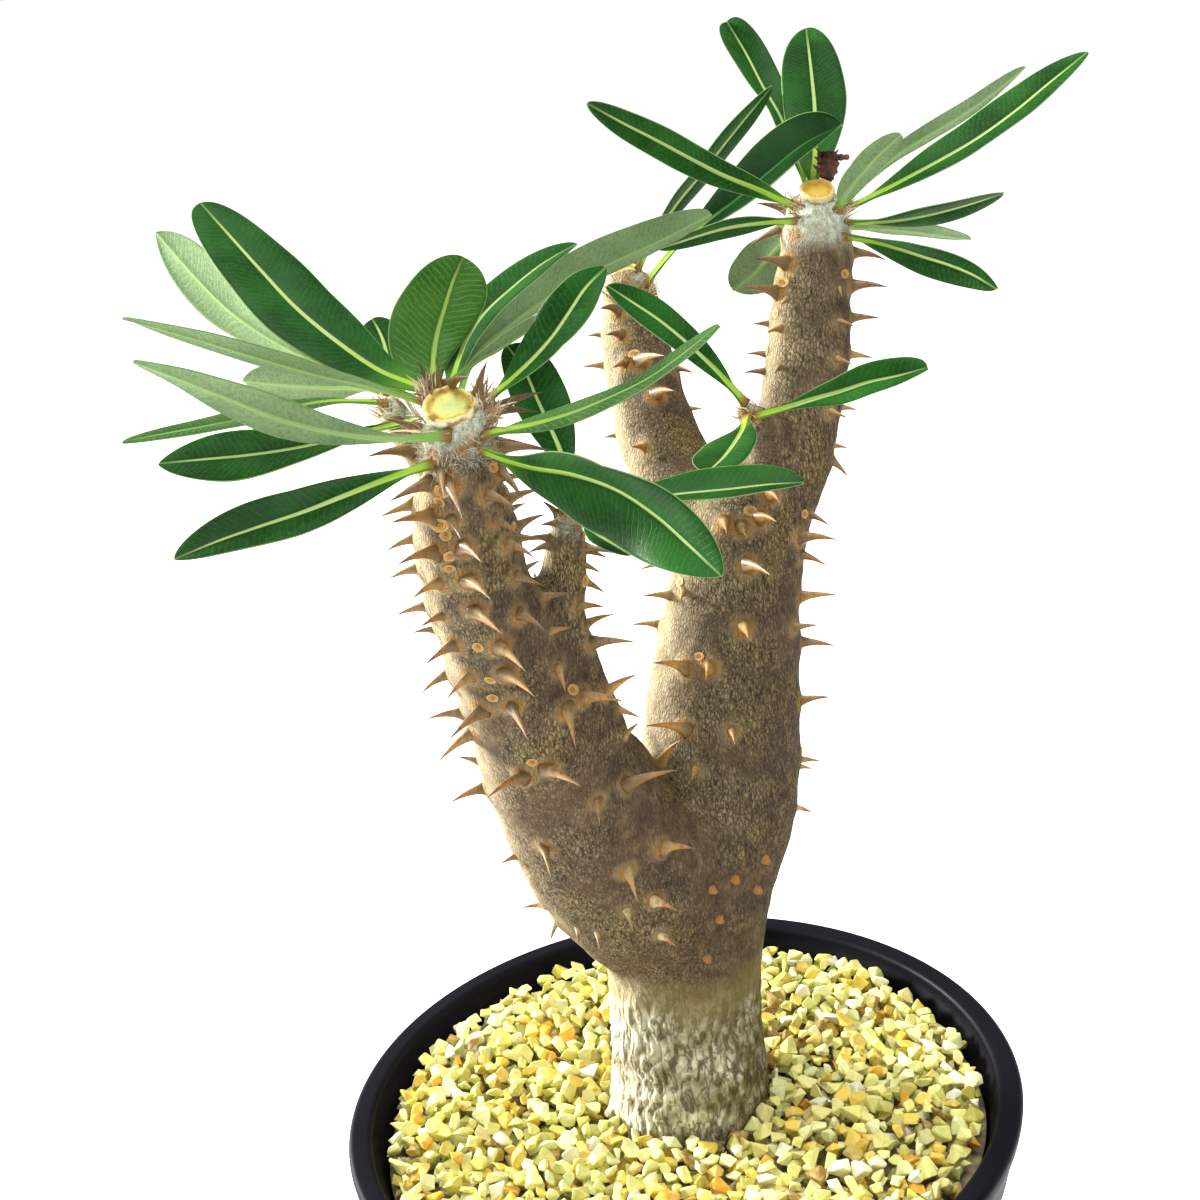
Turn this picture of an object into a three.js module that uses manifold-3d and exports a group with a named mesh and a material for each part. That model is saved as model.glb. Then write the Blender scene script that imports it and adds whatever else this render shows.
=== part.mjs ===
// Potted pachypodium: spiny branched succulent stem with leaf rosettes in a round plain pot,
// surface dressed with crushed gravel. Units mm, +Z up, origin at the centre of the flat underside
// of the pot, +X to the right of the plant's front view, front view looks along +Y.
import * as THREE from 'three';
import Module from 'manifold-3d';

const wasm = await Module();
wasm.setup();
const { Manifold, Mesh } = wasm;

// ---------------------------------------------------------------- driving dimensions
const POT_HEIGHT = 128.0;
const RIM_RADIUS = 82.5;          // outermost radius of the lip
const LIP_WIDTH = 6.0;            // lip seen from above
const LIP_ROUND = 1.6;            // rounding of both lip edges
const RIM_BAND = 15.0;            // height of the thicker band under the lip
const POT_FLOOR = 3.0;            // floor thickness
const POT_WALL = 2.2;             // wall thickness below the band
const INNER_TOP_RADIUS = 75.6;    // inner wall at the lip
const INNER_BOTTOM_RADIUS = 53.5; // inner wall at the floor
const DRAIN_COUNT = 6;
const DRAIN_RADIUS = 5.0;
const DRAIN_RING_RADIUS = 34.0;
const POT_SEGMENTS = 64;

const GAP = 0.35;                 // clearance kept between pieces
const MIX_TOP = 108.0;            // potting mix surface below the gravel
const GRAVEL_TOP = 125.6;         // mean gravel surface
const GRAVEL_BUMP = 0.9;          // grain relief of the gravel surface
const GRAVEL_RINGS = 11;

const STEM_SIDES = { trunk: 14, right: 13, left: 13, mid: 10, side: 10, back: 9, shoot: 8 };
const SPINE_SIDES = 4;
const LEAF_THICK = 0.85;          // blade at the midrib
const LEAF_EDGE = 0.42;           // blade at the margin
const PETIOLE_HALF = 0.75;        // half width of the leaf stalk
const LEAF_STATIONS = [0.0, 0.1, 0.26, 0.44, 0.62, 0.79, 0.92, 1.0];


// ---------------------------------------------------------------- stem centrelines: x, y, z, radius
const BRANCHES = {
  trunk: [
    [1.0, 4.0, 64.0, 3.5], [1.0, 4.0, 73.6, 7.5], [1.0, 3.9, 83.3, 11.5], [1.0, 3.7, 93.2, 15.1], [1.0, 3.4, 103.0, 17.8], [0.9, 3.2, 112.8, 19.5], [1.7, 2.1, 122.4, 19.8], [2.6, 1.6, 132.0, 19.2], [3.0, 2.3, 141.6, 18.6], [3.6, 3.2, 151.3, 18.4], [4.2, 3.9, 161.0, 18.8], [5.2, 4.1, 170.7, 19.4], [6.5, 4.0, 180.3, 20.1], [9.3, 4.2, 189.6, 19.9]],
  right: [
    [5.0, 4.1, 169.7, 19.0], [7.4, 3.0, 179.0, 18.9], [10.3, 3.1, 188.3, 18.5], [13.7, 4.5, 197.2, 19.0], [16.6, 5.7, 206.2, 18.8], [18.2, 7.4, 215.6, 18.6], [19.8, 9.1, 225.0, 18.2], [21.7, 10.8, 234.3, 17.2], [23.8, 12.8, 243.8, 15.9], [25.9, 14.7, 253.1, 15.1], [28.6, 16.4, 262.0, 14.6], [33.3, 17.9, 270.2, 12.8], [39.0, 19.2, 277.9, 10.6], [43.1, 20.9, 286.4, 9.5], [45.8, 22.9, 295.5, 9.2], [48.0, 25.1, 304.8, 9.1], [49.5, 27.2, 314.1, 8.7], [51.4, 28.8, 323.6, 7.9], [52.9, 29.5, 332.9, 6.5]],
  left: [
    [5.0, 4.1, 169.7, 18.8], [1.0, 2.3, 178.4, 20.7], [-2.6, -0.1, 186.8, 22.1], [-6.3, -3.6, 195.0, 22.2], [-10.7, -7.8, 202.8, 20.4], [-14.1, -11.8, 211.0, 19.0], [-16.3, -15.3, 219.6, 18.1], [-19.0, -19.0, 228.2, 16.4], [-20.5, -22.7, 237.1, 15.5], [-21.7, -26.5, 245.8, 14.7], [-23.9, -30.4, 254.2, 13.6], [-26.1, -34.6, 262.6, 12.5], [-27.7, -38.5, 271.4, 11.4], [-29.4, -41.6, 280.4, 10.5], [-30.1, -44.3, 289.7, 10.2], [-30.1, -47.4, 299.1, 9.1], [-28.6, -50.7, 307.7, 6.9], [-28.6, -51.2, 317.4, 6.5]],
  mid: [
    [26.4, 18.0, 257.4, 13.9], [22.2, 23.9, 265.1, 12.2], [17.4, 30.7, 271.6, 10.4], [13.5, 36.8, 279.1, 9.6], [11.6, 42.8, 287.6, 9.1], [10.6, 48.3, 296.5, 8.9], [10.0, 53.7, 305.8, 7.8], [10.0, 58.1, 315.1, 6.2]],
  side: [
    [-14.5, -23.8, 237.2, 11.6], [-15.0, -26.8, 247.6, 9.1], [-14.7, -29.3, 258.2, 7.0], [-13.9, -31.8, 268.8, 5.0], [-12.2, -33.1, 279.3, 4.9], [-9.7, -32.8, 289.7, 2.8]],
  back: [
    [-27.2, -36.5, 271.5, 8.9], [-29.1, -27.2, 276.9, 6.3], [-31.0, -18.4, 282.7, 5.0], [-34.5, -11.6, 290.7, 4.6], [-39.5, -6.4, 299.0, 4.5], [-45.0, -1.7, 306.9, 4.0]],
  shoot: [
    [37.6, 15.9, 285.6, 6.8], [35.8, 12.2, 288.4, 5.3], [34.0, 8.7, 291.1, 4.0], [32.2, 5.1, 293.9, 3.3], [30.6, 2.0, 296.9, 2.5]],
};

// leaves: name, path from stalk to tip, upper face direction at three stations, width,
// widest station, base fall, tip fall, fold angle in degrees, tip bluntness, lopsidedness at the stalk and tip
const LEAVES = [
  ['leaf_a1', [[-33.3, -47.1, 321.5], [-42.4, -43.0, 325.8], [-50.2, -38.1, 331.5], [-57.3, -32.2, 337.3], [-63.4, -25.9, 343.7], [-69.3, -19.4, 350.0], [-75.2, -12.9, 356.5]], [[0.20, -0.42, 0.89], [0.33, -0.46, 0.82], [0.26, -0.55, 0.79]], 17.0, 0.48, 0.89, 0.44, 4, 1.98, 0.00, 0.00],
  ['leaf_a2', [[-32.3, -44.8, 318.4], [-42.8, -37.5, 321.6], [-53.3, -30.3, 324.9], [-63.4, -23.2, 329.5], [-72.6, -15.7, 335.2], [-80.3, -7.7, 342.3], [-87.5, 0.6, 349.6]], [[0.58, 0.57, 0.58], [0.68, 0.59, 0.44], [0.61, 0.75, -0.25]], 14.9, 0.72, 1.55, 0.73, 3, 1.95, 0.00, 0.00],
  ['leaf_a3', [[-34.9, -52.0, 321.3], [-43.3, -50.5, 324.9], [-52.0, -49.4, 327.8], [-60.5, -50.0, 331.5], [-68.8, -50.8, 335.5], [-77.1, -51.8, 339.5], [-85.5, -53.2, 343.2]], [[0.43, 0.60, 0.68], [0.32, 0.52, 0.79], [0.28, 0.50, 0.82]], 11.0, 0.53, 1.11, 0.53, 3, 2.17, 0.00, 0.00],
  ['leaf_a4', [[-30.9, -58.3, 315.8], [-39.9, -61.7, 317.4], [-48.9, -64.4, 320.3], [-57.2, -67.3, 324.5], [-65.1, -69.7, 329.8], [-72.2, -73.6, 335.2], [-79.4, -77.8, 340.4]], [[-0.34, 0.93, 0.15], [-0.09, 0.94, 0.34], [0.28, 0.52, 0.81]], 9.0, 0.67, 1.65, 0.60, 3, 1.87, 0.00, 0.00],
  ['leaf_a5', [[-34.4, -56.0, 309.9], [-42.1, -59.1, 309.1], [-49.6, -62.4, 307.9], [-57.1, -65.9, 306.7], [-64.6, -69.4, 306.0], [-72.2, -72.8, 305.2], [-79.5, -76.5, 304.1]], [[0.29, -0.84, 0.45], [0.13, -0.51, 0.85], [0.00, -0.32, 0.95]], 11.5, 0.66, 1.25, 0.61, 12, 2.34, 0.00, 0.00],
  ['leaf_a6', [[-34.5, -46.3, 316.0], [-43.3, -45.5, 315.3], [-52.0, -45.0, 313.9], [-60.7, -44.3, 312.8], [-69.5, -43.4, 312.4], [-78.3, -42.4, 312.3], [-87.0, -41.4, 312.3]], [[-0.10, -0.31, 0.95], [-0.10, -0.35, 0.93], [-0.07, -0.56, 0.83]], 14.0, 0.68, 2.08, 0.71, 5, 1.70, 0.00, 0.00],
  ['leaf_a7', [[-30.8, -44.3, 319.1], [-32.1, -39.9, 322.0], [-32.1, -35.6, 325.3], [-31.0, -31.9, 329.1], [-29.1, -29.2, 333.3], [-27.0, -26.8, 337.7], [-24.4, -24.6, 341.9]], [[-0.06, -0.56, 0.83], [0.25, -0.87, 0.43], [0.23, -0.92, 0.33]], 15.8, 0.62, 1.00, 0.50, 8, 2.40, 0.75, -0.20],
  ['leaf_a8', [[-29.4, -44.2, 319.8], [-27.9, -36.2, 323.0], [-25.6, -28.4, 326.3], [-21.8, -21.2, 329.4], [-16.0, -15.6, 332.7], [-9.3, -11.1, 336.1], [-1.9, -7.4, 338.7]], [[-0.24, -0.32, 0.92], [-0.29, -0.24, 0.92], [-0.17, -0.25, 0.95]], 11.9, 0.70, 0.85, 0.60, 14, 2.07, 0.00, 0.00],
  ['leaf_a9', [[-27.8, -43.8, 318.6], [-24.8, -30.4, 323.2], [-18.2, -17.6, 325.7], [-9.6, -6.3, 328.4], [3.2, -0.6, 332.4], [15.7, 6.4, 335.1], [27.6, 14.3, 337.9]], [[-0.95, 0.26, -0.18], [-0.43, 0.66, 0.61], [-0.56, 0.67, 0.49]], 13.7, 0.58, 1.43, 0.58, 17, 2.42, 0.00, 0.00],
  ['leaf_a10', [[-21.6, -51.2, 320.0], [-17.1, -50.6, 323.0], [-12.7, -50.0, 326.1], [-8.7, -49.2, 329.6], [-5.1, -48.3, 333.6], [-1.6, -46.8, 337.5], [2.5, -45.6, 340.7]], [[-0.40, -0.57, 0.72], [-0.57, -0.51, 0.65], [-0.05, -0.91, 0.42]], 11.3, 0.55, 1.15, 0.71, 15, 1.70, 0.00, 0.00],
  ['leaf_a11', [[-22.4, -55.8, 314.5], [-14.7, -57.2, 315.6], [-7.1, -58.4, 317.1], [0.5, -58.9, 319.4], [7.9, -59.0, 322.2], [14.8, -59.1, 326.1], [21.3, -59.1, 330.5]], [[-0.21, -0.46, 0.86], [-0.30, -0.13, 0.95], [-0.56, -0.12, 0.82]], 8.7, 0.56, 0.98, 0.57, 3, 2.14, 0.00, 0.00],
  ['leaf_a12', [[-23.6, -57.0, 311.8], [-16.0, -62.2, 309.5], [-7.8, -67.0, 308.4], [-0.3, -72.4, 306.2], [5.9, -78.5, 302.4], [10.7, -86.0, 298.9], [15.1, -93.7, 295.5]], [[-0.63, -0.69, -0.34], [-0.70, -0.66, -0.27], [-0.42, -0.56, 0.71]], 19.1, 0.47, 1.42, 0.58, 26, 1.84, 0.00, 0.00],
  ['leaf_a13', [[-27.7, -46.7, 323.3], [-24.1, -45.3, 325.7], [-19.8, -44.3, 327.4], [-15.9, -42.5, 328.9], [-11.9, -40.7, 330.4], [-7.8, -38.8, 331.6], [-3.9, -36.8, 332.9]], [[-0.66, 0.45, 0.60], [-0.50, 0.48, 0.72], [-0.47, 0.48, 0.74]], 6.5, 0.56, 1.30, 0.50, 10, 2.20, 0.00, 0.00],
  ['leaf_b1', [[-47.0, -0.1, 311.2], [-51.9, 3.1, 311.8], [-57.2, 5.8, 311.8], [-62.5, 8.6, 312.0], [-67.8, 11.3, 312.3], [-73.0, 14.0, 312.6], [-78.3, 16.7, 313.1]], [[0.56, 0.79, 0.26], [0.45, 0.85, 0.29], [0.46, 0.88, 0.06]], 10.5, 0.58, 1.50, 0.59, 17, 2.18, 0.00, 0.00],
  ['leaf_b2', [[-47.0, -5.0, 310.1], [-55.5, -7.3, 312.1], [-64.1, -10.2, 312.5], [-72.5, -13.5, 312.2], [-80.9, -16.8, 312.3], [-89.0, -20.8, 312.7], [-97.0, -25.0, 313.2]], [[0.31, -0.27, 0.91], [0.07, -0.19, 0.98], [0.17, -0.20, 0.97]], 7.5, 0.54, 1.38, 0.55, 6, 2.10, 0.00, 0.00],
  ['leaf_b3', [[-44.8, 2.3, 309.9], [-45.0, 6.6, 311.6], [-45.4, 10.9, 313.3], [-45.9, 15.1, 315.2], [-46.6, 19.3, 317.2], [-47.7, 23.3, 319.2], [-49.1, 27.2, 321.2]], [[0.36, -0.32, 0.88], [0.24, -0.38, 0.89], [0.00, -0.46, 0.89]], 10.5, 0.56, 1.30, 0.50, 10, 2.20, 0.00, 0.00],
  ['leaf_c1', [[-9.5, -28.9, 290.6], [-9.7, -24.3, 294.8], [-10.3, -20.0, 299.3], [-12.1, -16.2, 304.0], [-13.9, -13.0, 309.0], [-15.8, -10.6, 314.5], [-18.7, -8.6, 319.7]], [[0.05, -0.68, 0.73], [0.28, -0.71, 0.65], [0.37, -0.78, 0.50]], 13.0, 0.68, 1.81, 0.47, 18, 2.28, 0.00, 0.00],
  ['leaf_c2', [[-7.9, -36.2, 289.8], [-6.3, -39.3, 288.7], [-4.8, -42.6, 288.2], [-3.3, -45.9, 288.0], [-1.9, -49.2, 287.9], [-0.5, -52.6, 287.9], [0.9, -56.0, 287.8]], [[-0.07, -0.39, 0.92], [-0.23, -0.14, 0.96], [-0.35, -0.17, 0.92]], 4.7, 0.42, 1.29, 0.61, 4, 1.92, 0.00, 0.00],
  ['leaf_c3', [[-7.1, -30.1, 290.3], [0.4, -30.2, 290.4], [7.9, -30.4, 290.3], [15.3, -31.0, 290.4], [22.7, -31.5, 290.4], [30.1, -32.4, 290.7], [37.5, -33.5, 290.7]], [[-0.02, -0.11, 0.99], [-0.02, -0.19, 0.98], [-0.02, -0.28, 0.96]], 13.7, 0.64, 1.55, 0.63, 19, 2.00, 0.00, 0.00],
  ['leaf_d1', [[14.8, 53.0, 317.2], [21.4, 50.6, 324.7], [29.2, 47.2, 330.5], [36.8, 42.7, 335.9], [44.0, 38.1, 341.8], [51.2, 33.4, 347.4], [59.0, 28.0, 351.5]], [[-0.69, -0.62, 0.37], [-0.70, -0.39, 0.59], [-0.60, -0.39, 0.70]], 16.9, 0.72, 2.27, 0.69, 22, 2.41, 0.00, 0.00],
  ['leaf_d2', [[13.1, 55.6, 321.1], [18.0, 57.3, 327.9], [23.6, 58.2, 334.2], [29.8, 58.1, 340.1], [35.7, 57.9, 346.3], [41.7, 57.6, 352.4], [47.9, 57.3, 358.3]], [[0.64, -0.71, -0.28], [0.51, -0.68, -0.53], [0.38, -0.81, -0.45]], 8.0, 0.44, 1.32, 0.53, 6, 2.16, 0.00, 0.00],
  ['leaf_e1', [[46.6, 26.9, 335.8], [39.3, 26.2, 340.1], [31.9, 25.5, 344.2], [24.8, 24.6, 348.9], [17.9, 23.7, 353.7], [10.8, 22.7, 358.3], [3.9, 21.7, 363.2]], [[-0.08, -0.96, -0.26], [-0.20, -0.87, -0.45], [-0.19, -0.88, -0.43]], 8.2, 0.55, 0.79, 0.51, 5, 2.21, 0.00, 0.00],
  ['leaf_e2', [[51.7, 36.2, 335.8], [51.4, 46.1, 340.3], [50.8, 55.9, 345.1], [49.9, 65.4, 350.3], [47.4, 73.7, 356.8], [45.0, 81.6, 363.9], [41.8, 88.9, 371.2]], [[0.40, -0.36, 0.84], [0.35, -0.47, 0.81], [-0.11, -0.73, 0.67]], 10.4, 0.72, 1.29, 0.36, 26, 2.91, 0.00, 0.00],
  ['leaf_e3', [[52.7, 34.7, 338.2], [54.6, 41.7, 343.3], [56.0, 48.7, 348.3], [57.2, 55.8, 353.3], [58.0, 63.0, 358.4], [58.8, 70.1, 363.5], [59.4, 77.2, 368.6]], [[-0.24, -0.52, 0.82], [0.02, -0.57, 0.82], [-0.21, -0.56, 0.80]], 15.1, 0.52, 0.75, 0.55, 11, 2.33, 0.00, 0.00],
  ['leaf_e4', [[56.6, 23.3, 334.6], [57.8, 21.2, 337.7], [59.6, 19.0, 340.5], [61.4, 16.8, 343.1], [63.4, 14.6, 345.6], [66.0, 13.0, 348.1], [68.8, 11.5, 350.4]], [[0.19, 0.85, 0.50], [-0.09, 0.72, 0.69], [-0.03, 0.84, 0.54]], 7.7, 0.56, 0.75, 0.54, 4, 2.29, 0.00, 0.00],
  ['leaf_e5', [[59.5, 32.9, 333.6], [66.4, 37.8, 338.1], [73.9, 42.4, 341.9], [82.1, 46.3, 345.0], [90.4, 50.0, 348.0], [98.6, 53.2, 351.8], [106.7, 56.4, 355.9]], [[-0.69, 0.67, 0.28], [-0.50, 0.74, 0.44], [-0.52, 0.74, 0.43]], 6.2, 0.52, 1.40, 0.56, 9, 2.15, 0.00, 0.00],
  ['leaf_e6', [[60.2, 28.0, 333.4], [69.4, 27.2, 337.0], [78.6, 26.4, 340.9], [87.7, 26.3, 345.0], [96.4, 26.4, 349.8], [104.7, 26.4, 355.4], [113.0, 26.2, 361.0]], [[-0.36, -0.54, 0.76], [-0.42, -0.41, 0.81], [-0.49, -0.50, 0.71]], 12.1, 0.51, 1.48, 0.62, 17, 1.90, 0.00, 0.00],
  ['leaf_e7', [[59.6, 25.5, 330.5], [64.9, 23.8, 330.3], [70.3, 22.3, 330.4], [75.5, 20.4, 331.2], [80.7, 18.7, 332.2], [85.9, 17.0, 333.5], [91.1, 15.3, 334.8]], [[-0.26, -0.62, -0.74], [-0.10, -0.65, -0.76], [-0.02, -0.67, -0.74]], 7.7, 0.55, 1.50, 0.53, 8, 2.13, 0.00, 0.00],
  ['leaf_e8', [[57.9, 35.4, 327.9], [64.0, 39.3, 326.6], [70.0, 43.3, 325.0], [75.8, 47.4, 323.2], [81.5, 51.6, 321.2], [87.3, 55.7, 319.0], [93.0, 59.8, 316.9]], [[-0.16, 0.53, 0.83], [-0.04, 0.46, 0.89], [-0.05, 0.53, 0.85]], 6.8, 0.54, 1.33, 0.54, 4, 2.20, 0.00, 0.00],
  ['leaf_e9', [[58.6, 23.7, 327.9], [63.5, 20.0, 326.8], [68.2, 16.2, 325.3], [72.8, 12.4, 323.7], [77.4, 8.5, 322.1], [81.6, 4.4, 320.1], [85.4, 0.2, 317.5]], [[-0.56, -0.61, -0.56], [-0.67, -0.66, -0.35], [-0.74, -0.67, 0.06]], 8.9, 0.51, 1.22, 0.64, 21, 1.96, 0.00, 0.00],
  ['leaf_e10', [[46.3, 25.2, 332.6], [41.2, 23.0, 333.2], [36.1, 20.9, 333.7], [30.9, 19.0, 333.8], [25.7, 17.1, 333.4], [20.6, 15.1, 332.7], [15.5, 13.1, 332.0]], [[0.28, -0.79, -0.54], [0.31, -0.81, -0.49], [0.37, -0.73, -0.57]], 5.6, 0.49, 1.20, 0.59, 12, 1.98, 0.00, 0.00],
  ['leaf_e11', [[48.5, 36.7, 327.9], [46.4, 39.6, 325.7], [44.3, 42.4, 323.3], [42.2, 44.8, 320.6], [39.9, 46.9, 317.9], [37.1, 49.0, 315.5], [34.2, 50.9, 313.2]], [[0.68, 0.69, 0.27], [0.50, 0.82, 0.28], [0.31, 0.88, 0.36]], 11.9, 0.58, 1.46, 0.50, 4, 2.20, 0.00, 0.00],
  ['leaf_f1', [[32.9, -0.5, 296.4], [38.5, -2.9, 298.0], [44.1, -5.2, 299.8], [49.8, -7.3, 301.4], [55.6, -9.4, 303.1], [61.5, -11.2, 304.2], [67.4, -12.8, 305.7]], [[-0.45, -0.82, 0.36], [-0.41, -0.84, 0.36], [-0.32, -0.32, 0.89]], 8.3, 0.72, 1.77, 0.41, 26, 2.60, 0.00, 0.00],
  ['leaf_f2', [[29.5, 1.0, 300.0], [25.8, 0.3, 305.4], [21.8, -0.6, 310.5], [17.5, -1.3, 315.5], [13.0, -2.1, 320.2], [8.1, -3.1, 324.5], [3.3, -4.1, 328.8]], [[0.51, -0.83, 0.21], [0.60, -0.65, 0.47], [0.60, -0.60, 0.52]], 9.6, 0.67, 1.23, 0.63, 10, 1.92, 0.00, 0.00],
  ['leaf_f3', [[30.2, -1.3, 296.0], [28.7, -5.2, 294.8], [26.9, -9.1, 293.8], [25.0, -12.9, 293.1], [23.1, -16.8, 292.6], [20.9, -20.6, 292.3], [18.8, -24.4, 292.1]], [[-0.39, -0.16, 0.91], [-0.13, -0.10, 0.99], [0.12, -0.12, 0.99]], 12.1, 0.50, 1.14, 0.36, 12, 2.40, 0.00, 0.00],
  ['leaf_d3', [[9.8, 65.0, 317.0], [10.6, 69.3, 317.3], [11.4, 73.6, 317.8], [12.0, 78.0, 318.4], [12.6, 82.3, 319.0], [13.4, 86.6, 319.5], [14.1, 90.9, 319.9]], [[0.03, -0.09, 1.00], [0.04, -0.14, 0.99], [0.16, -0.13, 0.98]], 6.0, 0.56, 1.30, 0.50, 10, 2.20, 0.00, 0.00],
];

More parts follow.
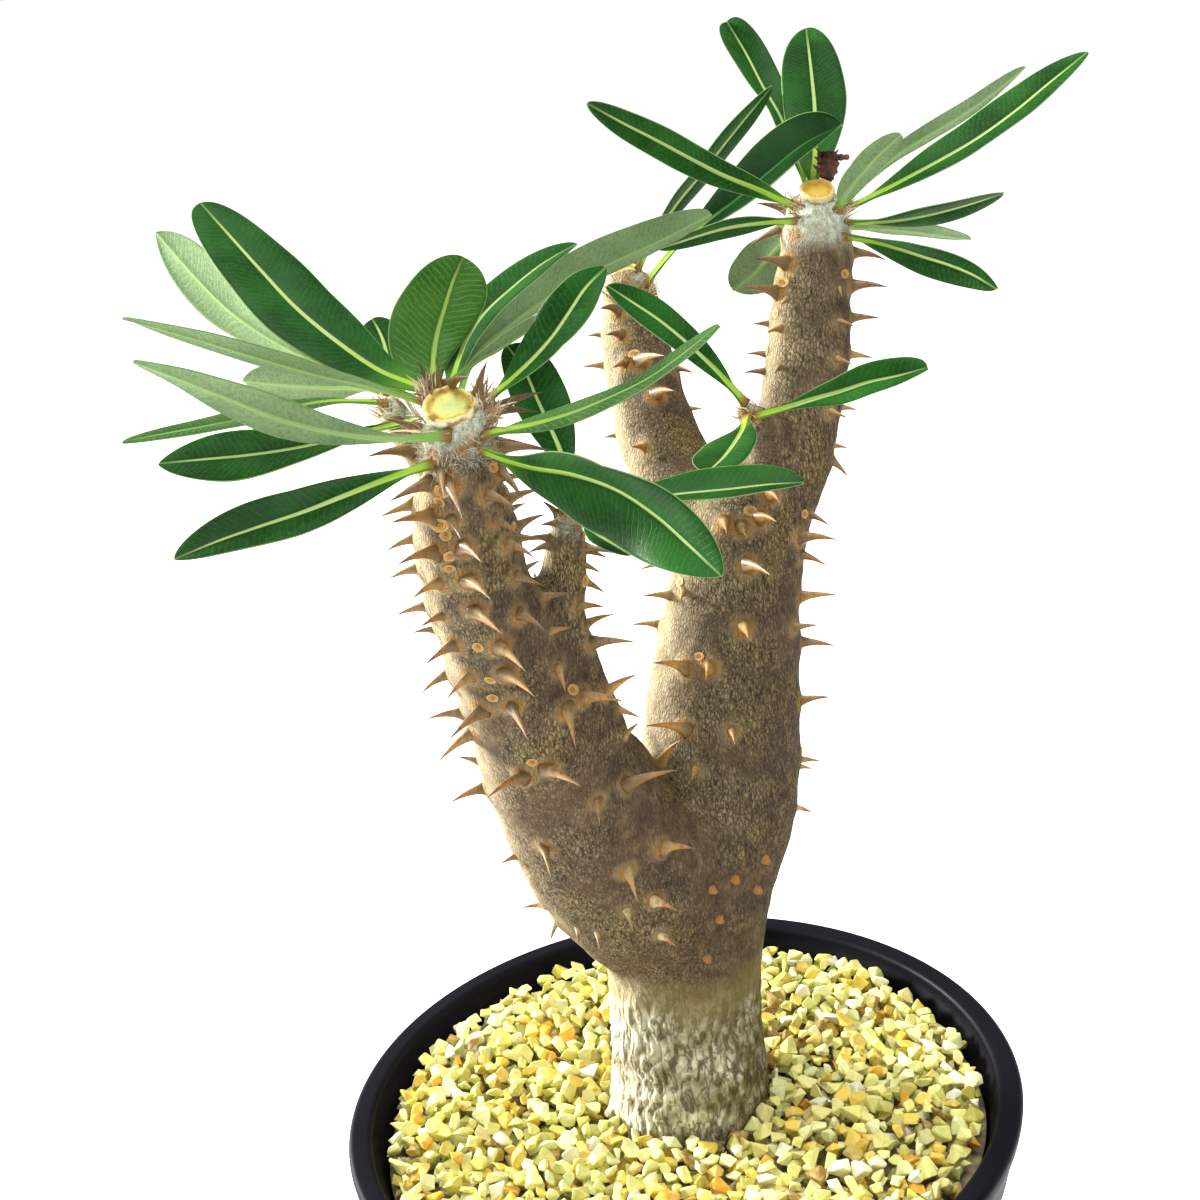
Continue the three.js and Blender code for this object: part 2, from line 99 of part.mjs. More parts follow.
// spines: root x, y, z, tip x, y, z, depth of the root below the bark
const SPINES = [
  [-34.3, -55.2, 306.2, -42.0, -62.9, 305.9, 1.3], [-39.1, -48.8, 300.2, -45.5, -50.3, 299.3, 1.3], [-35.2, -55.0, 300.0, -42.4, -62.9, 301.9, 1.3], [-40.2, -45.6, 292.4, -45.8, -46.2, 291.0, 1.4],
  [-35.4, -53.9, 292.4, -42.4, -62.1, 293.4, 1.3], [-40.2, -44.8, 286.0, -46.2, -45.3, 284.9, 1.4], [-35.6, -52.2, 285.5, -41.0, -57.8, 284.8, 1.4], [-39.8, -41.8, 277.1, -46.3, -42.2, 276.1, 1.6],
  [-36.3, -49.2, 277.6, -40.9, -52.6, 277.0, 1.4], [-39.3, -40.7, 271.4, -43.9, -40.7, 271.4, 1.8], [-35.1, -47.9, 270.8, -41.0, -53.2, 269.2, 1.6], [-38.3, -35.6, 259.2, -44.4, -36.8, 256.3, 1.5],
  [-33.2, -46.1, 262.9, -38.2, -51.3, 260.5, 1.6], [-31.8, -43.1, 254.3, -38.9, -50.1, 251.4, 1.5], [-35.2, -32.4, 244.3, -43.2, -36.0, 240.3, 1.5], [-36.4, -32.9, 249.5, -44.4, -33.0, 249.0, 1.5],
  [-35.7, -24.0, 233.8, -40.3, -23.0, 234.9, 1.6], [-35.0, -21.5, 225.9, -43.4, -22.3, 223.8, 1.6], [-25.7, -38.2, 236.1, -33.4, -45.8, 235.6, 1.7], [-30.6, -21.5, 208.6, -34.5, -22.9, 207.8, 1.7],
  [-27.0, -11.6, 190.1, -32.1, -11.3, 189.7, 1.8], [-24.3, -9.8, 183.6, -26.5, -11.7, 180.1, 1.8], [-19.4, -20.1, 187.3, -19.5, -22.6, 185.0, 1.8], [-15.2, -22.3, 186.8, -14.9, -25.2, 184.6, 1.8],
  [-31.6, -57.0, 308.0, -30.5, -66.1, 306.5, 1.2], [-30.7, -57.3, 306.1, -28.1, -67.2, 302.5, 1.3], [-31.3, -56.6, 299.0, -29.9, -63.2, 297.1, 1.3], [-30.3, -55.5, 293.1, -26.6, -64.2, 292.5, 1.3],
  [-30.3, -54.0, 286.1, -25.9, -63.6, 284.9, 1.4], [-29.9, -52.2, 279.0, -24.9, -61.5, 277.0, 1.4], [-26.2, -50.0, 270.1, -21.4, -59.4, 267.9, 1.7], [-25.9, -48.3, 263.5, -20.5, -57.1, 261.5, 1.6],
  [-24.2, -55.7, 302.8, -19.0, -61.7, 301.1, 1.3], [-23.9, -53.7, 297.1, -19.4, -58.2, 295.1, 1.3], [-22.4, -51.2, 291.3, -17.1, -55.7, 289.3, 1.4], [-21.6, -49.4, 283.7, -16.1, -53.0, 282.5, 1.4],
  [-21.8, -48.9, 275.6, -17.0, -55.3, 274.2, 1.6], [-21.0, -47.7, 298.8, -14.3, -47.2, 300.1, 1.3], [-21.9, -52.8, 306.3, -17.6, -58.3, 301.6, 1.3], [-21.0, -48.8, 303.9, -16.2, -49.0, 303.3, 1.3],
  [-20.9, -47.5, 296.9, -17.7, -47.7, 297.8, 1.3], [-20.1, -45.0, 292.3, -14.2, -44.3, 294.1, 1.4], [-20.0, -46.0, 290.2, -15.1, -46.9, 289.7, 1.4], [-25.8, -45.2, 255.2, -23.1, -53.7, 251.0, 1.5],
  [-20.7, -39.6, 237.7, -13.8, -48.0, 236.6, 1.8], [-11.4, -33.7, 225.6, -11.3, -40.4, 223.4, 2.0], [-23.8, -31.1, 214.8, -22.9, -38.5, 210.8, 1.6], [-6.8, -28.6, 205.5, -5.3, -36.9, 202.1, 1.7],
  [1.2, -23.7, 207.8, 8.6, -30.4, 209.9, 1.7], [-1.5, -25.7, 195.6, 3.2, -32.4, 196.3, 1.8], [-7.9, -26.6, 194.2, -7.1, -31.1, 192.0, 1.8], [-0.7, -23.4, 185.5, 2.4, -28.0, 184.5, 1.9],
  [-4.6, -28.7, 226.5, 6.5, -31.7, 229.9, 2.0], [3.6, -5.5, 218.8, 8.5, -10.9, 227.0, 2.9], [-11.3, -37.8, 251.8, -3.2, -44.4, 252.6, 2.2], [-6.5, -31.7, 249.7, 0.2, -34.3, 254.1, 2.3],
  [-4.3, -28.4, 243.8, -0.1, -30.6, 242.4, 2.2], [-3.4, -28.8, 238.0, -0.4, -29.7, 241.1, 2.1], [-15.3, -40.9, 250.8, -14.0, -50.6, 246.4, 1.8], [-21.6, -50.9, 309.9, -11.6, -50.4, 308.3, 1.2],
  [-30.7, -49.9, 323.4, -30.7, -48.5, 328.5, 1.2], [-32.5, -51.5, 322.6, -33.2, -51.5, 328.4, 1.2], [-31.3, -52.7, 323.1, -28.9, -56.5, 327.2, 1.2], [-24.2, -53.7, 321.6, -21.5, -57.9, 328.7, 1.2],
  [-29.1, -52.9, 323.7, -24.7, -62.6, 326.3, 1.2], [-22.0, -50.4, 317.1, -12.0, -48.5, 319.3, 1.2], [-22.0, -50.4, 317.2, -13.3, -49.8, 316.0, 1.2], [-21.6, -50.4, 311.2, -15.8, -49.8, 310.0, 1.2],
  [-41.9, -10.0, 300.0, -50.1, -17.3, 302.1, 1.2], [-34.7, -53.6, 315.7, -41.1, -55.9, 319.6, 1.2], [-10.8, -34.7, 291.5, -13.0, -41.5, 297.5, 1.1], [-12.7, -33.9, 290.4, -14.9, -35.2, 293.9, 1.2],
  [-13.3, -34.8, 288.9, -15.8, -37.2, 289.6, 1.2], [-15.1, -34.6, 285.9, -19.6, -36.3, 287.1, 1.4], [-6.6, -33.7, 281.8, -3.2, -34.3, 280.0, 1.2], [-7.5, -35.2, 279.2, -4.9, -36.3, 277.7, 1.2],
  [-8.2, -33.1, 274.8, -4.6, -33.5, 272.3, 1.3], [-10.1, -35.6, 271.0, -4.9, -38.7, 271.3, 1.5], [-8.8, -33.3, 265.7, -3.1, -34.6, 267.9, 1.5], [-8.2, -32.5, 261.4, 0.6, -35.2, 261.5, 1.7],
  [-6.5, -34.3, 282.6, -1.9, -35.5, 281.3, 1.2], [-15.2, -35.5, 284.5, -18.9, -38.2, 284.4, 1.4], [-16.6, -41.0, 275.8, -11.3, -42.8, 276.6, 2.3], [-15.8, -42.3, 268.6, -11.9, -44.0, 269.7, 2.0],
  [-15.8, -42.0, 260.4, -14.7, -47.9, 257.4, 1.7], [-42.8, -3.5, 309.7, -39.6, -14.0, 308.9, 1.1], [-44.2, -7.6, 305.5, -48.9, -17.0, 307.4, 1.1], [6.9, 49.0, 311.5, 2.1, 40.6, 314.6, 1.3],
  [2.1, 53.3, 305.3, -1.4, 53.4, 305.7, 1.3], [6.7, 45.6, 306.5, 2.8, 38.9, 308.7, 1.3], [1.8, 49.8, 298.9, -3.5, 50.4, 299.1, 1.3], [6.8, 41.5, 300.7, 3.5, 35.0, 301.7, 1.3],
  [18.5, 43.8, 297.5, 22.5, 41.3, 296.7, 1.3], [20.8, 41.4, 287.9, 23.8, 41.3, 287.7, 1.3], [2.9, 40.9, 283.8, -0.5, 41.3, 283.5, 1.3], [12.8, 36.0, 293.6, 16.6, 26.5, 296.8, 1.3],
  [9.0, 29.4, 283.3, 5.7, 24.4, 285.4, 1.3], [10.1, 40.7, 301.0, 15.6, 31.6, 303.9, 1.3], [59.3, 27.9, 323.0, 66.8, 27.1, 320.9, 1.3], [57.8, 24.2, 316.7, 65.9, 20.8, 316.2, 1.3],
  [57.5, 24.9, 309.3, 64.2, 24.1, 308.6, 1.3], [56.5, 23.1, 301.4, 61.8, 22.1, 300.2, 1.3], [53.5, 19.8, 290.1, 57.0, 19.0, 289.4, 1.4], [50.8, 16.2, 282.5, 53.8, 15.0, 282.0, 1.5],
  [50.2, 17.5, 278.4, 53.5, 16.1, 274.8, 1.4], [44.1, 11.1, 268.2, 47.7, 8.7, 266.2, 1.5], [40.6, 7.5, 264.6, 48.3, 1.8, 265.1, 1.7], [46.5, 30.8, 333.7, 39.4, 32.8, 336.0, 1.2],
  [45.0, 29.6, 329.4, 36.9, 29.3, 327.2, 1.3], [44.5, 23.9, 323.3, 36.0, 18.2, 326.4, 1.3], [42.2, 23.6, 317.3, 33.4, 19.4, 320.1, 1.3], [39.7, 26.2, 309.7, 35.6, 26.4, 310.2, 1.3],
  [38.2, 25.6, 302.8, 33.7, 26.4, 303.5, 1.3], [37.3, 23.1, 299.6, 32.4, 22.9, 300.1, 1.4], [43.3, 21.2, 315.8, 41.6, 18.3, 315.3, 1.3], [41.6, 20.1, 309.5, 37.7, 17.0, 310.0, 1.3],
  [54.7, 20.6, 316.9, 55.0, 17.5, 315.9, 1.3], [54.0, 18.9, 309.9, 57.0, 14.9, 309.6, 1.3], [52.7, 16.9, 302.0, 55.7, 12.9, 301.5, 1.3], [50.2, 14.5, 291.0, 53.4, 10.8, 290.2, 1.4],
  [40.0, 17.9, 301.5, 38.5, 15.0, 301.0, 1.4], [40.8, 7.9, 260.1, 45.8, 4.1, 258.4, 1.9], [39.6, 8.2, 250.2, 48.0, 5.7, 250.6, 1.9], [37.0, 3.8, 244.6, 42.6, 1.0, 245.7, 1.6],
  [39.3, 9.9, 238.3, 47.2, 9.3, 236.6, 1.6], [37.2, 3.5, 226.5, 44.5, 2.2, 227.1, 1.6], [36.1, 3.9, 211.4, 41.0, 3.6, 210.6, 1.7], [35.9, 3.4, 209.8, 39.0, 3.0, 209.0, 1.7],
  [34.4, 1.8, 199.9, 38.0, 1.2, 198.6, 1.8], [10.8, 19.3, 258.0, 4.1, 19.5, 257.1, 2.6], [10.7, 9.6, 253.5, 3.8, 7.5, 255.2, 1.9], [7.3, 14.3, 244.7, 0.7, 15.1, 245.5, 1.6],
  [11.7, -1.8, 240.3, 4.2, -8.1, 245.1, 1.6], [10.1, -6.5, 227.4, 1.1, -11.3, 231.6, 1.7], [25.4, -2.4, 248.5, 25.5, -12.7, 249.7, 1.6], [16.9, -4.5, 240.5, 15.2, -14.1, 241.9, 1.6],
  [19.9, -9.3, 226.7, 20.1, -16.1, 226.9, 1.6], [11.2, -9.8, 218.6, 9.8, -15.6, 218.9, 1.8], [13.3, 5.9, 255.6, 11.9, 1.3, 254.8, 1.9], [27.8, 0.8, 261.9, 31.7, -9.5, 262.8, 1.9],
  [31.6, 4.2, 271.3, 34.3, -6.1, 273.7, 1.6], [23.9, 5.2, 270.8, 23.3, -5.5, 272.1, 1.8], [27.4, 3.7, 269.9, 27.3, -6.9, 271.4, 1.7], [34.5, 6.4, 275.9, 35.5, -4.3, 277.3, 1.6],
  [-27.2, 1.7, 213.8, -34.0, 6.4, 211.7, 1.7], [-8.0, 1.4, 223.9, -7.3, 8.1, 227.0, 1.7], [-24.2, 0.2, 224.6, -30.0, 7.2, 225.2, 1.6], [-22.2, -4.2, 234.8, -26.5, 3.0, 236.3, 1.6],
  [-20.5, -9.3, 245.4, -20.0, -0.0, 245.8, 1.7], [-32.6, -15.9, 246.1, -39.4, -12.1, 246.3, 1.6], [-17.1, -15.5, 254.8, -16.5, -9.0, 257.8, 1.8], [-29.6, -17.8, 256.1, -34.3, -12.6, 254.9, 1.5],
  [-16.5, -23.1, 264.5, -14.8, -15.4, 267.9, 2.5], [-29.5, -22.8, 267.0, -34.4, -15.8, 267.2, 1.9], [-18.0, -28.1, 272.5, -19.0, -21.3, 274.5, 2.8], [-22.4, -25.4, 275.1, -17.1, -18.6, 275.8, 2.0],
  [-35.0, -34.4, 288.2, -40.5, -29.9, 288.6, 1.4], [-26.2, -35.7, 293.8, -23.8, -29.2, 295.9, 1.4], [-33.3, -37.5, 298.6, -37.8, -30.7, 298.7, 1.3], [-26.8, -40.0, 303.1, -23.4, -31.1, 304.0, 1.3],
  [-30.0, -42.7, 308.3, -33.2, -34.4, 312.0, 1.3], [14.7, 25.9, 216.3, 11.9, 32.6, 213.7, 1.6], [33.2, 20.4, 220.1, 39.5, 23.4, 217.3, 1.6], [23.0, 27.3, 226.6, 22.6, 33.4, 223.4, 1.6],
  [11.1, 24.3, 236.0, 7.2, 28.5, 235.9, 1.6], [31.7, 25.8, 237.5, 34.3, 32.2, 235.0, 1.6], [18.8, 28.3, 246.1, 15.4, 34.7, 245.2, 2.1], [35.8, 26.4, 248.7, 38.9, 31.1, 246.0, 2.6],
  [37.4, 27.4, 253.6, 42.1, 30.9, 250.8, 2.8], [36.4, 29.6, 259.3, 37.4, 35.6, 257.1, 2.6], [30.2, 31.7, 273.3, 34.6, 36.6, 276.8, 2.5], [42.7, 26.8, 268.3, 45.8, 32.7, 264.2, 1.5],
  [37.8, 29.8, 278.2, 37.0, 35.4, 277.0, 1.5], [50.8, 27.3, 286.5, 54.0, 30.6, 282.9, 1.4], [47.5, 31.6, 293.0, 48.1, 37.0, 290.6, 1.3], [52.4, 33.2, 304.5, 52.2, 40.0, 300.9, 1.3],
  [53.5, 34.1, 310.4, 55.2, 41.0, 306.8, 1.3], [21.7, 40.9, 272.2, 24.3, 46.0, 268.9, 1.4], [12.2, 44.4, 273.4, 10.8, 48.6, 268.3, 1.3], [13.9, 55.1, 291.7, 15.0, 59.6, 287.3, 1.3],
  [5.9, 57.2, 297.3, 2.7, 62.1, 293.0, 1.3], [-18.5, -18.9, 260.3, -18.5, -13.4, 263.3, 1.9], [-12.6, -25.0, 265.8, -11.1, -18.6, 266.7, 1.8], [-15.8, -25.7, 268.3, -17.7, -21.2, 269.2, 2.2],
  [-11.4, -28.2, 275.7, -8.6, -23.4, 274.2, 1.3], [-12.8, -28.2, 279.7, -13.1, -21.9, 279.0, 1.3], [-29.2, -11.5, 286.1, -25.1, -5.9, 284.1, 1.2], [-34.4, -8.5, 287.1, -35.7, -5.9, 283.0, 1.2],
  [-32.2, -8.2, 295.2, -25.5, -6.4, 296.1, 1.2], [-34.5, -5.2, 297.3, -30.7, -1.7, 295.9, 1.2], [-40.0, -1.5, 298.9, -41.0, 3.6, 295.0, 1.2],
];

const FLOWER_STUB = [[54.63, 28.38, 339.52, 1.0], [54.96, 28.83, 339.86, 1.35], [55.63, 30.1, 341.81, 2.1], [55.89, 30.88, 343.87, 2.4], [56.31, 31.5, 345.49, 1.4]];
const FLOWER_TWIG = [[54.65, 31.3, 344.39, 0.9], [57.48, 30.2, 344.32, 0.9], [60.31, 29.1, 344.25, 0.6]];

// ---------------------------------------------------------------- helpers
const V = (a) => new THREE.Vector3(a[0], a[1], a[2]);

function toSolid(geo) {
  const g = geo.clone();
  g.deleteAttribute('normal');
  g.deleteAttribute('uv');
  const p = g.getAttribute('position');
  const idx = g.index ? Array.from(g.index.array) : Array.from({ length: p.count }, (_, i) => i);
  const mesh = new Mesh({ numProp: 3, vertProperties: new Float32Array(p.array), triVerts: new Uint32Array(idx) });
  mesh.merge();
  return new Manifold(mesh);
}

function toGeometry(solid) {
  const m = solid.getMesh();
  const g = new THREE.BufferGeometry();
  const pos = new Float32Array(m.numVert * 3);
  for (let i = 0; i < m.numVert; i++) for (let k = 0; k < 3; k++) pos[3 * i + k] = m.vertProperties[i * m.numProp + k];
  g.setAttribute('position', new THREE.BufferAttribute(pos, 3));
  g.setIndex(Array.from(m.triVerts));
  g.computeVertexNormals();
  return g;
}

// closed skin over a list of rings with equal point counts; first and last ring are capped
function skin(rings) {
  const n = rings[0].length;
  const pos = [];
  const idx = [];
  for (const r of rings) for (const q of r) pos.push(q.x, q.y, q.z);
  for (let i = 0; i + 1 < rings.length; i++) {
    for (let j = 0; j < n; j++) {
      const a = i * n + j, b = i * n + ((j + 1) % n), c = (i + 1) * n + j, d = (i + 1) * n + ((j + 1) % n);
      idx.push(a, b, c, b, d, c);
    }
  }
  for (const [k, flip] of [[0, true], [rings.length - 1, false]]) {
    const mid = rings[k].reduce((s, q) => s.add(q), new THREE.Vector3()).multiplyScalar(1 / n);
    const c = pos.length / 3;
    pos.push(mid.x, mid.y, mid.z);
    for (let j = 0; j < n; j++) {
      const a = k * n + j, b = k * n + ((j + 1) % n);
      if (flip) idx.push(b, a, c); else idx.push(a, b, c);
    }
  }
  const g = new THREE.BufferGeometry();
  g.setAttribute('position', new THREE.BufferAttribute(new Float32Array(pos), 3));
  g.setIndex(idx);
  return g;
}

// tube through [x, y, z, radius] rows with a rounded far end
function tube(rows, sides, grow = 0, roundEnd = true) {
  const list = rows.map((r) => ({ p: V(r), r: r[3] + grow }));
  if (roundEnd) {
    const a = list[list.length - 2], b = list[list.length - 1];
    const t = b.p.clone().sub(a.p).normalize();
    list.push({ p: b.p.clone().addScaledVector(t, b.r * 0.42), r: b.r * 0.86 });
    list.push({ p: b.p.clone().addScaledVector(t, b.r * 0.72), r: b.r * 0.5 });
  }
  let up = new THREE.Vector3(0.13, 0.99, 0.02);
  const rings = [];
  for (let i = 0; i < list.length; i++) {
    const t = list[Math.min(i + 1, list.length - 1)].p.clone().sub(list[Math.max(i - 1, 0)].p).normalize();
    const x = up.clone().addScaledVector(t, -up.dot(t)).normalize();
    const y = t.clone().cross(x);
    up = x;
    const ring = [];
    for (let j = 0; j < sides; j++) {
      const a = (j / sides) * Math.PI * 2;
      ring.push(list[i].p.clone().addScaledVector(x, list[i].r * Math.cos(a)).addScaledVector(y, list[i].r * Math.sin(a)));
    }
    rings.push(ring);
  }
  return skin(rings);
}

// Catmull-Rom point on a list of points spaced evenly, t in 0..1
function onPath(points, t) {
  const m = points.length - 1;
  const s = Math.min(Math.max(t, 0), 1) * m;
  const i = Math.min(Math.floor(s), m - 1);
  const x = s - i;
  const at = (k) => {
    if (k < 0) return V(points[0]).multiplyScalar(2).sub(V(points[1]));
    if (k > m) return V(points[m]).multiplyScalar(2).sub(V(points[m - 1]));
    return V(points[k]);
  };
  const p0 = at(i - 1), p1 = at(i), p2 = at(i + 1), p3 = at(i + 2);
  const out = new THREE.Vector3();
  out.addScaledVector(p1, 2);
  out.addScaledVector(p2.clone().sub(p0), x);
  out.addScaledVector(p0.clone().multiplyScalar(2).addScaledVector(p1, -5).addScaledVector(p2, 4).sub(p3), x * x);
  out.addScaledVector(p0.clone().multiplyScalar(-1).addScaledVector(p1, 3).addScaledVector(p2, -3).add(p3), x * x * x);
  return out.multiplyScalar(0.5);
}

// half width of a blade as a share of half its full width
function bladeProfile(t, widest, baseFall, tipFall, blunt) {
  if (t <= widest) return Math.pow(Math.sin((t / widest) * Math.PI / 2), baseFall);
  const b = (t - widest) / (1 - widest);
  return Math.pow(Math.max(1 - Math.pow(b, blunt), 0), tipFall);
}

// one folded leaf: stalk, blade with raised margins, midrib line along the path
function leaf(row) {
  const [, path, ups, width, widest, baseFall, tipFall, foldDeg, blunt, lop0, lop1] = row;
  const fold = foldDeg * Math.PI / 180;
  const rings = LEAF_STATIONS.map((t) => {
    const p = onPath(path, t);
    const tan = onPath(path, Math.min(t + 0.04, 1)).sub(onPath(path, Math.max(t - 0.04, 0))).normalize();
    const u = t < 0.5 ? V(ups[0]).lerp(V(ups[1]), t * 2) : V(ups[1]).lerp(V(ups[2]), t * 2 - 1);
    const up = u.addScaledVector(tan, -u.dot(tan)).normalize();
    const side = tan.clone().cross(up).normalize();
    const tip = t >= 1;
    const h = tip ? width * 0.1 : Math.max(bladeProfile(t, widest, baseFall, tipFall, blunt) * width / 2, PETIOLE_HALF);
    const c = Math.cos(fold), s = Math.sin(fold);
    const e = t < 0.08 ? LEAF_THICK * 0.42 : LEAF_EDGE / 2;
    const q = (a, b) => p.clone().addScaledVector(side, a).addScaledVector(up, b);
    const lop = lop0 + (lop1 - lop0) * t;
    const r = h * (1 - lop), l = h * (1 + lop);
    return [q(r * c, r * s - e), q(0, -LEAF_THICK * 0.6), q(-l * c, l * s - e), q(-l * c, l * s + e), q(0, LEAF_THICK * 0.4), q(r * c, r * s + e)];
  });
  return skin(rings);
}

function spine(row) {
  const base = V(row), tip = new THREE.Vector3(row[3], row[4], row[5]);
  const axis = tip.clone().sub(base);
  const len = axis.length();
  const r = Math.min(0.85 + len * 0.115, 2.1);
  const sink = row[6];
  const g = new THREE.ConeGeometry(r * (1 + sink / len), len + sink, SPINE_SIDES, 1);
  g.translate(0, (len + sink) / 2 - sink, 0);
  g.applyQuaternion(new THREE.Quaternion().setFromUnitVectors(new THREE.Vector3(0, 1, 0), axis.normalize()));
  g.translate(base.x, base.y, base.z);
  return g;
}

// ---------------------------------------------------------------- pot
function innerRadius(z) {
  return INNER_BOTTOM_RADIUS + (INNER_TOP_RADIUS - INNER_BOTTOM_RADIUS) * (z - POT_FLOOR) / (POT_HEIGHT - 3 - POT_FLOOR);
}

function lathe(points, segments) {
  return new THREE.LatheGeometry(points.map(([x, y]) => new THREE.Vector2(x, y)), segments).rotateX(Math.PI / 2);
}

function potSolid() {
  const bandFoot = POT_HEIGHT - 3 - RIM_BAND;
  const outer = (z) => innerRadius(z) + POT_WALL;
  const top = POT_HEIGHT;
  const pts = [[0, 0], [outer(2) - 2.0, 0], [outer(2), 1.6], [outer(bandFoot - 4), bandFoot - 4], [outer(bandFoot) + 3.4, bandFoot], [RIM_RADIUS - 1.1, top - 6.5], [RIM_RADIUS - 0.2, top - 3.4]];
  for (let k = 0; k <= 3; k++) {
    const a = (k / 3) * Math.PI / 2;
    pts.push([RIM_RADIUS - LIP_ROUND + LIP_ROUND * Math.cos(a), top - LIP_ROUND + LIP_ROUND * Math.sin(a)]);
  }
  const inner = RIM_RADIUS - LIP_WIDTH + LIP_ROUND;
  for (let k = 0; k <= 3; k++) {
    const a = (k / 3) * Math.PI / 2;
    pts.push([inner - LIP_ROUND * Math.sin(a), top - LIP_ROUND + LIP_ROUND * Math.cos(a)]);
  }
  pts.push([innerRadius(top - 5.5), top - 5.5], [INNER_BOTTOM_RADIUS + 1.2, POT_FLOOR + 3], [INNER_BOTTOM_RADIUS - 1.5, POT_FLOOR], [0, POT_FLOOR]);
  pts.push([0, 0]);
  let pot = toSolid(lathe(pts, POT_SEGMENTS));
  const holes = [];
  for (let i = 0; i < DRAIN_COUNT; i++) {
    const a = (i / DRAIN_COUNT) * Math.PI * 2 + 0.26;
    const c = new THREE.CylinderGeometry(DRAIN_RADIUS, DRAIN_RADIUS, 12, 12).rotateX(Math.PI / 2);
    c.translate(DRAIN_RING_RADIUS * Math.cos(a), DRAIN_RING_RADIUS * Math.sin(a), 1.5);
    holes.push(toSolid(c));
  }
  return pot.subtract(Manifold.union(holes));
}

// ---------------------------------------------------------------- stem
function stemSolid() {
  const parts = Object.entries(BRANCHES).map(([k, rows]) => toSolid(tube(rows, STEM_SIDES[k])));
  for (const s of SPINES) parts.push(toSolid(spine(s)));
  return Manifold.union(parts);
}

function stemSleeve() {
  const sleeve = BRANCHES.trunk.map((r) => [...r]);
  sleeve[0][2] -= GAP + 0.1;
  const sides = STEM_SIDES.trunk;
  return toSolid(tube(sleeve, sides, GAP / Math.cos(Math.PI / sides) + 0.05, false));
}

// ---------------------------------------------------------------- filling
function mixSolid() {
  const foot = POT_FLOOR + GAP;
  const r = (z) => innerRadius(z) - GAP - 0.3;
  const geo = lathe([[0, foot], [INNER_BOTTOM_RADIUS - 2.2, foot], [r(foot + 3.2) - 0.6, foot + 3.2], [r(MIX_TOP), MIX_TOP], [0, MIX_TOP]], 32);
  return toSolid(geo).subtract(stemSleeve());
}

function noise(i, j) {
  const s = Math.sin(i * 127.1 + j * 311.7) * 43758.5453;
  return (s - Math.floor(s)) * 2 - 1;
}

function gravelSolid() {
  const n = 44;
  const foot = MIX_TOP + GAP;
  const rEdge = innerRadius(GRAVEL_TOP - 4) - GAP - 0.5;
  const rings = [];
  const circle = (rad, zf) => Array.from({ length: n }, (_, j) => {
    const a = (j / n) * Math.PI * 2;
    return new THREE.Vector3(rad * Math.cos(a), rad * Math.sin(a), zf(j));
  });
  rings.push(circle(12, () => foot));
  rings.push(circle(innerRadius(foot) - GAP - 0.5, () => foot));
  for (let i = GRAVEL_RINGS; i >= 1; i--) {
    const rad = (rEdge * i) / GRAVEL_RINGS;
    const drop = i === GRAVEL_RINGS ? 2.2 : 0;
    rings.push(circle(rad, (j) => GRAVEL_TOP - drop + GRAVEL_BUMP * noise(i, j)));
  }
  return toSolid(skin(rings)).subtract(stemSleeve());
}

// ---------------------------------------------------------------- assembly
const root = new THREE.Group();
root.name = 'potted_pachypodium';

function add(name, solidOrGeo, color, roughness) {
  const geo = solidOrGeo.isBufferGeometry ? solidOrGeo : toGeometry(solidOrGeo);
  geo.computeVertexNormals();
  const mesh = new THREE.Mesh(geo, new THREE.MeshStandardMaterial({ color, roughness, metalness: 0 }));
  mesh.name = name;
  root.add(mesh);
}

add('pot', potSolid(), 0x17171b, 0.45);
add('potting_mix', mixSolid(), 0x3b2c20, 1.0);
add('top_gravel', gravelSolid(), 0xd8cf96, 0.95);
add('stem', stemSolid(), 0x8a7560, 0.85);
for (const row of LEAVES) add(row[0], leaf(row), 0x1f4a22, 0.5);
add('dried_flower_stub', toSolid(tube(FLOWER_STUB, 8)).add(toSolid(tube(FLOWER_TWIG, 6))), 0x3a1512, 0.9);

export default root;
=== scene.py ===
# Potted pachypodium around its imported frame: bark, thorns, leaf rosettes, crowns, gravel and pot.
# Tables are in millimetres in the row frame; meshes are made in metres.
import math
import zlib

import bmesh
import bpy
import numpy as np
from mathutils import Matrix, Vector, noise
from mathutils.bvhtree import BVHTree


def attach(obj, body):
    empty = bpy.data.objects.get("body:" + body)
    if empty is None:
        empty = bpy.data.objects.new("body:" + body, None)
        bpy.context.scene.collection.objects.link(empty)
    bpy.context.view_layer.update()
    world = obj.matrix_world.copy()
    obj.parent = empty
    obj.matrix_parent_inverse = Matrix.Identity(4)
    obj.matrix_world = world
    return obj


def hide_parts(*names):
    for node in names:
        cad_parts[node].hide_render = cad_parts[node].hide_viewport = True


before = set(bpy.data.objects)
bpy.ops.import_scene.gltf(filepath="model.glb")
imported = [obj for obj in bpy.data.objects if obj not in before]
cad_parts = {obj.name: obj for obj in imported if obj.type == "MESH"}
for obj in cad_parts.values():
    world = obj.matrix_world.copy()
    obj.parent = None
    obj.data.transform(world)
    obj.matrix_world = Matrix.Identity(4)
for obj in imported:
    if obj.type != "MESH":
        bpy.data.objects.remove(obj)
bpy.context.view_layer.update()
MM = 0.001
rng = np.random.default_rng(11)

# ------------------------------------------------------------------ the plant's own dimensions

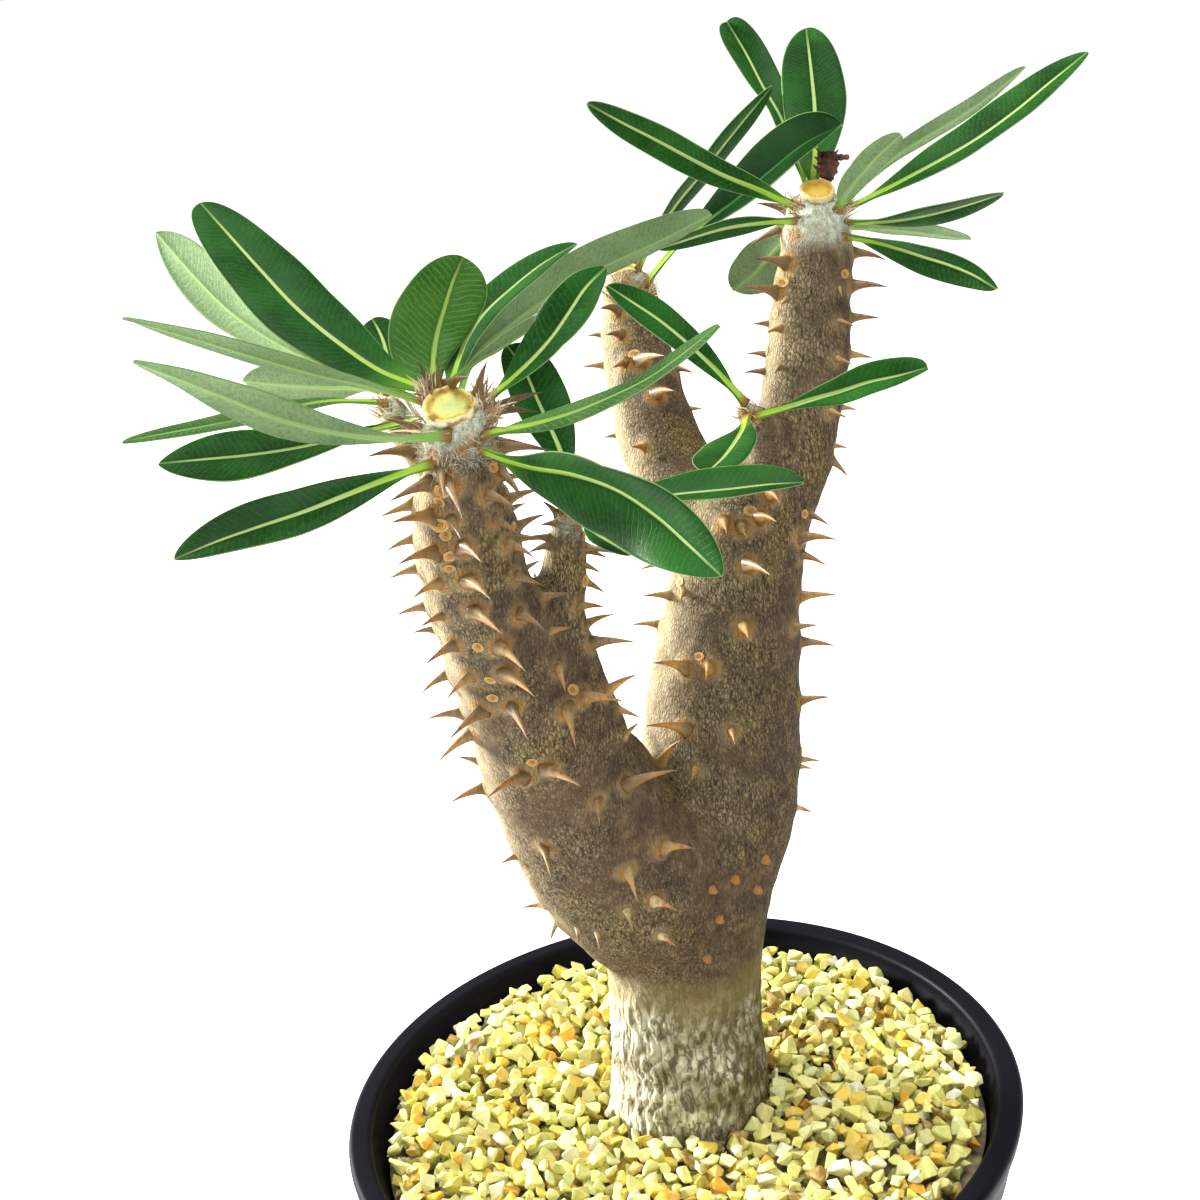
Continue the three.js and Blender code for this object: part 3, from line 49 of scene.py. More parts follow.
BRANCHES = {
    "trunk": [(1.0, 4.0, 64.0, 3.5), (1.0, 4.01, 73.61, 7.52), (1.0, 3.92, 83.35, 11.5), (1.0, 3.72, 93.23, 15.06), (1.0, 3.43, 102.99, 17.77), (0.9, 3.19, 112.75, 19.51), (1.71, 2.08, 122.42, 19.82), (2.58, 1.55, 131.97, 19.24), (3.02, 2.33, 141.55, 18.57), (3.56, 3.17, 151.31, 18.38), (4.16, 3.87, 160.98, 18.8), (5.15, 4.13, 170.67, 19.35), (6.48, 3.97, 180.33, 20.06), (9.32, 4.17, 189.62, 19.94)],
    "right": [(5.04, 4.12, 169.7, 19.04), (7.42, 3.04, 179.03, 18.85), (10.27, 3.11, 188.29, 18.51), (13.7, 4.52, 197.22, 19.04), (16.65, 5.7, 206.25, 18.81), (18.19, 7.4, 215.57, 18.59), (19.82, 9.06, 225.04, 18.2), (21.73, 10.82, 234.28, 17.24), (23.79, 12.76, 243.81, 15.93), (25.94, 14.66, 253.11, 15.08), (28.64, 16.42, 261.97, 14.57), (33.3, 17.9, 270.19, 12.76), (39.0, 19.21, 277.87, 10.6), (43.07, 20.92, 286.42, 9.46), (45.78, 22.91, 295.51, 9.16), (47.95, 25.05, 304.79, 9.12), (49.46, 27.18, 314.1, 8.67), (51.44, 28.83, 323.58, 7.94), (52.91, 29.52, 332.91, 6.47)],
    "left": [(5.04, 4.12, 169.7, 18.8), (1.02, 2.34, 178.41, 20.68), (-2.6, -0.12, 186.84, 22.08), (-6.26, -3.6, 195.03, 22.21), (-10.74, -7.84, 202.83, 20.36), (-14.07, -11.79, 211.04, 19.0), (-16.26, -15.35, 219.57, 18.07), (-18.97, -18.99, 228.25, 16.36), (-20.46, -22.73, 237.11, 15.53), (-21.71, -26.53, 245.81, 14.69), (-23.89, -30.43, 254.19, 13.57), (-26.08, -34.56, 262.64, 12.51), (-27.66, -38.54, 271.43, 11.4), (-29.38, -41.64, 280.44, 10.54), (-30.09, -44.33, 289.69, 10.25), (-30.12, -47.4, 299.08, 9.11), (-28.61, -50.7, 307.74, 6.94), (-28.57, -51.18, 317.41, 6.52)],
    "mid": [(26.38, 18.04, 257.36, 13.89), (22.23, 23.92, 265.1, 12.25), (17.45, 30.67, 271.56, 10.43), (13.54, 36.83, 279.14, 9.62), (11.61, 42.76, 287.63, 9.07), (10.61, 48.34, 296.51, 8.86), (9.98, 53.67, 305.75, 7.78), (9.96, 58.07, 315.1, 6.25)],
    "side": [(-14.48, -23.81, 237.16, 11.6), (-14.97, -26.84, 247.59, 9.12), (-14.7, -29.27, 258.18, 7.0), (-13.95, -31.77, 268.76, 5.02), (-12.15, -33.14, 279.31, 4.87), (-9.71, -32.79, 289.73, 2.81)],
    "back": [(-27.19, -36.48, 271.5, 8.89), (-29.11, -27.23, 276.87, 6.35), (-31.04, -18.38, 282.7, 5.04), (-34.55, -11.56, 290.69, 4.57), (-39.55, -6.39, 299.02, 4.45), (-45.0, -1.71, 306.89, 4.04)],
    "shoot": [(37.61, 15.89, 285.58, 6.76), (35.76, 12.22, 288.37, 5.29), (33.99, 8.71, 291.07, 4.04), (32.16, 5.1, 293.94, 3.32), (30.61, 2.01, 296.93, 2.49)],
}
# foot x, y, z, point x, y, z, length, source of the place
SPINES = [
    (-34.3, -55.23, 306.23, -41.95, -62.85, 305.88, 10.8, 0.0), (-39.07, -48.84, 300.23, -45.45, -50.27, 299.28, 6.61, 0.0),
    (-35.2, -55.03, 299.96, -42.36, -62.86, 301.87, 10.78, 0.0), (-40.2, -45.62, 292.42, -45.81, -46.16, 290.99, 5.81, 0.0),
    (-35.37, -53.88, 292.38, -42.38, -62.07, 293.35, 10.82, 0.0), (-40.24, -44.84, 286.01, -46.2, -45.26, 284.9, 6.08, 0.0),
    (-35.64, -52.17, 285.48, -41.05, -57.78, 284.77, 7.83, 0.0), (-39.78, -41.8, 277.08, -46.31, -42.17, 276.12, 6.61, 0.0),
    (-36.27, -49.16, 277.56, -40.89, -52.59, 276.97, 5.79, 0.0), (-39.3, -40.73, 271.39, -43.88, -40.74, 271.37, 4.57, 0.0),
    (-35.09, -47.85, 270.75, -41.0, -53.23, 269.25, 8.13, 0.0), (-38.31, -35.64, 259.23, -44.42, -36.75, 256.31, 6.86, 0.0),
    (-33.22, -46.09, 262.88, -38.17, -51.26, 260.54, 7.53, 0.0), (-31.79, -43.07, 254.34, -38.89, -50.07, 251.36, 10.41, 0.0),
    (-35.19, -32.37, 244.26, -43.19, -36.0, 240.3, 9.64, 0.0), (-36.41, -32.87, 249.47, -44.39, -33.05, 248.99, 7.99, 0.0),
    (-35.71, -23.98, 233.75, -40.33, -23.02, 234.89, 4.86, 0.0), (-34.98, -21.54, 225.91, -43.4, -22.33, 223.82, 8.72, 0.0),
    (-25.7, -38.16, 236.05, -33.4, -45.83, 235.56, 10.88, 0.0), (-30.62, -21.5, 208.57, -34.49, -22.86, 207.81, 4.17, 0.0),
    (-27.01, -11.64, 190.05, -32.07, -11.26, 189.65, 5.09, 0.0), (-24.32, -9.82, 183.59, -26.5, -11.67, 180.11, 4.5, 0.0),
    (-19.41, -20.09, 187.35, -19.54, -22.6, 184.96, 3.47, 0.0), (-15.24, -22.27, 186.78, -14.93, -25.23, 184.62, 3.67, 0.0),
    (-31.56, -56.97, 307.99, -30.54, -66.1, 306.47, 9.31, 0.0), (-30.7, -57.33, 306.05, -28.13, -67.22, 302.51, 10.82, 0.0),
    (-31.32, -56.58, 299.0, -29.89, -63.18, 297.11, 7.01, 0.0), (-30.26, -55.48, 293.11, -26.58, -64.24, 292.54, 9.53, 0.0),
    (-30.29, -54.03, 286.11, -25.92, -63.59, 284.86, 10.59, 0.0), (-29.94, -52.19, 278.98, -24.88, -61.49, 277.02, 10.76, 0.0),
    (-26.24, -50.05, 270.09, -21.44, -59.44, 267.88, 10.77, 0.0), (-25.91, -48.26, 263.52, -20.47, -57.06, 261.46, 10.55, 0.0),
    (-24.24, -55.72, 302.79, -19.0, -61.7, 301.12, 8.12, 0.0), (-23.87, -53.71, 297.13, -19.38, -58.22, 295.09, 6.68, 0.0),
    (-22.35, -51.25, 291.27, -17.05, -55.73, 289.33, 7.2, 0.0), (-21.57, -49.35, 283.72, -16.11, -53.01, 282.52, 6.68, 0.0),
    (-21.8, -48.86, 275.62, -16.96, -55.29, 274.17, 8.18, 0.0), (-21.01, -47.68, 298.84, -14.3, -47.21, 300.08, 6.84, 0.0),
    (-21.93, -52.8, 306.33, -17.62, -58.32, 301.62, 8.44, 0.0), (-21.04, -48.8, 303.85, -16.23, -49.01, 303.29, 4.85, 0.0),
    (-20.87, -47.5, 296.94, -17.67, -47.7, 297.82, 3.33, 0.0), (-20.09, -44.95, 292.33, -14.21, -44.3, 294.05, 6.17, 0.0),
    (-19.97, -46.02, 290.2, -15.07, -46.87, 289.71, 5.0, 0.0), (-25.78, -45.22, 255.19, -23.11, -53.74, 251.02, 9.86, 0.0),
    (-20.71, -39.58, 237.7, -13.83, -48.02, 236.59, 10.95, 0.0), (-11.4, -33.72, 225.62, -11.29, -40.44, 223.38, 7.09, 0.0),
    (-23.77, -31.13, 214.82, -22.87, -38.55, 210.75, 8.52, 0.0), (-6.83, -28.59, 205.53, -5.27, -36.85, 202.05, 9.1, 0.0),
    (1.22, -23.68, 207.76, 8.58, -30.36, 209.88, 10.17, 0.0), (-1.46, -25.67, 195.63, 3.2, -32.35, 196.34, 8.18, 0.0),
    (-7.9, -26.55, 194.21, -7.07, -31.14, 191.97, 5.18, 0.0), (-0.73, -23.39, 185.49, 2.42, -28.04, 184.49, 5.7, 0.0),
    (-4.63, -28.69, 226.52, 6.46, -31.7, 229.87, 11.97, 0.0), (3.62, -5.45, 218.78, 8.53, -10.9, 226.97, 11.0, 0.0),
    (-11.34, -37.78, 251.84, -3.16, -44.44, 252.6, 10.58, 0.0), (-6.55, -31.7, 249.7, 0.25, -34.33, 254.05, 8.49, 0.0),
    (-4.28, -28.45, 243.83, -0.09, -30.6, 242.39, 4.92, 0.0), (-3.42, -28.77, 238.02, -0.39, -29.74, 241.11, 4.44, 0.0),
    (-15.26, -40.94, 250.82, -14.0, -50.63, 246.4, 10.72, 0.0), (-21.61, -50.86, 309.92, -11.64, -50.41, 308.3, 10.11, 0.0),
    (-30.74, -49.9, 323.42, -30.68, -48.52, 328.5, 5.26, 0.0), (-32.51, -51.53, 322.6, -33.18, -51.48, 328.37, 5.82, 0.0),
    (-31.27, -52.74, 323.14, -28.9, -56.55, 327.21, 6.06, 0.0), (-24.21, -53.67, 321.57, -21.53, -57.92, 328.71, 8.73, 0.0),
    (-29.15, -52.88, 323.68, -24.66, -62.57, 326.34, 11.0, 0.0), (-22.01, -50.38, 317.05, -11.98, -48.45, 319.32, 10.46, 0.0),
    (-22.02, -50.39, 317.19, -13.35, -49.78, 315.96, 8.78, 0.0), (-21.57, -50.39, 311.19, -15.79, -49.78, 310.0, 5.94, 0.0),
    (-41.92, -10.02, 300.04, -50.15, -17.27, 302.08, 11.16, 0.0), (-34.7, -53.64, 315.74, -41.06, -55.91, 319.64, 7.8, 0.0),
    (-10.76, -34.69, 291.54, -12.97, -41.52, 297.52, 9.34, 0.0), (-12.68, -33.87, 290.45, -14.89, -35.24, 293.91, 4.32, 0.0),
    (-13.28, -34.83, 288.94, -15.83, -37.24, 289.64, 3.58, 0.0), (-15.05, -34.61, 285.9, -19.59, -36.29, 287.15, 5.0, 0.0),
    (-6.56, -33.67, 281.75, -3.16, -34.31, 280.03, 3.86, 0.0), (-7.55, -35.19, 279.17, -4.92, -36.28, 277.72, 3.19, 0.0),
    (-8.19, -33.09, 274.84, -4.58, -33.51, 272.32, 4.42, 0.0), (-10.12, -35.65, 270.99, -4.92, -38.74, 271.3, 6.06, 0.0),
    (-8.8, -33.29, 265.73, -3.06, -34.59, 267.94, 6.29, 0.0), (-8.22, -32.54, 261.35, 0.55, -35.16, 261.51, 9.16, 0.0),
    (-6.53, -34.32, 282.6, -1.85, -35.52, 281.3, 5.0, 0.0), (-15.22, -35.51, 284.53, -18.88, -38.22, 284.44, 4.55, 0.0),
    (-16.56, -40.99, 275.77, -11.3, -42.8, 276.64, 5.63, 0.0), (-15.83, -42.28, 268.64, -11.93, -44.01, 269.7, 4.4, 0.0),
    (-15.79, -41.96, 260.43, -14.67, -47.93, 257.37, 6.8, 0.0), (-42.76, -3.51, 309.73, -39.59, -13.98, 308.89, 10.98, 0.0),
    (-44.21, -7.58, 305.54, -48.93, -17.02, 307.44, 10.72, 0.0), (6.93, 49.04, 311.51, 2.15, 40.58, 314.6, 10.19, 0.0),
    (2.15, 53.29, 305.31, -1.44, 53.44, 305.71, 3.62, 0.0), (6.69, 45.56, 306.52, 2.83, 38.91, 308.72, 8.0, 0.0),
    (1.77, 49.77, 298.85, -3.5, 50.38, 299.05, 5.31, 0.0), (6.81, 41.53, 300.69, 3.53, 34.97, 301.72, 7.41, 0.0),
    (18.52, 43.8, 297.51, 22.51, 41.34, 296.66, 4.77, 0.0), (20.83, 41.4, 287.9, 23.83, 41.33, 287.71, 3.02, 0.0),
    (2.92, 40.88, 283.84, -0.53, 41.29, 283.51, 3.49, 0.0), (12.82, 36.01, 293.61, 16.62, 26.52, 296.8, 10.7, 0.0),
    (8.99, 29.44, 283.29, 5.65, 24.36, 285.4, 6.44, 0.0), (10.1, 40.7, 300.98, 15.62, 31.65, 303.91, 11.0, 0.0),
    (59.3, 27.94, 323.01, 66.85, 27.15, 320.91, 7.88, 0.0), (57.75, 24.24, 316.67, 65.87, 20.84, 316.16, 8.82, 0.0),
    (57.54, 24.86, 309.27, 64.24, 24.09, 308.64, 6.77, 0.0), (56.48, 23.07, 301.38, 61.8, 22.08, 300.17, 5.54, 0.0),
    (53.53, 19.83, 290.13, 56.98, 19.02, 289.41, 3.62, 0.0), (50.84, 16.22, 282.46, 53.79, 14.97, 281.99, 3.24, 0.0),
    (50.24, 17.46, 278.39, 53.52, 16.1, 274.81, 5.05, 0.0), (44.08, 11.09, 268.23, 47.67, 8.71, 266.19, 4.77, 0.0),
    (40.58, 7.53, 264.59, 48.31, 1.84, 265.1, 9.62, 0.0), (46.54, 30.82, 333.74, 39.39, 32.75, 335.99, 7.74, 0.0),
    (45.01, 29.58, 329.35, 36.92, 29.31, 327.21, 8.38, 0.0), (44.47, 23.91, 323.26, 36.0, 18.16, 326.44, 10.72, 0.0),
    (42.19, 23.65, 317.27, 33.4, 19.37, 320.08, 10.17, 0.0), (39.67, 26.19, 309.73, 35.63, 26.36, 310.17, 4.07, 0.0),
    (38.24, 25.57, 302.8, 33.71, 26.35, 303.46, 4.64, 0.0), (37.34, 23.05, 299.62, 32.36, 22.94, 300.07, 5.0, 0.0),
    (43.32, 21.22, 315.83, 41.56, 18.34, 315.29, 3.42, 0.0), (41.57, 20.1, 309.48, 37.71, 16.97, 310.0, 5.0, 0.0),
    (54.7, 20.59, 316.86, 55.04, 17.54, 315.87, 3.22, 0.0), (53.98, 18.91, 309.85, 56.98, 14.93, 309.55, 5.0, 0.0),
    (52.7, 16.91, 302.04, 55.7, 12.94, 301.49, 5.0, 0.0), (50.24, 14.54, 290.96, 53.41, 10.75, 290.25, 5.0, 0.0),
    (40.0, 17.87, 301.5, 38.47, 15.01, 301.01, 3.28, 0.0), (40.76, 7.92, 260.11, 45.75, 4.08, 258.44, 6.51, 0.0),
    (39.63, 8.23, 250.16, 47.98, 5.71, 250.55, 8.73, 0.0), (37.0, 3.77, 244.6, 42.6, 0.99, 245.73, 6.35, 0.0),
    (39.29, 9.91, 238.35, 47.17, 9.26, 236.64, 8.09, 0.0), (37.24, 3.54, 226.47, 44.5, 2.19, 227.14, 7.41, 0.0),
    (36.11, 3.86, 211.36, 41.02, 3.57, 210.6, 4.98, 0.0), (35.88, 3.36, 209.85, 38.96, 3.05, 209.04, 3.2, 0.0),
    (34.4, 1.77, 199.93, 37.96, 1.25, 198.56, 3.85, 0.0), (10.83, 19.33, 257.99, 4.06, 19.54, 257.13, 6.82, 0.0),
    (10.66, 9.61, 253.54, 3.81, 7.55, 255.17, 7.34, 0.0), (7.3, 14.31, 244.74, 0.72, 15.12, 245.47, 6.67, 0.0),
    (11.67, -1.84, 240.29, 4.25, -8.06, 245.06, 10.79, 0.0), (10.07, -6.46, 227.45, 1.11, -11.32, 231.57, 10.99, 0.0),
    (25.43, -2.42, 248.52, 25.47, -12.66, 249.73, 10.31, 0.0), (16.87, -4.51, 240.5, 15.19, -14.14, 241.9, 9.87, 0.0),
    (19.91, -9.26, 226.72, 20.08, -16.12, 226.93, 6.87, 0.0), (11.23, -9.78, 218.62, 9.84, -15.56, 218.88, 5.95, 0.0),
    (13.3, 5.86, 255.59, 11.95, 1.3, 254.82, 4.83, 0.0), (27.8, 0.84, 261.85, 31.71, -9.51, 262.75, 11.1, 0.0),
    (31.65, 4.23, 271.32, 34.31, -6.09, 273.71, 10.92, 0.0), (23.88, 5.24, 270.77, 23.32, -5.48, 272.1, 10.82, 0.0),
    (27.45, 3.73, 269.89, 27.26, -6.91, 271.41, 10.76, 0.0), (34.53, 6.42, 275.9, 35.48, -4.27, 277.33, 10.82, 0.0),
    (-27.19, 1.71, 213.78, -34.0, 6.37, 211.74, 8.5, 1.0), (-7.96, 1.38, 223.93, -7.31, 8.08, 227.0, 7.4, 1.0),
    (-24.2, 0.2, 224.58, -29.97, 7.19, 225.2, 9.09, 1.0), (-22.24, -4.24, 234.82, -26.54, 2.96, 236.29, 8.51, 1.0),
    (-20.49, -9.32, 245.37, -20.02, -0.0, 245.76, 9.34, 1.0), (-32.64, -15.87, 246.13, -39.36, -12.13, 246.3, 7.69, 1.0),
    (-17.08, -15.49, 254.81, -16.5, -8.98, 257.81, 7.19, 1.0), (-29.61, -17.78, 256.12, -34.34, -12.62, 254.88, 7.11, 1.0),
    (-16.53, -23.12, 264.46, -14.76, -15.41, 267.91, 8.63, 1.0), (-29.5, -22.77, 267.01, -34.43, -15.78, 267.23, 8.56, 1.0),
    (-17.97, -28.14, 272.54, -18.97, -21.29, 274.51, 7.19, 1.0), (-22.39, -25.37, 275.13, -17.08, -18.62, 275.75, 8.61, 1.0),
    (-35.02, -34.35, 288.2, -40.55, -29.85, 288.63, 7.14, 1.0), (-26.25, -35.71, 293.75, -23.76, -29.19, 295.87, 7.3, 1.0),
    (-33.34, -37.53, 298.62, -37.79, -30.73, 298.7, 8.13, 1.0), (-26.82, -39.96, 303.15, -23.36, -31.14, 304.04, 9.51, 1.0),
    (-29.97, -42.71, 308.29, -33.19, -34.43, 311.96, 9.61, 1.0), (14.73, 25.86, 216.29, 11.88, 32.6, 213.65, 7.78, 1.0),
    (33.23, 20.44, 220.1, 39.53, 23.4, 217.29, 7.51, 1.0), (22.99, 27.33, 226.62, 22.64, 33.38, 223.41, 6.86, 1.0),
    (11.07, 24.27, 235.98, 7.22, 28.46, 235.88, 5.69, 1.0), (31.7, 25.8, 237.48, 34.29, 32.19, 235.0, 7.33, 1.0),
    (18.78, 28.31, 246.14, 15.45, 34.68, 245.24, 7.24, 1.0), (35.78, 26.45, 248.69, 38.9, 31.06, 245.97, 6.2, 1.0),
    (37.38, 27.38, 253.62, 42.14, 30.92, 250.78, 6.58, 1.0), (36.39, 29.56, 259.34, 37.44, 35.64, 257.1, 6.57, 1.0),
    (30.18, 31.66, 273.26, 34.6, 36.62, 276.83, 7.54, 1.0), (42.68, 26.77, 268.26, 45.79, 32.68, 264.25, 7.79, 1.0),
    (37.78, 29.83, 278.16, 36.98, 35.37, 277.04, 5.71, 1.0), (50.76, 27.31, 286.54, 54.02, 30.58, 282.92, 5.87, 1.0),
    (47.49, 31.55, 292.96, 48.1, 37.05, 290.6, 6.02, 1.0), (52.38, 33.24, 304.47, 52.25, 40.02, 300.94, 7.65, 1.0),
    (53.52, 34.14, 310.39, 55.16, 40.96, 306.76, 7.9, 1.0), (21.71, 40.93, 272.24, 24.27, 45.95, 268.91, 6.54, 1.0),
    (12.17, 44.42, 273.4, 10.75, 48.57, 268.27, 6.75, 1.0), (13.86, 55.14, 291.71, 14.96, 59.58, 287.27, 6.37, 1.0),
    (5.9, 57.16, 297.29, 2.73, 62.08, 293.0, 7.25, 1.0), (-18.5, -18.89, 260.28, -18.52, -13.42, 263.27, 6.23, 1.0),
    (-12.58, -25.03, 265.77, -11.11, -18.62, 266.68, 6.63, 1.0), (-15.84, -25.66, 268.31, -17.7, -21.19, 269.2, 4.92, 1.0),
    (-11.39, -28.24, 275.73, -8.62, -23.44, 274.23, 5.74, 1.0), (-12.79, -28.24, 279.67, -13.08, -21.88, 278.98, 6.4, 1.0),
    (-29.18, -11.51, 286.15, -25.05, -5.9, 284.14, 7.25, 1.0), (-34.35, -8.51, 287.09, -35.7, -5.86, 283.02, 5.05, 1.0),
    (-32.25, -8.2, 295.22, -25.46, -6.38, 296.07, 7.08, 1.0), (-34.47, -5.15, 297.27, -30.7, -1.66, 295.94, 5.31, 1.0),
    (-39.98, -1.49, 298.88, -40.95, 3.56, 295.03, 6.43, 1.0),
]
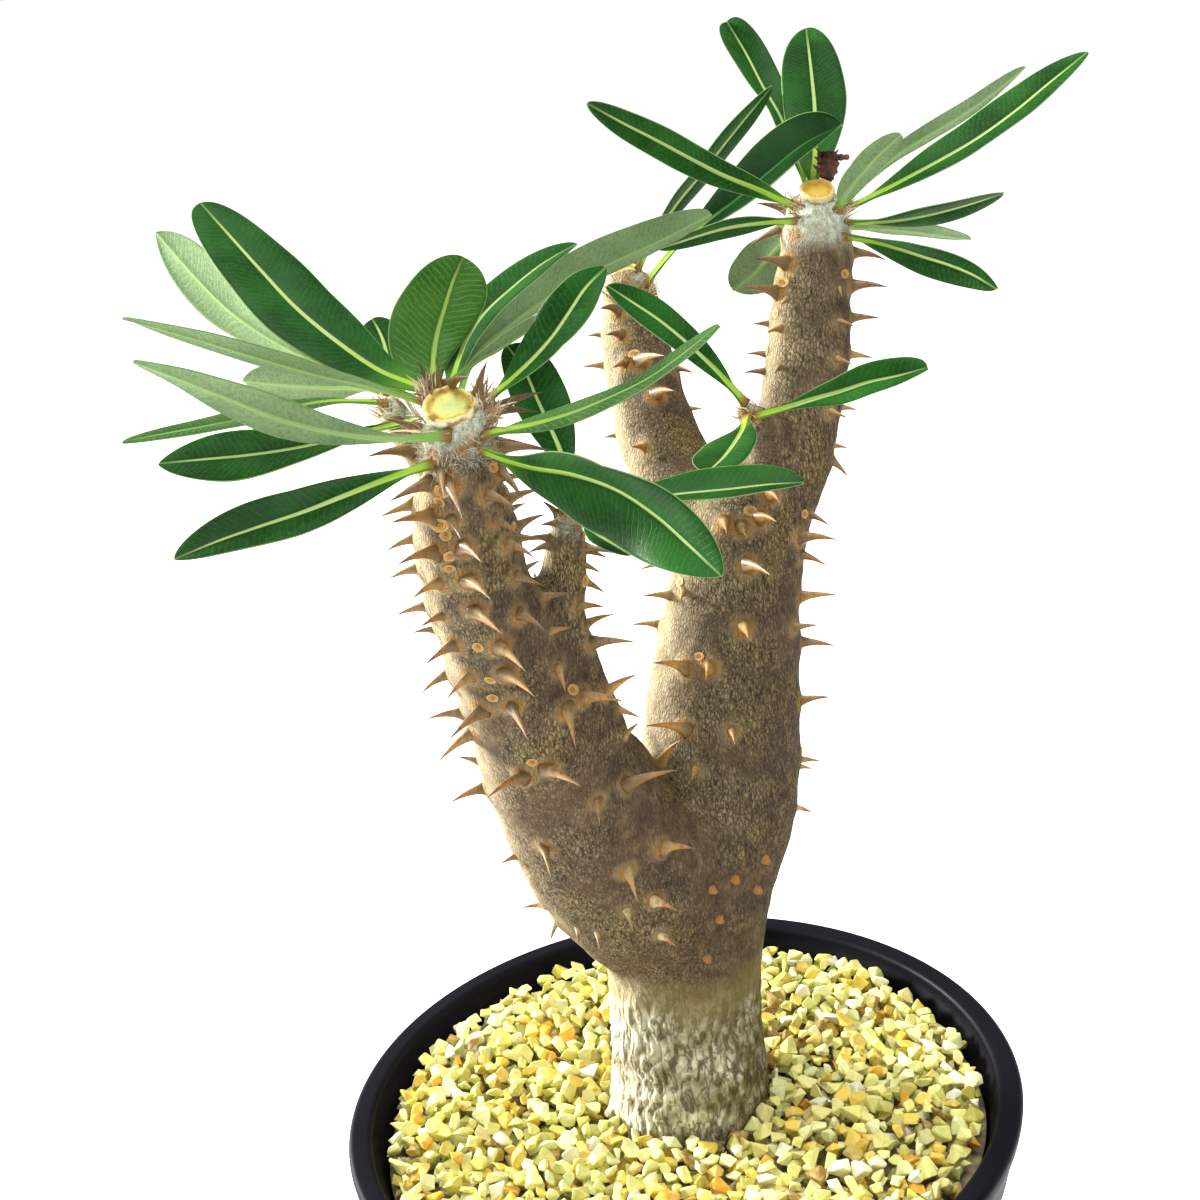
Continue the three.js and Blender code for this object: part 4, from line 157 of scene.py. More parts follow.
# leaf: midrib points, directions of the upper face, width, widest place, base and tip fullness, fold, bluntness, lopsidedness at base and tip, tint
LEAVES = {
    "leaf_a1": ([(-33.34, -47.12, 321.49), (-42.37, -42.96, 325.82), (-50.23, -38.08, 331.48), (-57.28, -32.21, 337.29), (-63.4, -25.93, 343.69), (-69.31, -19.4, 350.05), (-75.17, -12.89, 356.46)], [(0.204, -0.416, 0.887), (0.333, -0.462, 0.822), (0.257, -0.552, 0.793)], 17.04, 0.482, 0.89, 0.437, 3.6, 1.98, 0.0, 0.0, 0.5),
    "leaf_a2": ([(-32.29, -44.77, 318.36), (-42.8, -37.51, 321.6), (-53.34, -30.35, 324.94), (-63.43, -23.18, 329.47), (-72.61, -15.74, 335.25), (-80.31, -7.66, 342.25), (-87.45, 0.57, 349.65)], [(0.577, 0.575, 0.58), (0.677, 0.59, 0.441), (0.615, 0.746, -0.255)], 14.87, 0.719, 1.551, 0.73, 3.0, 1.95, 0.0, 0.0, 0.5),
    "leaf_a3": ([(-34.93, -51.99, 321.25), (-43.31, -50.52, 324.9), (-52.05, -49.41, 327.78), (-60.49, -49.98, 331.54), (-68.82, -50.78, 335.51), (-77.13, -51.84, 339.47), (-85.5, -53.17, 343.24)], [(0.429, 0.599, 0.676), (0.316, 0.524, 0.791), (0.285, 0.498, 0.819)], 11.04, 0.534, 1.106, 0.528, 3.0, 2.17, 0.0, 0.0, 0.5),
    "leaf_a4": ([(-30.93, -58.31, 315.76), (-39.95, -61.67, 317.41), (-48.87, -64.42, 320.35), (-57.23, -67.26, 324.5), (-65.07, -69.75, 329.78), (-72.25, -73.58, 335.21), (-79.39, -77.76, 340.43)], [(-0.339, 0.93, 0.146), (-0.088, 0.938, 0.335), (0.285, 0.516, 0.808)], 9.0, 0.665, 1.653, 0.597, 3.4, 1.87, 0.0, 0.0, 0.5),
    "leaf_a5": ([(-34.44, -55.96, 309.94), (-42.1, -59.07, 309.06), (-49.62, -62.44, 307.87), (-57.09, -65.93, 306.72), (-64.64, -69.35, 306.03), (-72.15, -72.85, 305.25), (-79.52, -76.53, 304.11)], [(0.29, -0.844, 0.451), (0.129, -0.513, 0.849), (0.002, -0.315, 0.949)], 11.54, 0.661, 1.255, 0.606, 11.7, 2.34, 0.0, 0.0, 0.5),
    "leaf_a6": ([(-34.51, -46.29, 316.04), (-43.27, -45.53, 315.27), (-51.97, -45.01, 313.86), (-60.71, -44.33, 312.83), (-69.49, -43.45, 312.35), (-78.26, -42.41, 312.29), (-87.02, -41.36, 312.28)], [(-0.099, -0.306, 0.947), (-0.103, -0.352, 0.93), (-0.067, -0.556, 0.828)], 13.99, 0.681, 2.078, 0.706, 5.5, 1.7, 0.0, 0.0, 0.5),
    "leaf_a7": ([(-30.8, -44.26, 319.11), (-32.06, -39.86, 321.99), (-32.11, -35.6, 325.28), (-31.05, -31.94, 329.06), (-29.12, -29.22, 333.32), (-27.02, -26.79, 337.66), (-24.44, -24.61, 341.87)], [(-0.057, -0.555, 0.83), (0.248, -0.866, 0.434), (0.231, -0.916, 0.328)], 15.8, 0.62, 1.0, 0.5, 8.0, 2.4, 0.75, -0.2, 0.5),
    "leaf_a8": ([(-29.43, -44.17, 319.82), (-27.87, -36.2, 323.04), (-25.58, -28.43, 326.28), (-21.83, -21.23, 329.45), (-16.05, -15.61, 332.72), (-9.34, -11.13, 336.06), (-1.92, -7.41, 338.72)], [(-0.239, -0.325, 0.915), (-0.295, -0.241, 0.925), (-0.173, -0.25, 0.953)], 11.94, 0.702, 0.851, 0.601, 14.1, 2.07, 0.0, 0.0, 0.5),
    "leaf_a9": ([(-27.79, -43.85, 318.59), (-24.8, -30.38, 323.17), (-18.17, -17.65, 325.66), (-9.55, -6.28, 328.43), (3.2, -0.58, 332.4), (15.68, 6.38, 335.13), (27.62, 14.3, 337.88)], [(-0.949, 0.258, -0.184), (-0.435, 0.659, 0.614), (-0.563, 0.668, 0.487)], 13.66, 0.578, 1.43, 0.582, 17.1, 2.42, 0.0, 0.0, 0.5),
    "leaf_a10": ([(-21.56, -51.21, 319.99), (-17.06, -50.64, 322.95), (-12.69, -50.0, 326.09), (-8.65, -49.23, 329.6), (-5.09, -48.25, 333.56), (-1.62, -46.81, 337.45), (2.55, -45.58, 340.69)], [(-0.396, -0.573, 0.717), (-0.565, -0.506, 0.652), (-0.053, -0.907, 0.417)], 11.31, 0.554, 1.153, 0.708, 15.5, 1.7, 0.0, 0.0, 0.5),
    "leaf_a11": ([(-22.4, -55.75, 314.49), (-14.71, -57.23, 315.58), (-7.07, -58.45, 317.14), (0.49, -58.86, 319.42), (7.88, -58.98, 322.19), (14.76, -59.05, 326.06), (21.31, -59.07, 330.49)], [(-0.207, -0.462, 0.862), (-0.298, -0.13, 0.946), (-0.558, -0.115, 0.822)], 8.68, 0.565, 0.982, 0.574, 3.0, 2.14, 0.0, 0.0, 0.5),
    "leaf_a12": ([(-23.59, -57.0, 311.83), (-15.99, -62.21, 309.53), (-7.81, -66.97, 308.39), (-0.3, -72.36, 306.19), (5.93, -78.51, 302.45), (10.65, -86.01, 298.95), (15.09, -93.7, 295.47)], [(-0.634, -0.692, -0.344), (-0.7, -0.663, -0.266), (-0.423, -0.564, 0.709)], 19.11, 0.467, 1.421, 0.582, 26.0, 1.84, 0.0, 0.0, 0.5),
    "leaf_a13": ([(-27.7, -46.68, 323.31), (-24.05, -45.27, 325.74), (-19.85, -44.3, 327.4), (-15.88, -42.49, 328.94), (-11.86, -40.69, 330.35), (-7.85, -38.8, 331.64), (-3.86, -36.79, 332.86)], [(-0.66, 0.45, 0.601), (-0.501, 0.481, 0.72), (-0.47, 0.481, 0.74)], 6.5, 0.56, 1.3, 0.5, 10.0, 2.2, 0.0, 0.0, 0.5),
    "leaf_b1": ([(-46.95, -0.08, 311.18), (-51.94, 3.07, 311.84), (-57.19, 5.84, 311.84), (-62.47, 8.55, 312.01), (-67.75, 11.26, 312.29), (-73.03, 13.96, 312.64), (-78.29, 16.68, 313.08)], [(0.563, 0.786, 0.258), (0.448, 0.845, 0.291), (0.462, 0.885, 0.061)], 10.47, 0.582, 1.503, 0.594, 17.2, 2.18, 0.0, 0.0, 0.5),
    "leaf_b2": ([(-46.99, -4.99, 310.07), (-55.51, -7.28, 312.06), (-64.05, -10.2, 312.53), (-72.47, -13.5, 312.19), (-80.89, -16.8, 312.28), (-89.0, -20.77, 312.7), (-97.0, -24.97, 313.23)], [(0.309, -0.267, 0.913), (0.066, -0.195, 0.979), (0.168, -0.201, 0.965)], 7.46, 0.539, 1.382, 0.551, 6.4, 2.1, 0.0, 0.0, 0.5),
    "leaf_b3": ([(-44.79, 2.26, 309.9), (-45.01, 6.6, 311.58), (-45.41, 10.89, 313.35), (-45.94, 15.11, 315.24), (-46.59, 19.28, 317.2), (-47.67, 23.34, 319.21), (-49.15, 27.25, 321.25)], [(0.359, -0.322, 0.876), (0.24, -0.38, 0.893), (0.0, -0.464, 0.886)], 10.5, 0.56, 1.3, 0.5, 10.0, 2.2, 0.0, 0.0, 0.5),
    "leaf_c1": ([(-9.48, -28.92, 290.55), (-9.67, -24.34, 294.84), (-10.34, -19.96, 299.28), (-12.09, -16.23, 304.0), (-13.94, -12.97, 309.03), (-15.8, -10.56, 314.5), (-18.71, -8.61, 319.71)], [(0.048, -0.681, 0.731), (0.281, -0.709, 0.646), (0.374, -0.78, 0.501)], 13.02, 0.681, 1.806, 0.474, 18.1, 2.28, 0.0, 0.0, 0.5),
    "leaf_c2": ([(-7.87, -36.23, 289.82), (-6.26, -39.3, 288.74), (-4.77, -42.58, 288.21), (-3.32, -45.91, 288.02), (-1.87, -49.25, 287.95), (-0.47, -52.6, 287.88), (0.89, -55.98, 287.78)], [(-0.07, -0.386, 0.92), (-0.228, -0.143, 0.963), (-0.349, -0.166, 0.923)], 4.68, 0.417, 1.287, 0.613, 3.6, 1.92, 0.0, 0.0, 0.5),
    "leaf_c3": ([(-7.06, -30.06, 290.27), (0.4, -30.23, 290.37), (7.86, -30.42, 290.26), (15.29, -30.96, 290.36), (22.73, -31.55, 290.4), (30.13, -32.43, 290.69), (37.5, -33.5, 290.68)], [(-0.018, -0.106, 0.994), (-0.022, -0.195, 0.981), (-0.017, -0.283, 0.959)], 13.67, 0.638, 1.546, 0.628, 19.0, 2.0, 0.0, 0.0, 0.5),
    "leaf_d1": ([(14.76, 53.04, 317.2), (21.41, 50.57, 324.66), (29.22, 47.15, 330.48), (36.79, 42.69, 335.91), (43.99, 38.15, 341.78), (51.23, 33.39, 347.42), (59.04, 27.99, 351.47)], [(-0.694, -0.62, 0.366), (-0.7, -0.395, 0.595), (-0.6, -0.391, 0.699)], 16.9, 0.72, 2.275, 0.688, 21.7, 2.41, 0.0, 0.0, 0.5),
    "leaf_d2": ([(13.1, 55.63, 321.1), (18.04, 57.3, 327.86), (23.65, 58.16, 334.21), (29.78, 58.06, 340.15), (35.67, 57.88, 346.32), (41.7, 57.62, 352.35), (47.86, 57.29, 358.26)], [(0.642, -0.715, -0.277), (0.515, -0.676, -0.527), (0.383, -0.808, -0.448)], 7.98, 0.443, 1.32, 0.53, 6.4, 2.16, 0.0, 0.0, 0.5),
    "leaf_e1": ([(46.63, 26.86, 335.83), (39.33, 26.22, 340.12), (31.9, 25.45, 344.2), (24.85, 24.6, 348.86), (17.88, 23.68, 353.66), (10.84, 22.68, 358.32), (3.92, 21.72, 363.16)], [(-0.078, -0.963, -0.26), (-0.199, -0.868, -0.455), (-0.189, -0.884, -0.428)], 8.24, 0.545, 0.789, 0.513, 5.2, 2.21, 0.0, 0.0, 0.5),
    "leaf_e2": ([(51.73, 36.24, 335.84), (51.36, 46.14, 340.31), (50.8, 55.87, 345.13), (49.93, 65.38, 350.33), (47.37, 73.73, 356.78), (44.95, 81.6, 363.87), (41.77, 88.93, 371.24)], [(0.399, -0.361, 0.843), (0.354, -0.47, 0.809), (-0.108, -0.732, 0.673)], 10.4, 0.72, 1.288, 0.36, 26.0, 2.91, 0.0, 0.0, 0.5),
    "leaf_e3": ([(52.73, 34.68, 338.25), (54.57, 41.67, 343.25), (55.99, 48.73, 348.31), (57.18, 55.85, 353.34), (58.03, 63.02, 358.36), (58.78, 70.15, 363.45), (59.41, 77.25, 368.61)], [(-0.243, -0.518, 0.82), (0.022, -0.571, 0.821), (-0.207, -0.564, 0.8)], 15.12, 0.525, 0.75, 0.551, 11.4, 2.33, 0.0, 0.0, 0.5),
    "leaf_e4": ([(56.6, 23.32, 334.65), (57.84, 21.22, 337.71), (59.56, 19.02, 340.45), (61.44, 16.78, 343.06), (63.43, 14.61, 345.64), (66.03, 12.96, 348.05), (68.85, 11.54, 350.38)], [(0.19, 0.848, 0.495), (-0.091, 0.721, 0.687), (-0.028, 0.838, 0.545)], 7.71, 0.562, 0.75, 0.54, 4.4, 2.29, 0.0, 0.0, 0.5),
    "leaf_e5": ([(59.47, 32.93, 333.58), (66.38, 37.82, 338.1), (73.9, 42.38, 341.93), (82.1, 46.28, 345.03), (90.43, 50.01, 348.01), (98.64, 53.21, 351.8), (106.69, 56.41, 355.93)], [(-0.688, 0.668, 0.284), (-0.503, 0.744, 0.439), (-0.517, 0.74, 0.43)], 6.25, 0.52, 1.396, 0.559, 9.2, 2.15, 0.0, 0.0, 0.5),
    "leaf_e6": ([(60.16, 27.97, 333.38), (69.41, 27.18, 337.04), (78.58, 26.44, 340.89), (87.69, 26.27, 344.95), (96.39, 26.43, 349.84), (104.67, 26.4, 355.42), (112.96, 26.25, 360.99)], [(-0.362, -0.543, 0.758), (-0.419, -0.409, 0.81), (-0.488, -0.502, 0.714)], 12.08, 0.512, 1.482, 0.625, 17.2, 1.9, 0.0, 0.0, 0.5),
    "leaf_e7": ([(59.56, 25.52, 330.54), (64.89, 23.81, 330.25), (70.27, 22.27, 330.44), (75.52, 20.44, 331.17), (80.74, 18.67, 332.21), (85.93, 16.97, 333.47), (91.1, 15.28, 334.83)], [(-0.258, -0.615, -0.745), (-0.097, -0.648, -0.755), (-0.025, -0.672, -0.74)], 7.7, 0.548, 1.502, 0.527, 8.1, 2.13, 0.0, 0.0, 0.5),
    "leaf_e8": ([(57.91, 35.4, 327.91), (64.0, 39.31, 326.55), (70.0, 43.29, 325.0), (75.82, 47.42, 323.18), (81.53, 51.63, 321.17), (87.26, 55.74, 319.04), (93.01, 59.81, 316.87)], [(-0.159, 0.532, 0.832), (-0.038, 0.463, 0.885), (-0.05, 0.526, 0.849)], 6.85, 0.542, 1.33, 0.536, 4.5, 2.2, 0.0, 0.0, 0.5),
    "leaf_e9": ([(58.57, 23.7, 327.85), (63.49, 20.05, 326.8), (68.19, 16.24, 325.35), (72.79, 12.38, 323.73), (77.38, 8.49, 322.14), (81.65, 4.44, 320.15), (85.37, 0.19, 317.55)], [(-0.565, -0.607, -0.559), (-0.668, -0.656, -0.35), (-0.739, -0.672, 0.056)], 8.89, 0.514, 1.219, 0.637, 21.5, 1.96, 0.0, 0.0, 0.5),
    "leaf_e10": ([(46.27, 25.23, 332.57), (41.22, 23.03, 333.19), (36.12, 20.92, 333.65), (30.93, 19.0, 333.75), (25.74, 17.1, 333.35), (20.6, 15.14, 332.7), (15.49, 13.13, 331.96)], [(0.279, -0.794, -0.54), (0.314, -0.812, -0.491), (0.373, -0.734, -0.568)], 5.61, 0.485, 1.198, 0.595, 11.6, 1.98, 0.0, 0.0, 0.5),
    "leaf_e11": ([(48.47, 36.73, 327.89), (46.4, 39.61, 325.66), (44.33, 42.36, 323.28), (42.22, 44.82, 320.62), (39.89, 46.94, 317.88), (37.09, 48.95, 315.49), (34.21, 50.92, 313.17)], [(0.676, 0.687, 0.268), (0.505, 0.817, 0.278), (0.314, 0.879, 0.358)], 11.94, 0.582, 1.46, 0.499, 4.2, 2.2, 0.0, 0.0, 0.5),
    "leaf_f1": ([(32.86, -0.53, 296.37), (38.48, -2.89, 298.04), (44.08, -5.24, 299.82), (49.83, -7.33, 301.4), (55.55, -9.37, 303.14), (61.51, -11.19, 304.21), (67.42, -12.85, 305.69)], [(-0.448, -0.819, 0.358), (-0.406, -0.838, 0.363), (-0.323, -0.318, 0.891)], 8.26, 0.72, 1.772, 0.413, 26.0, 2.6, 0.0, 0.0, 0.5),
    "leaf_f2": ([(29.45, 1.04, 300.02), (25.82, 0.28, 305.42), (21.77, -0.56, 310.52), (17.51, -1.3, 315.46), (13.0, -2.11, 320.16), (8.15, -3.1, 324.46), (3.31, -4.12, 328.78)], [(0.511, -0.833, 0.213), (0.603, -0.646, 0.467), (0.604, -0.601, 0.523)], 9.6, 0.666, 1.227, 0.63, 10.4, 1.92, 0.0, 0.0, 0.5),
    "leaf_f3": ([(30.16, -1.28, 296.03), (28.65, -5.18, 294.77), (26.86, -9.05, 293.82), (24.99, -12.93, 293.09), (23.06, -16.82, 292.55), (20.94, -20.63, 292.28), (18.75, -24.41, 292.11)], [(-0.392, -0.157, 0.907), (-0.13, -0.098, 0.987), (0.123, -0.116, 0.986)], 12.13, 0.504, 1.143, 0.364, 11.8, 2.4, 0.0, 0.0, 0.5),
    "leaf_d3": ([(9.83, 65.03, 316.96), (10.63, 69.34, 317.34), (11.37, 73.65, 317.84), (12.02, 77.96, 318.42), (12.64, 82.28, 318.99), (13.35, 86.6, 319.49), (14.11, 90.91, 319.95)], [(0.029, -0.091, 0.995), (0.038, -0.141, 0.989), (0.158, -0.131, 0.979)], 6.0, 0.56, 1.3, 0.5, 10.0, 2.2, 0.0, 0.0, 0.5),
}
STUB_ROWS = [[54.63, 28.38, 339.52, 1.0], [54.96, 28.83, 339.86, 1.35], [55.63, 30.1, 341.81, 2.1], [55.89, 30.88, 343.87, 2.4], [56.31, 31.5, 345.49, 1.4]]
TWIG_ROWS = [[54.65, 31.3, 344.39, 0.9], [57.48, 30.2, 344.32, 0.9], [60.31, 29.1, 344.25, 0.6]]
LEAF_KIND = {'leaf_a7': 'mid', 'leaf_a2': 'mid', 'leaf_a3': 'mid', 'leaf_a4': 'mid', 'leaf_e5': 'pale', 'leaf_e8': 'pale', 'leaf_e4': 'pale', 'leaf_d1': 'deep', 'leaf_a11': 'pale', 'leaf_a9': 'mid', 'leaf_b2': 'pale'}
SCARS_PX = [(440, 525, 1.85), (445, 437, 1.25), (450, 556, 1.35), (442, 491, 1.6), (478, 647, 1.3), (490, 680, 1.2)]
STUBS_PX = [(765, 860, 1.0), (735, 880, 0.9), (712, 890, 0.85), (719, 919, 0.9), (707, 958, 0.9), (757, 890, 0.9), (773, 898, 0.9)]
FANS = [((489, 420), (0.55, -0.2, 0.8), 0.26, 46, 5.6, 0.27), ((481, 402), (0.15, -0.05, 0.95), 0.22, 42, 5.0, 0.27), ((427, 400), (-0.1, 0.0, 1.0), 0.22, 52, 5.4, 0.27), ((424, 425), (-0.9, -0.2, 0.35), 0.26, 16, 6.0, 0.2), ((800, 208), (-0.6, 0.0, 0.7), 0.3, 26, 3.8, 0.2), ((843, 210), (0.7, 0.0, 0.65), 0.3, 34, 4.4, 0.2), ((617, 296), (-0.5, -0.1, 0.8), 0.35, 40, 5.5, 0.16), ((642, 300), (0.6, -0.1, 0.7), 0.35, 40, 5.5, 0.16), ((572, 520), (0.0, -0.3, 0.9), 0.45, 40, 4.5, 0.14), ((745, 414), (0.0, -0.3, 0.9), 0.45, 40, 3.6, 0.18), ((385, 412), (-0.5, -0.2, 0.8), 0.4, 34, 4.5, 0.14)]
HOLLOWS = [(27.5, -12.5, 5.0)]
FLOOR_GLOW = 0.55
WORLD = 0.55
LIGHTS = [('key_light', (-1.3, 0.66, 0.62), (0, 0, 0.24), 0.36, 74.0, (1.0, 0.985, 0.94)), ('top_light', (0.05, -0.25, 1.5), (0, 0, 0.2), 0.8, 16.0, (1, 1, 1))]

# ------------------------------------------------------------------ helpers: meshes
def arr(x):
    return np.asarray(x, float)


def smooth01(lo, hi, x):
    t = np.clip((np.asarray(x, float) - lo) / (hi - lo), 0.0, 1.0)
    return t * t * (3 - 2 * t)


def unit(v):
    v = arr(v)
    return v / np.maximum(np.linalg.norm(v, axis=-1, keepdims=True), 1e-12)


def new_mesh(name, co, faces, smooth=True, attrs=None, colour=None):
    """object from points in millimetres and a list or array of faces"""
    me = bpy.data.meshes.new(name)
    co = arr(co) * MM
    if isinstance(faces, np.ndarray):
        k = faces.shape[1]
        me.vertices.add(len(co))
        me.vertices.foreach_set("co", co.astype(np.float32).ravel())
        me.loops.add(faces.size)
        me.polygons.add(len(faces))
        me.loops.foreach_set("vertex_index", faces.astype(np.int32).ravel())
        me.polygons.foreach_set("loop_start", np.arange(0, faces.size, k, dtype=np.int32))
        me.update(calc_edges=True)
    else:
        me.from_pydata(co.tolist(), [], faces)
        me.update()
    me.validate()
    if smooth:
        me.polygons.foreach_set("use_smooth", np.ones(len(me.polygons), bool))
    for key, val in (attrs or {}).items():
        a = me.attributes.new(key, "FLOAT", "POINT")
        a.data.foreach_set("value", arr(val).astype(np.float32))
    if colour is not None:
        a = me.attributes.new("tone", "FLOAT_COLOR", "POINT")
        c = np.ones((len(co), 4), np.float32)
        c[:, :3] = colour
        a.data.foreach_set("color", c.ravel())
    o = bpy.data.objects.new(name, me)
    bpy.context.scene.collection.objects.link(o)
    return o


def fix_normals(o):
    bm = bmesh.new()
    bm.from_mesh(o.data)
    bmesh.ops.recalc_face_normals(bm, faces=bm.faces)
    bm.to_mesh(o.data)
    bm.free()
    return o


def catmull(points, ts):
    """points spaced evenly in t, ends reflected"""
    A = arr(points)
    A = np.vstack([2 * A[0] - A[1], A, 2 * A[-1] - A[-2]])
    m = len(A) - 3
    s = np.clip(arr(ts), 0, 1) * m
    i = np.minimum(s.astype(int), m - 1)
    x = (s - i)[:, None]
    p0, p1, p2, p3 = A[i], A[i + 1], A[i + 2], A[i + 3]
    return 0.5 * (2 * p1 + (p2 - p0) * x + (2 * p0 - 5 * p1 + 4 * p2 - p3) * x * x + (3 * p1 - p0 - 3 * p2 + p3) * x ** 3)


def transport(P, first=(0.13, 0.99, 0.02)):
    """tangents and two cross directions along a line"""
    T = unit(np.vstack([P[1] - P[0], P[2:] - P[:-2], P[-1] - P[-2]]))
    up = arr(first)
    X, Y = [], []
    for t in T:
        x = up - up.dot(t) * t
        x = x / max(np.linalg.norm(x), 1e-9)
        X.append(x)
        Y.append(np.cross(t, x))
        up = x
    return T, arr(X), arr(Y)


def grid_faces(n, m, wrap=True, base=0):
    i, j = np.meshgrid(np.arange(n - 1), np.arange(m if wrap else m - 1), indexing="ij")
    j2 = (j + 1) % m
    f = np.stack([i * m + j, i * m + j2, (i + 1) * m + j2, (i + 1) * m + j], -1)
    return f.reshape(-1, 4) + base


def tube(P, R, sides, cap=True):
    """closed round skin along P with radii R: points and faces"""
    P, R = arr(P), arr(R)
    T, X, Y = transport(P)
    a = np.arange(sides) / sides * 2 * math.pi
    ring = np.cos(a)[None, :, None] * X[:, None] + np.sin(a)[None, :, None] * Y[:, None]
    co = (P[:, None] + ring * R[:, None, None]).reshape(-1, 3)
    faces = grid_faces(len(P), sides).tolist()
    if cap:
        n = len(co)
        co = np.vstack([co, P[0], P[-1]])
        last = (len(P) - 1) * sides
        for j in range(sides):
            k = (j + 1) % sides
            faces.append([k, j, n])
            faces.append([last + j, last + k, n + 1])
    return co, faces


def noise3(P, scale, seed=0.0):
    return np.array([noise.noise(Vector((p[0] * scale + seed, p[1] * scale - seed, p[2] * scale + 3.1 * seed))) for p in P])


def mesh_arrays(me):
    co = np.empty(len(me.vertices) * 3, np.float32)
    me.vertices.foreach_get("co", co)
    return co.reshape(-1, 3).astype(float) / MM


def vertex_normals(co, quads):
    a, b, c, d = (co[quads[:, k]] for k in range(4))
    n = np.cross(c - a, d - b)
    out = np.zeros_like(co)
    for k in range(4):
        for ax in range(3):
            out[:, ax] += np.bincount(quads[:, k], n[:, ax], len(co))
    return unit(out)


class Bag:
    """gathers many small closed shapes into one piece"""

    def __init__(self):
        self.co, self.faces, self.n, self.cols, self.attrs = [], [], 0, [], {}

    def add(self, co, faces, colour=None, **attrs):
        co = arr(co)
        self.co.append(co)
        n = self.n
        self.faces.extend([[i + n for i in f] for f in (faces.tolist() if isinstance(faces, np.ndarray) else faces)])
        self.n += len(co)
        if colour is not None:
            self.cols.append(np.broadcast_to(arr(colour), (len(co), 3)))
        for k, v in attrs.items():
            self.attrs.setdefault(k, []).append(np.broadcast_to(arr(v), (len(co),)))

    def make(self, name, smooth=True):
        return new_mesh(name, np.vstack(self.co), self.faces, smooth, {k: np.concatenate(v) for k, v in self.attrs.items()},
                        np.vstack(self.cols) if self.cols else None)


def strand(bag, p, d, length, r0, bend=(0, 0, 0), wave=0.0, colour=None, segs=5, sides=3, flat=1.0, seed=0.0, **attrs):
    """one thin tapered hair, fibre or thorn hair"""
    t = np.linspace(0, 1, segs + 1)
    p, d, bend = arr(p), unit(arr(d)), arr(bend)
    P = p + d * (length * t)[:, None] + bend * (t ** 2)[:, None] * length
    if wave:
        x = unit(np.cross(d, [0.31, 0.2, 0.93]))
        y = np.cross(d, x)
        P = P + x * (np.sin(t * 7 + seed) * wave * t)[:, None] + y * (np.cos(t * 5.3 + seed * 1.7) * wave * t)[:, None]
    R = r0 * (1 - t) ** 0.6 + 0.012
    T, X, Y = transport(P, (0.3, 0.1, 0.95))
    a = np.arange(sides) / sides * 2 * math.pi
    co = (P[:, None] + (np.cos(a)[None, :, None] * X[:, None] + np.sin(a)[None, :, None] * Y[:, None] * flat) * R[:, None, None]).reshape(-1, 3)
    faces = grid_faces(len(P), sides).tolist()
    last = (len(P) - 1) * sides
    faces.append(list(range(sides))[::-1])
    faces.append([last + j for j in range(sides)])
    bag.add(co, faces, colour, **{k: (v if np.ndim(v) == 0 else v) for k, v in attrs.items()})


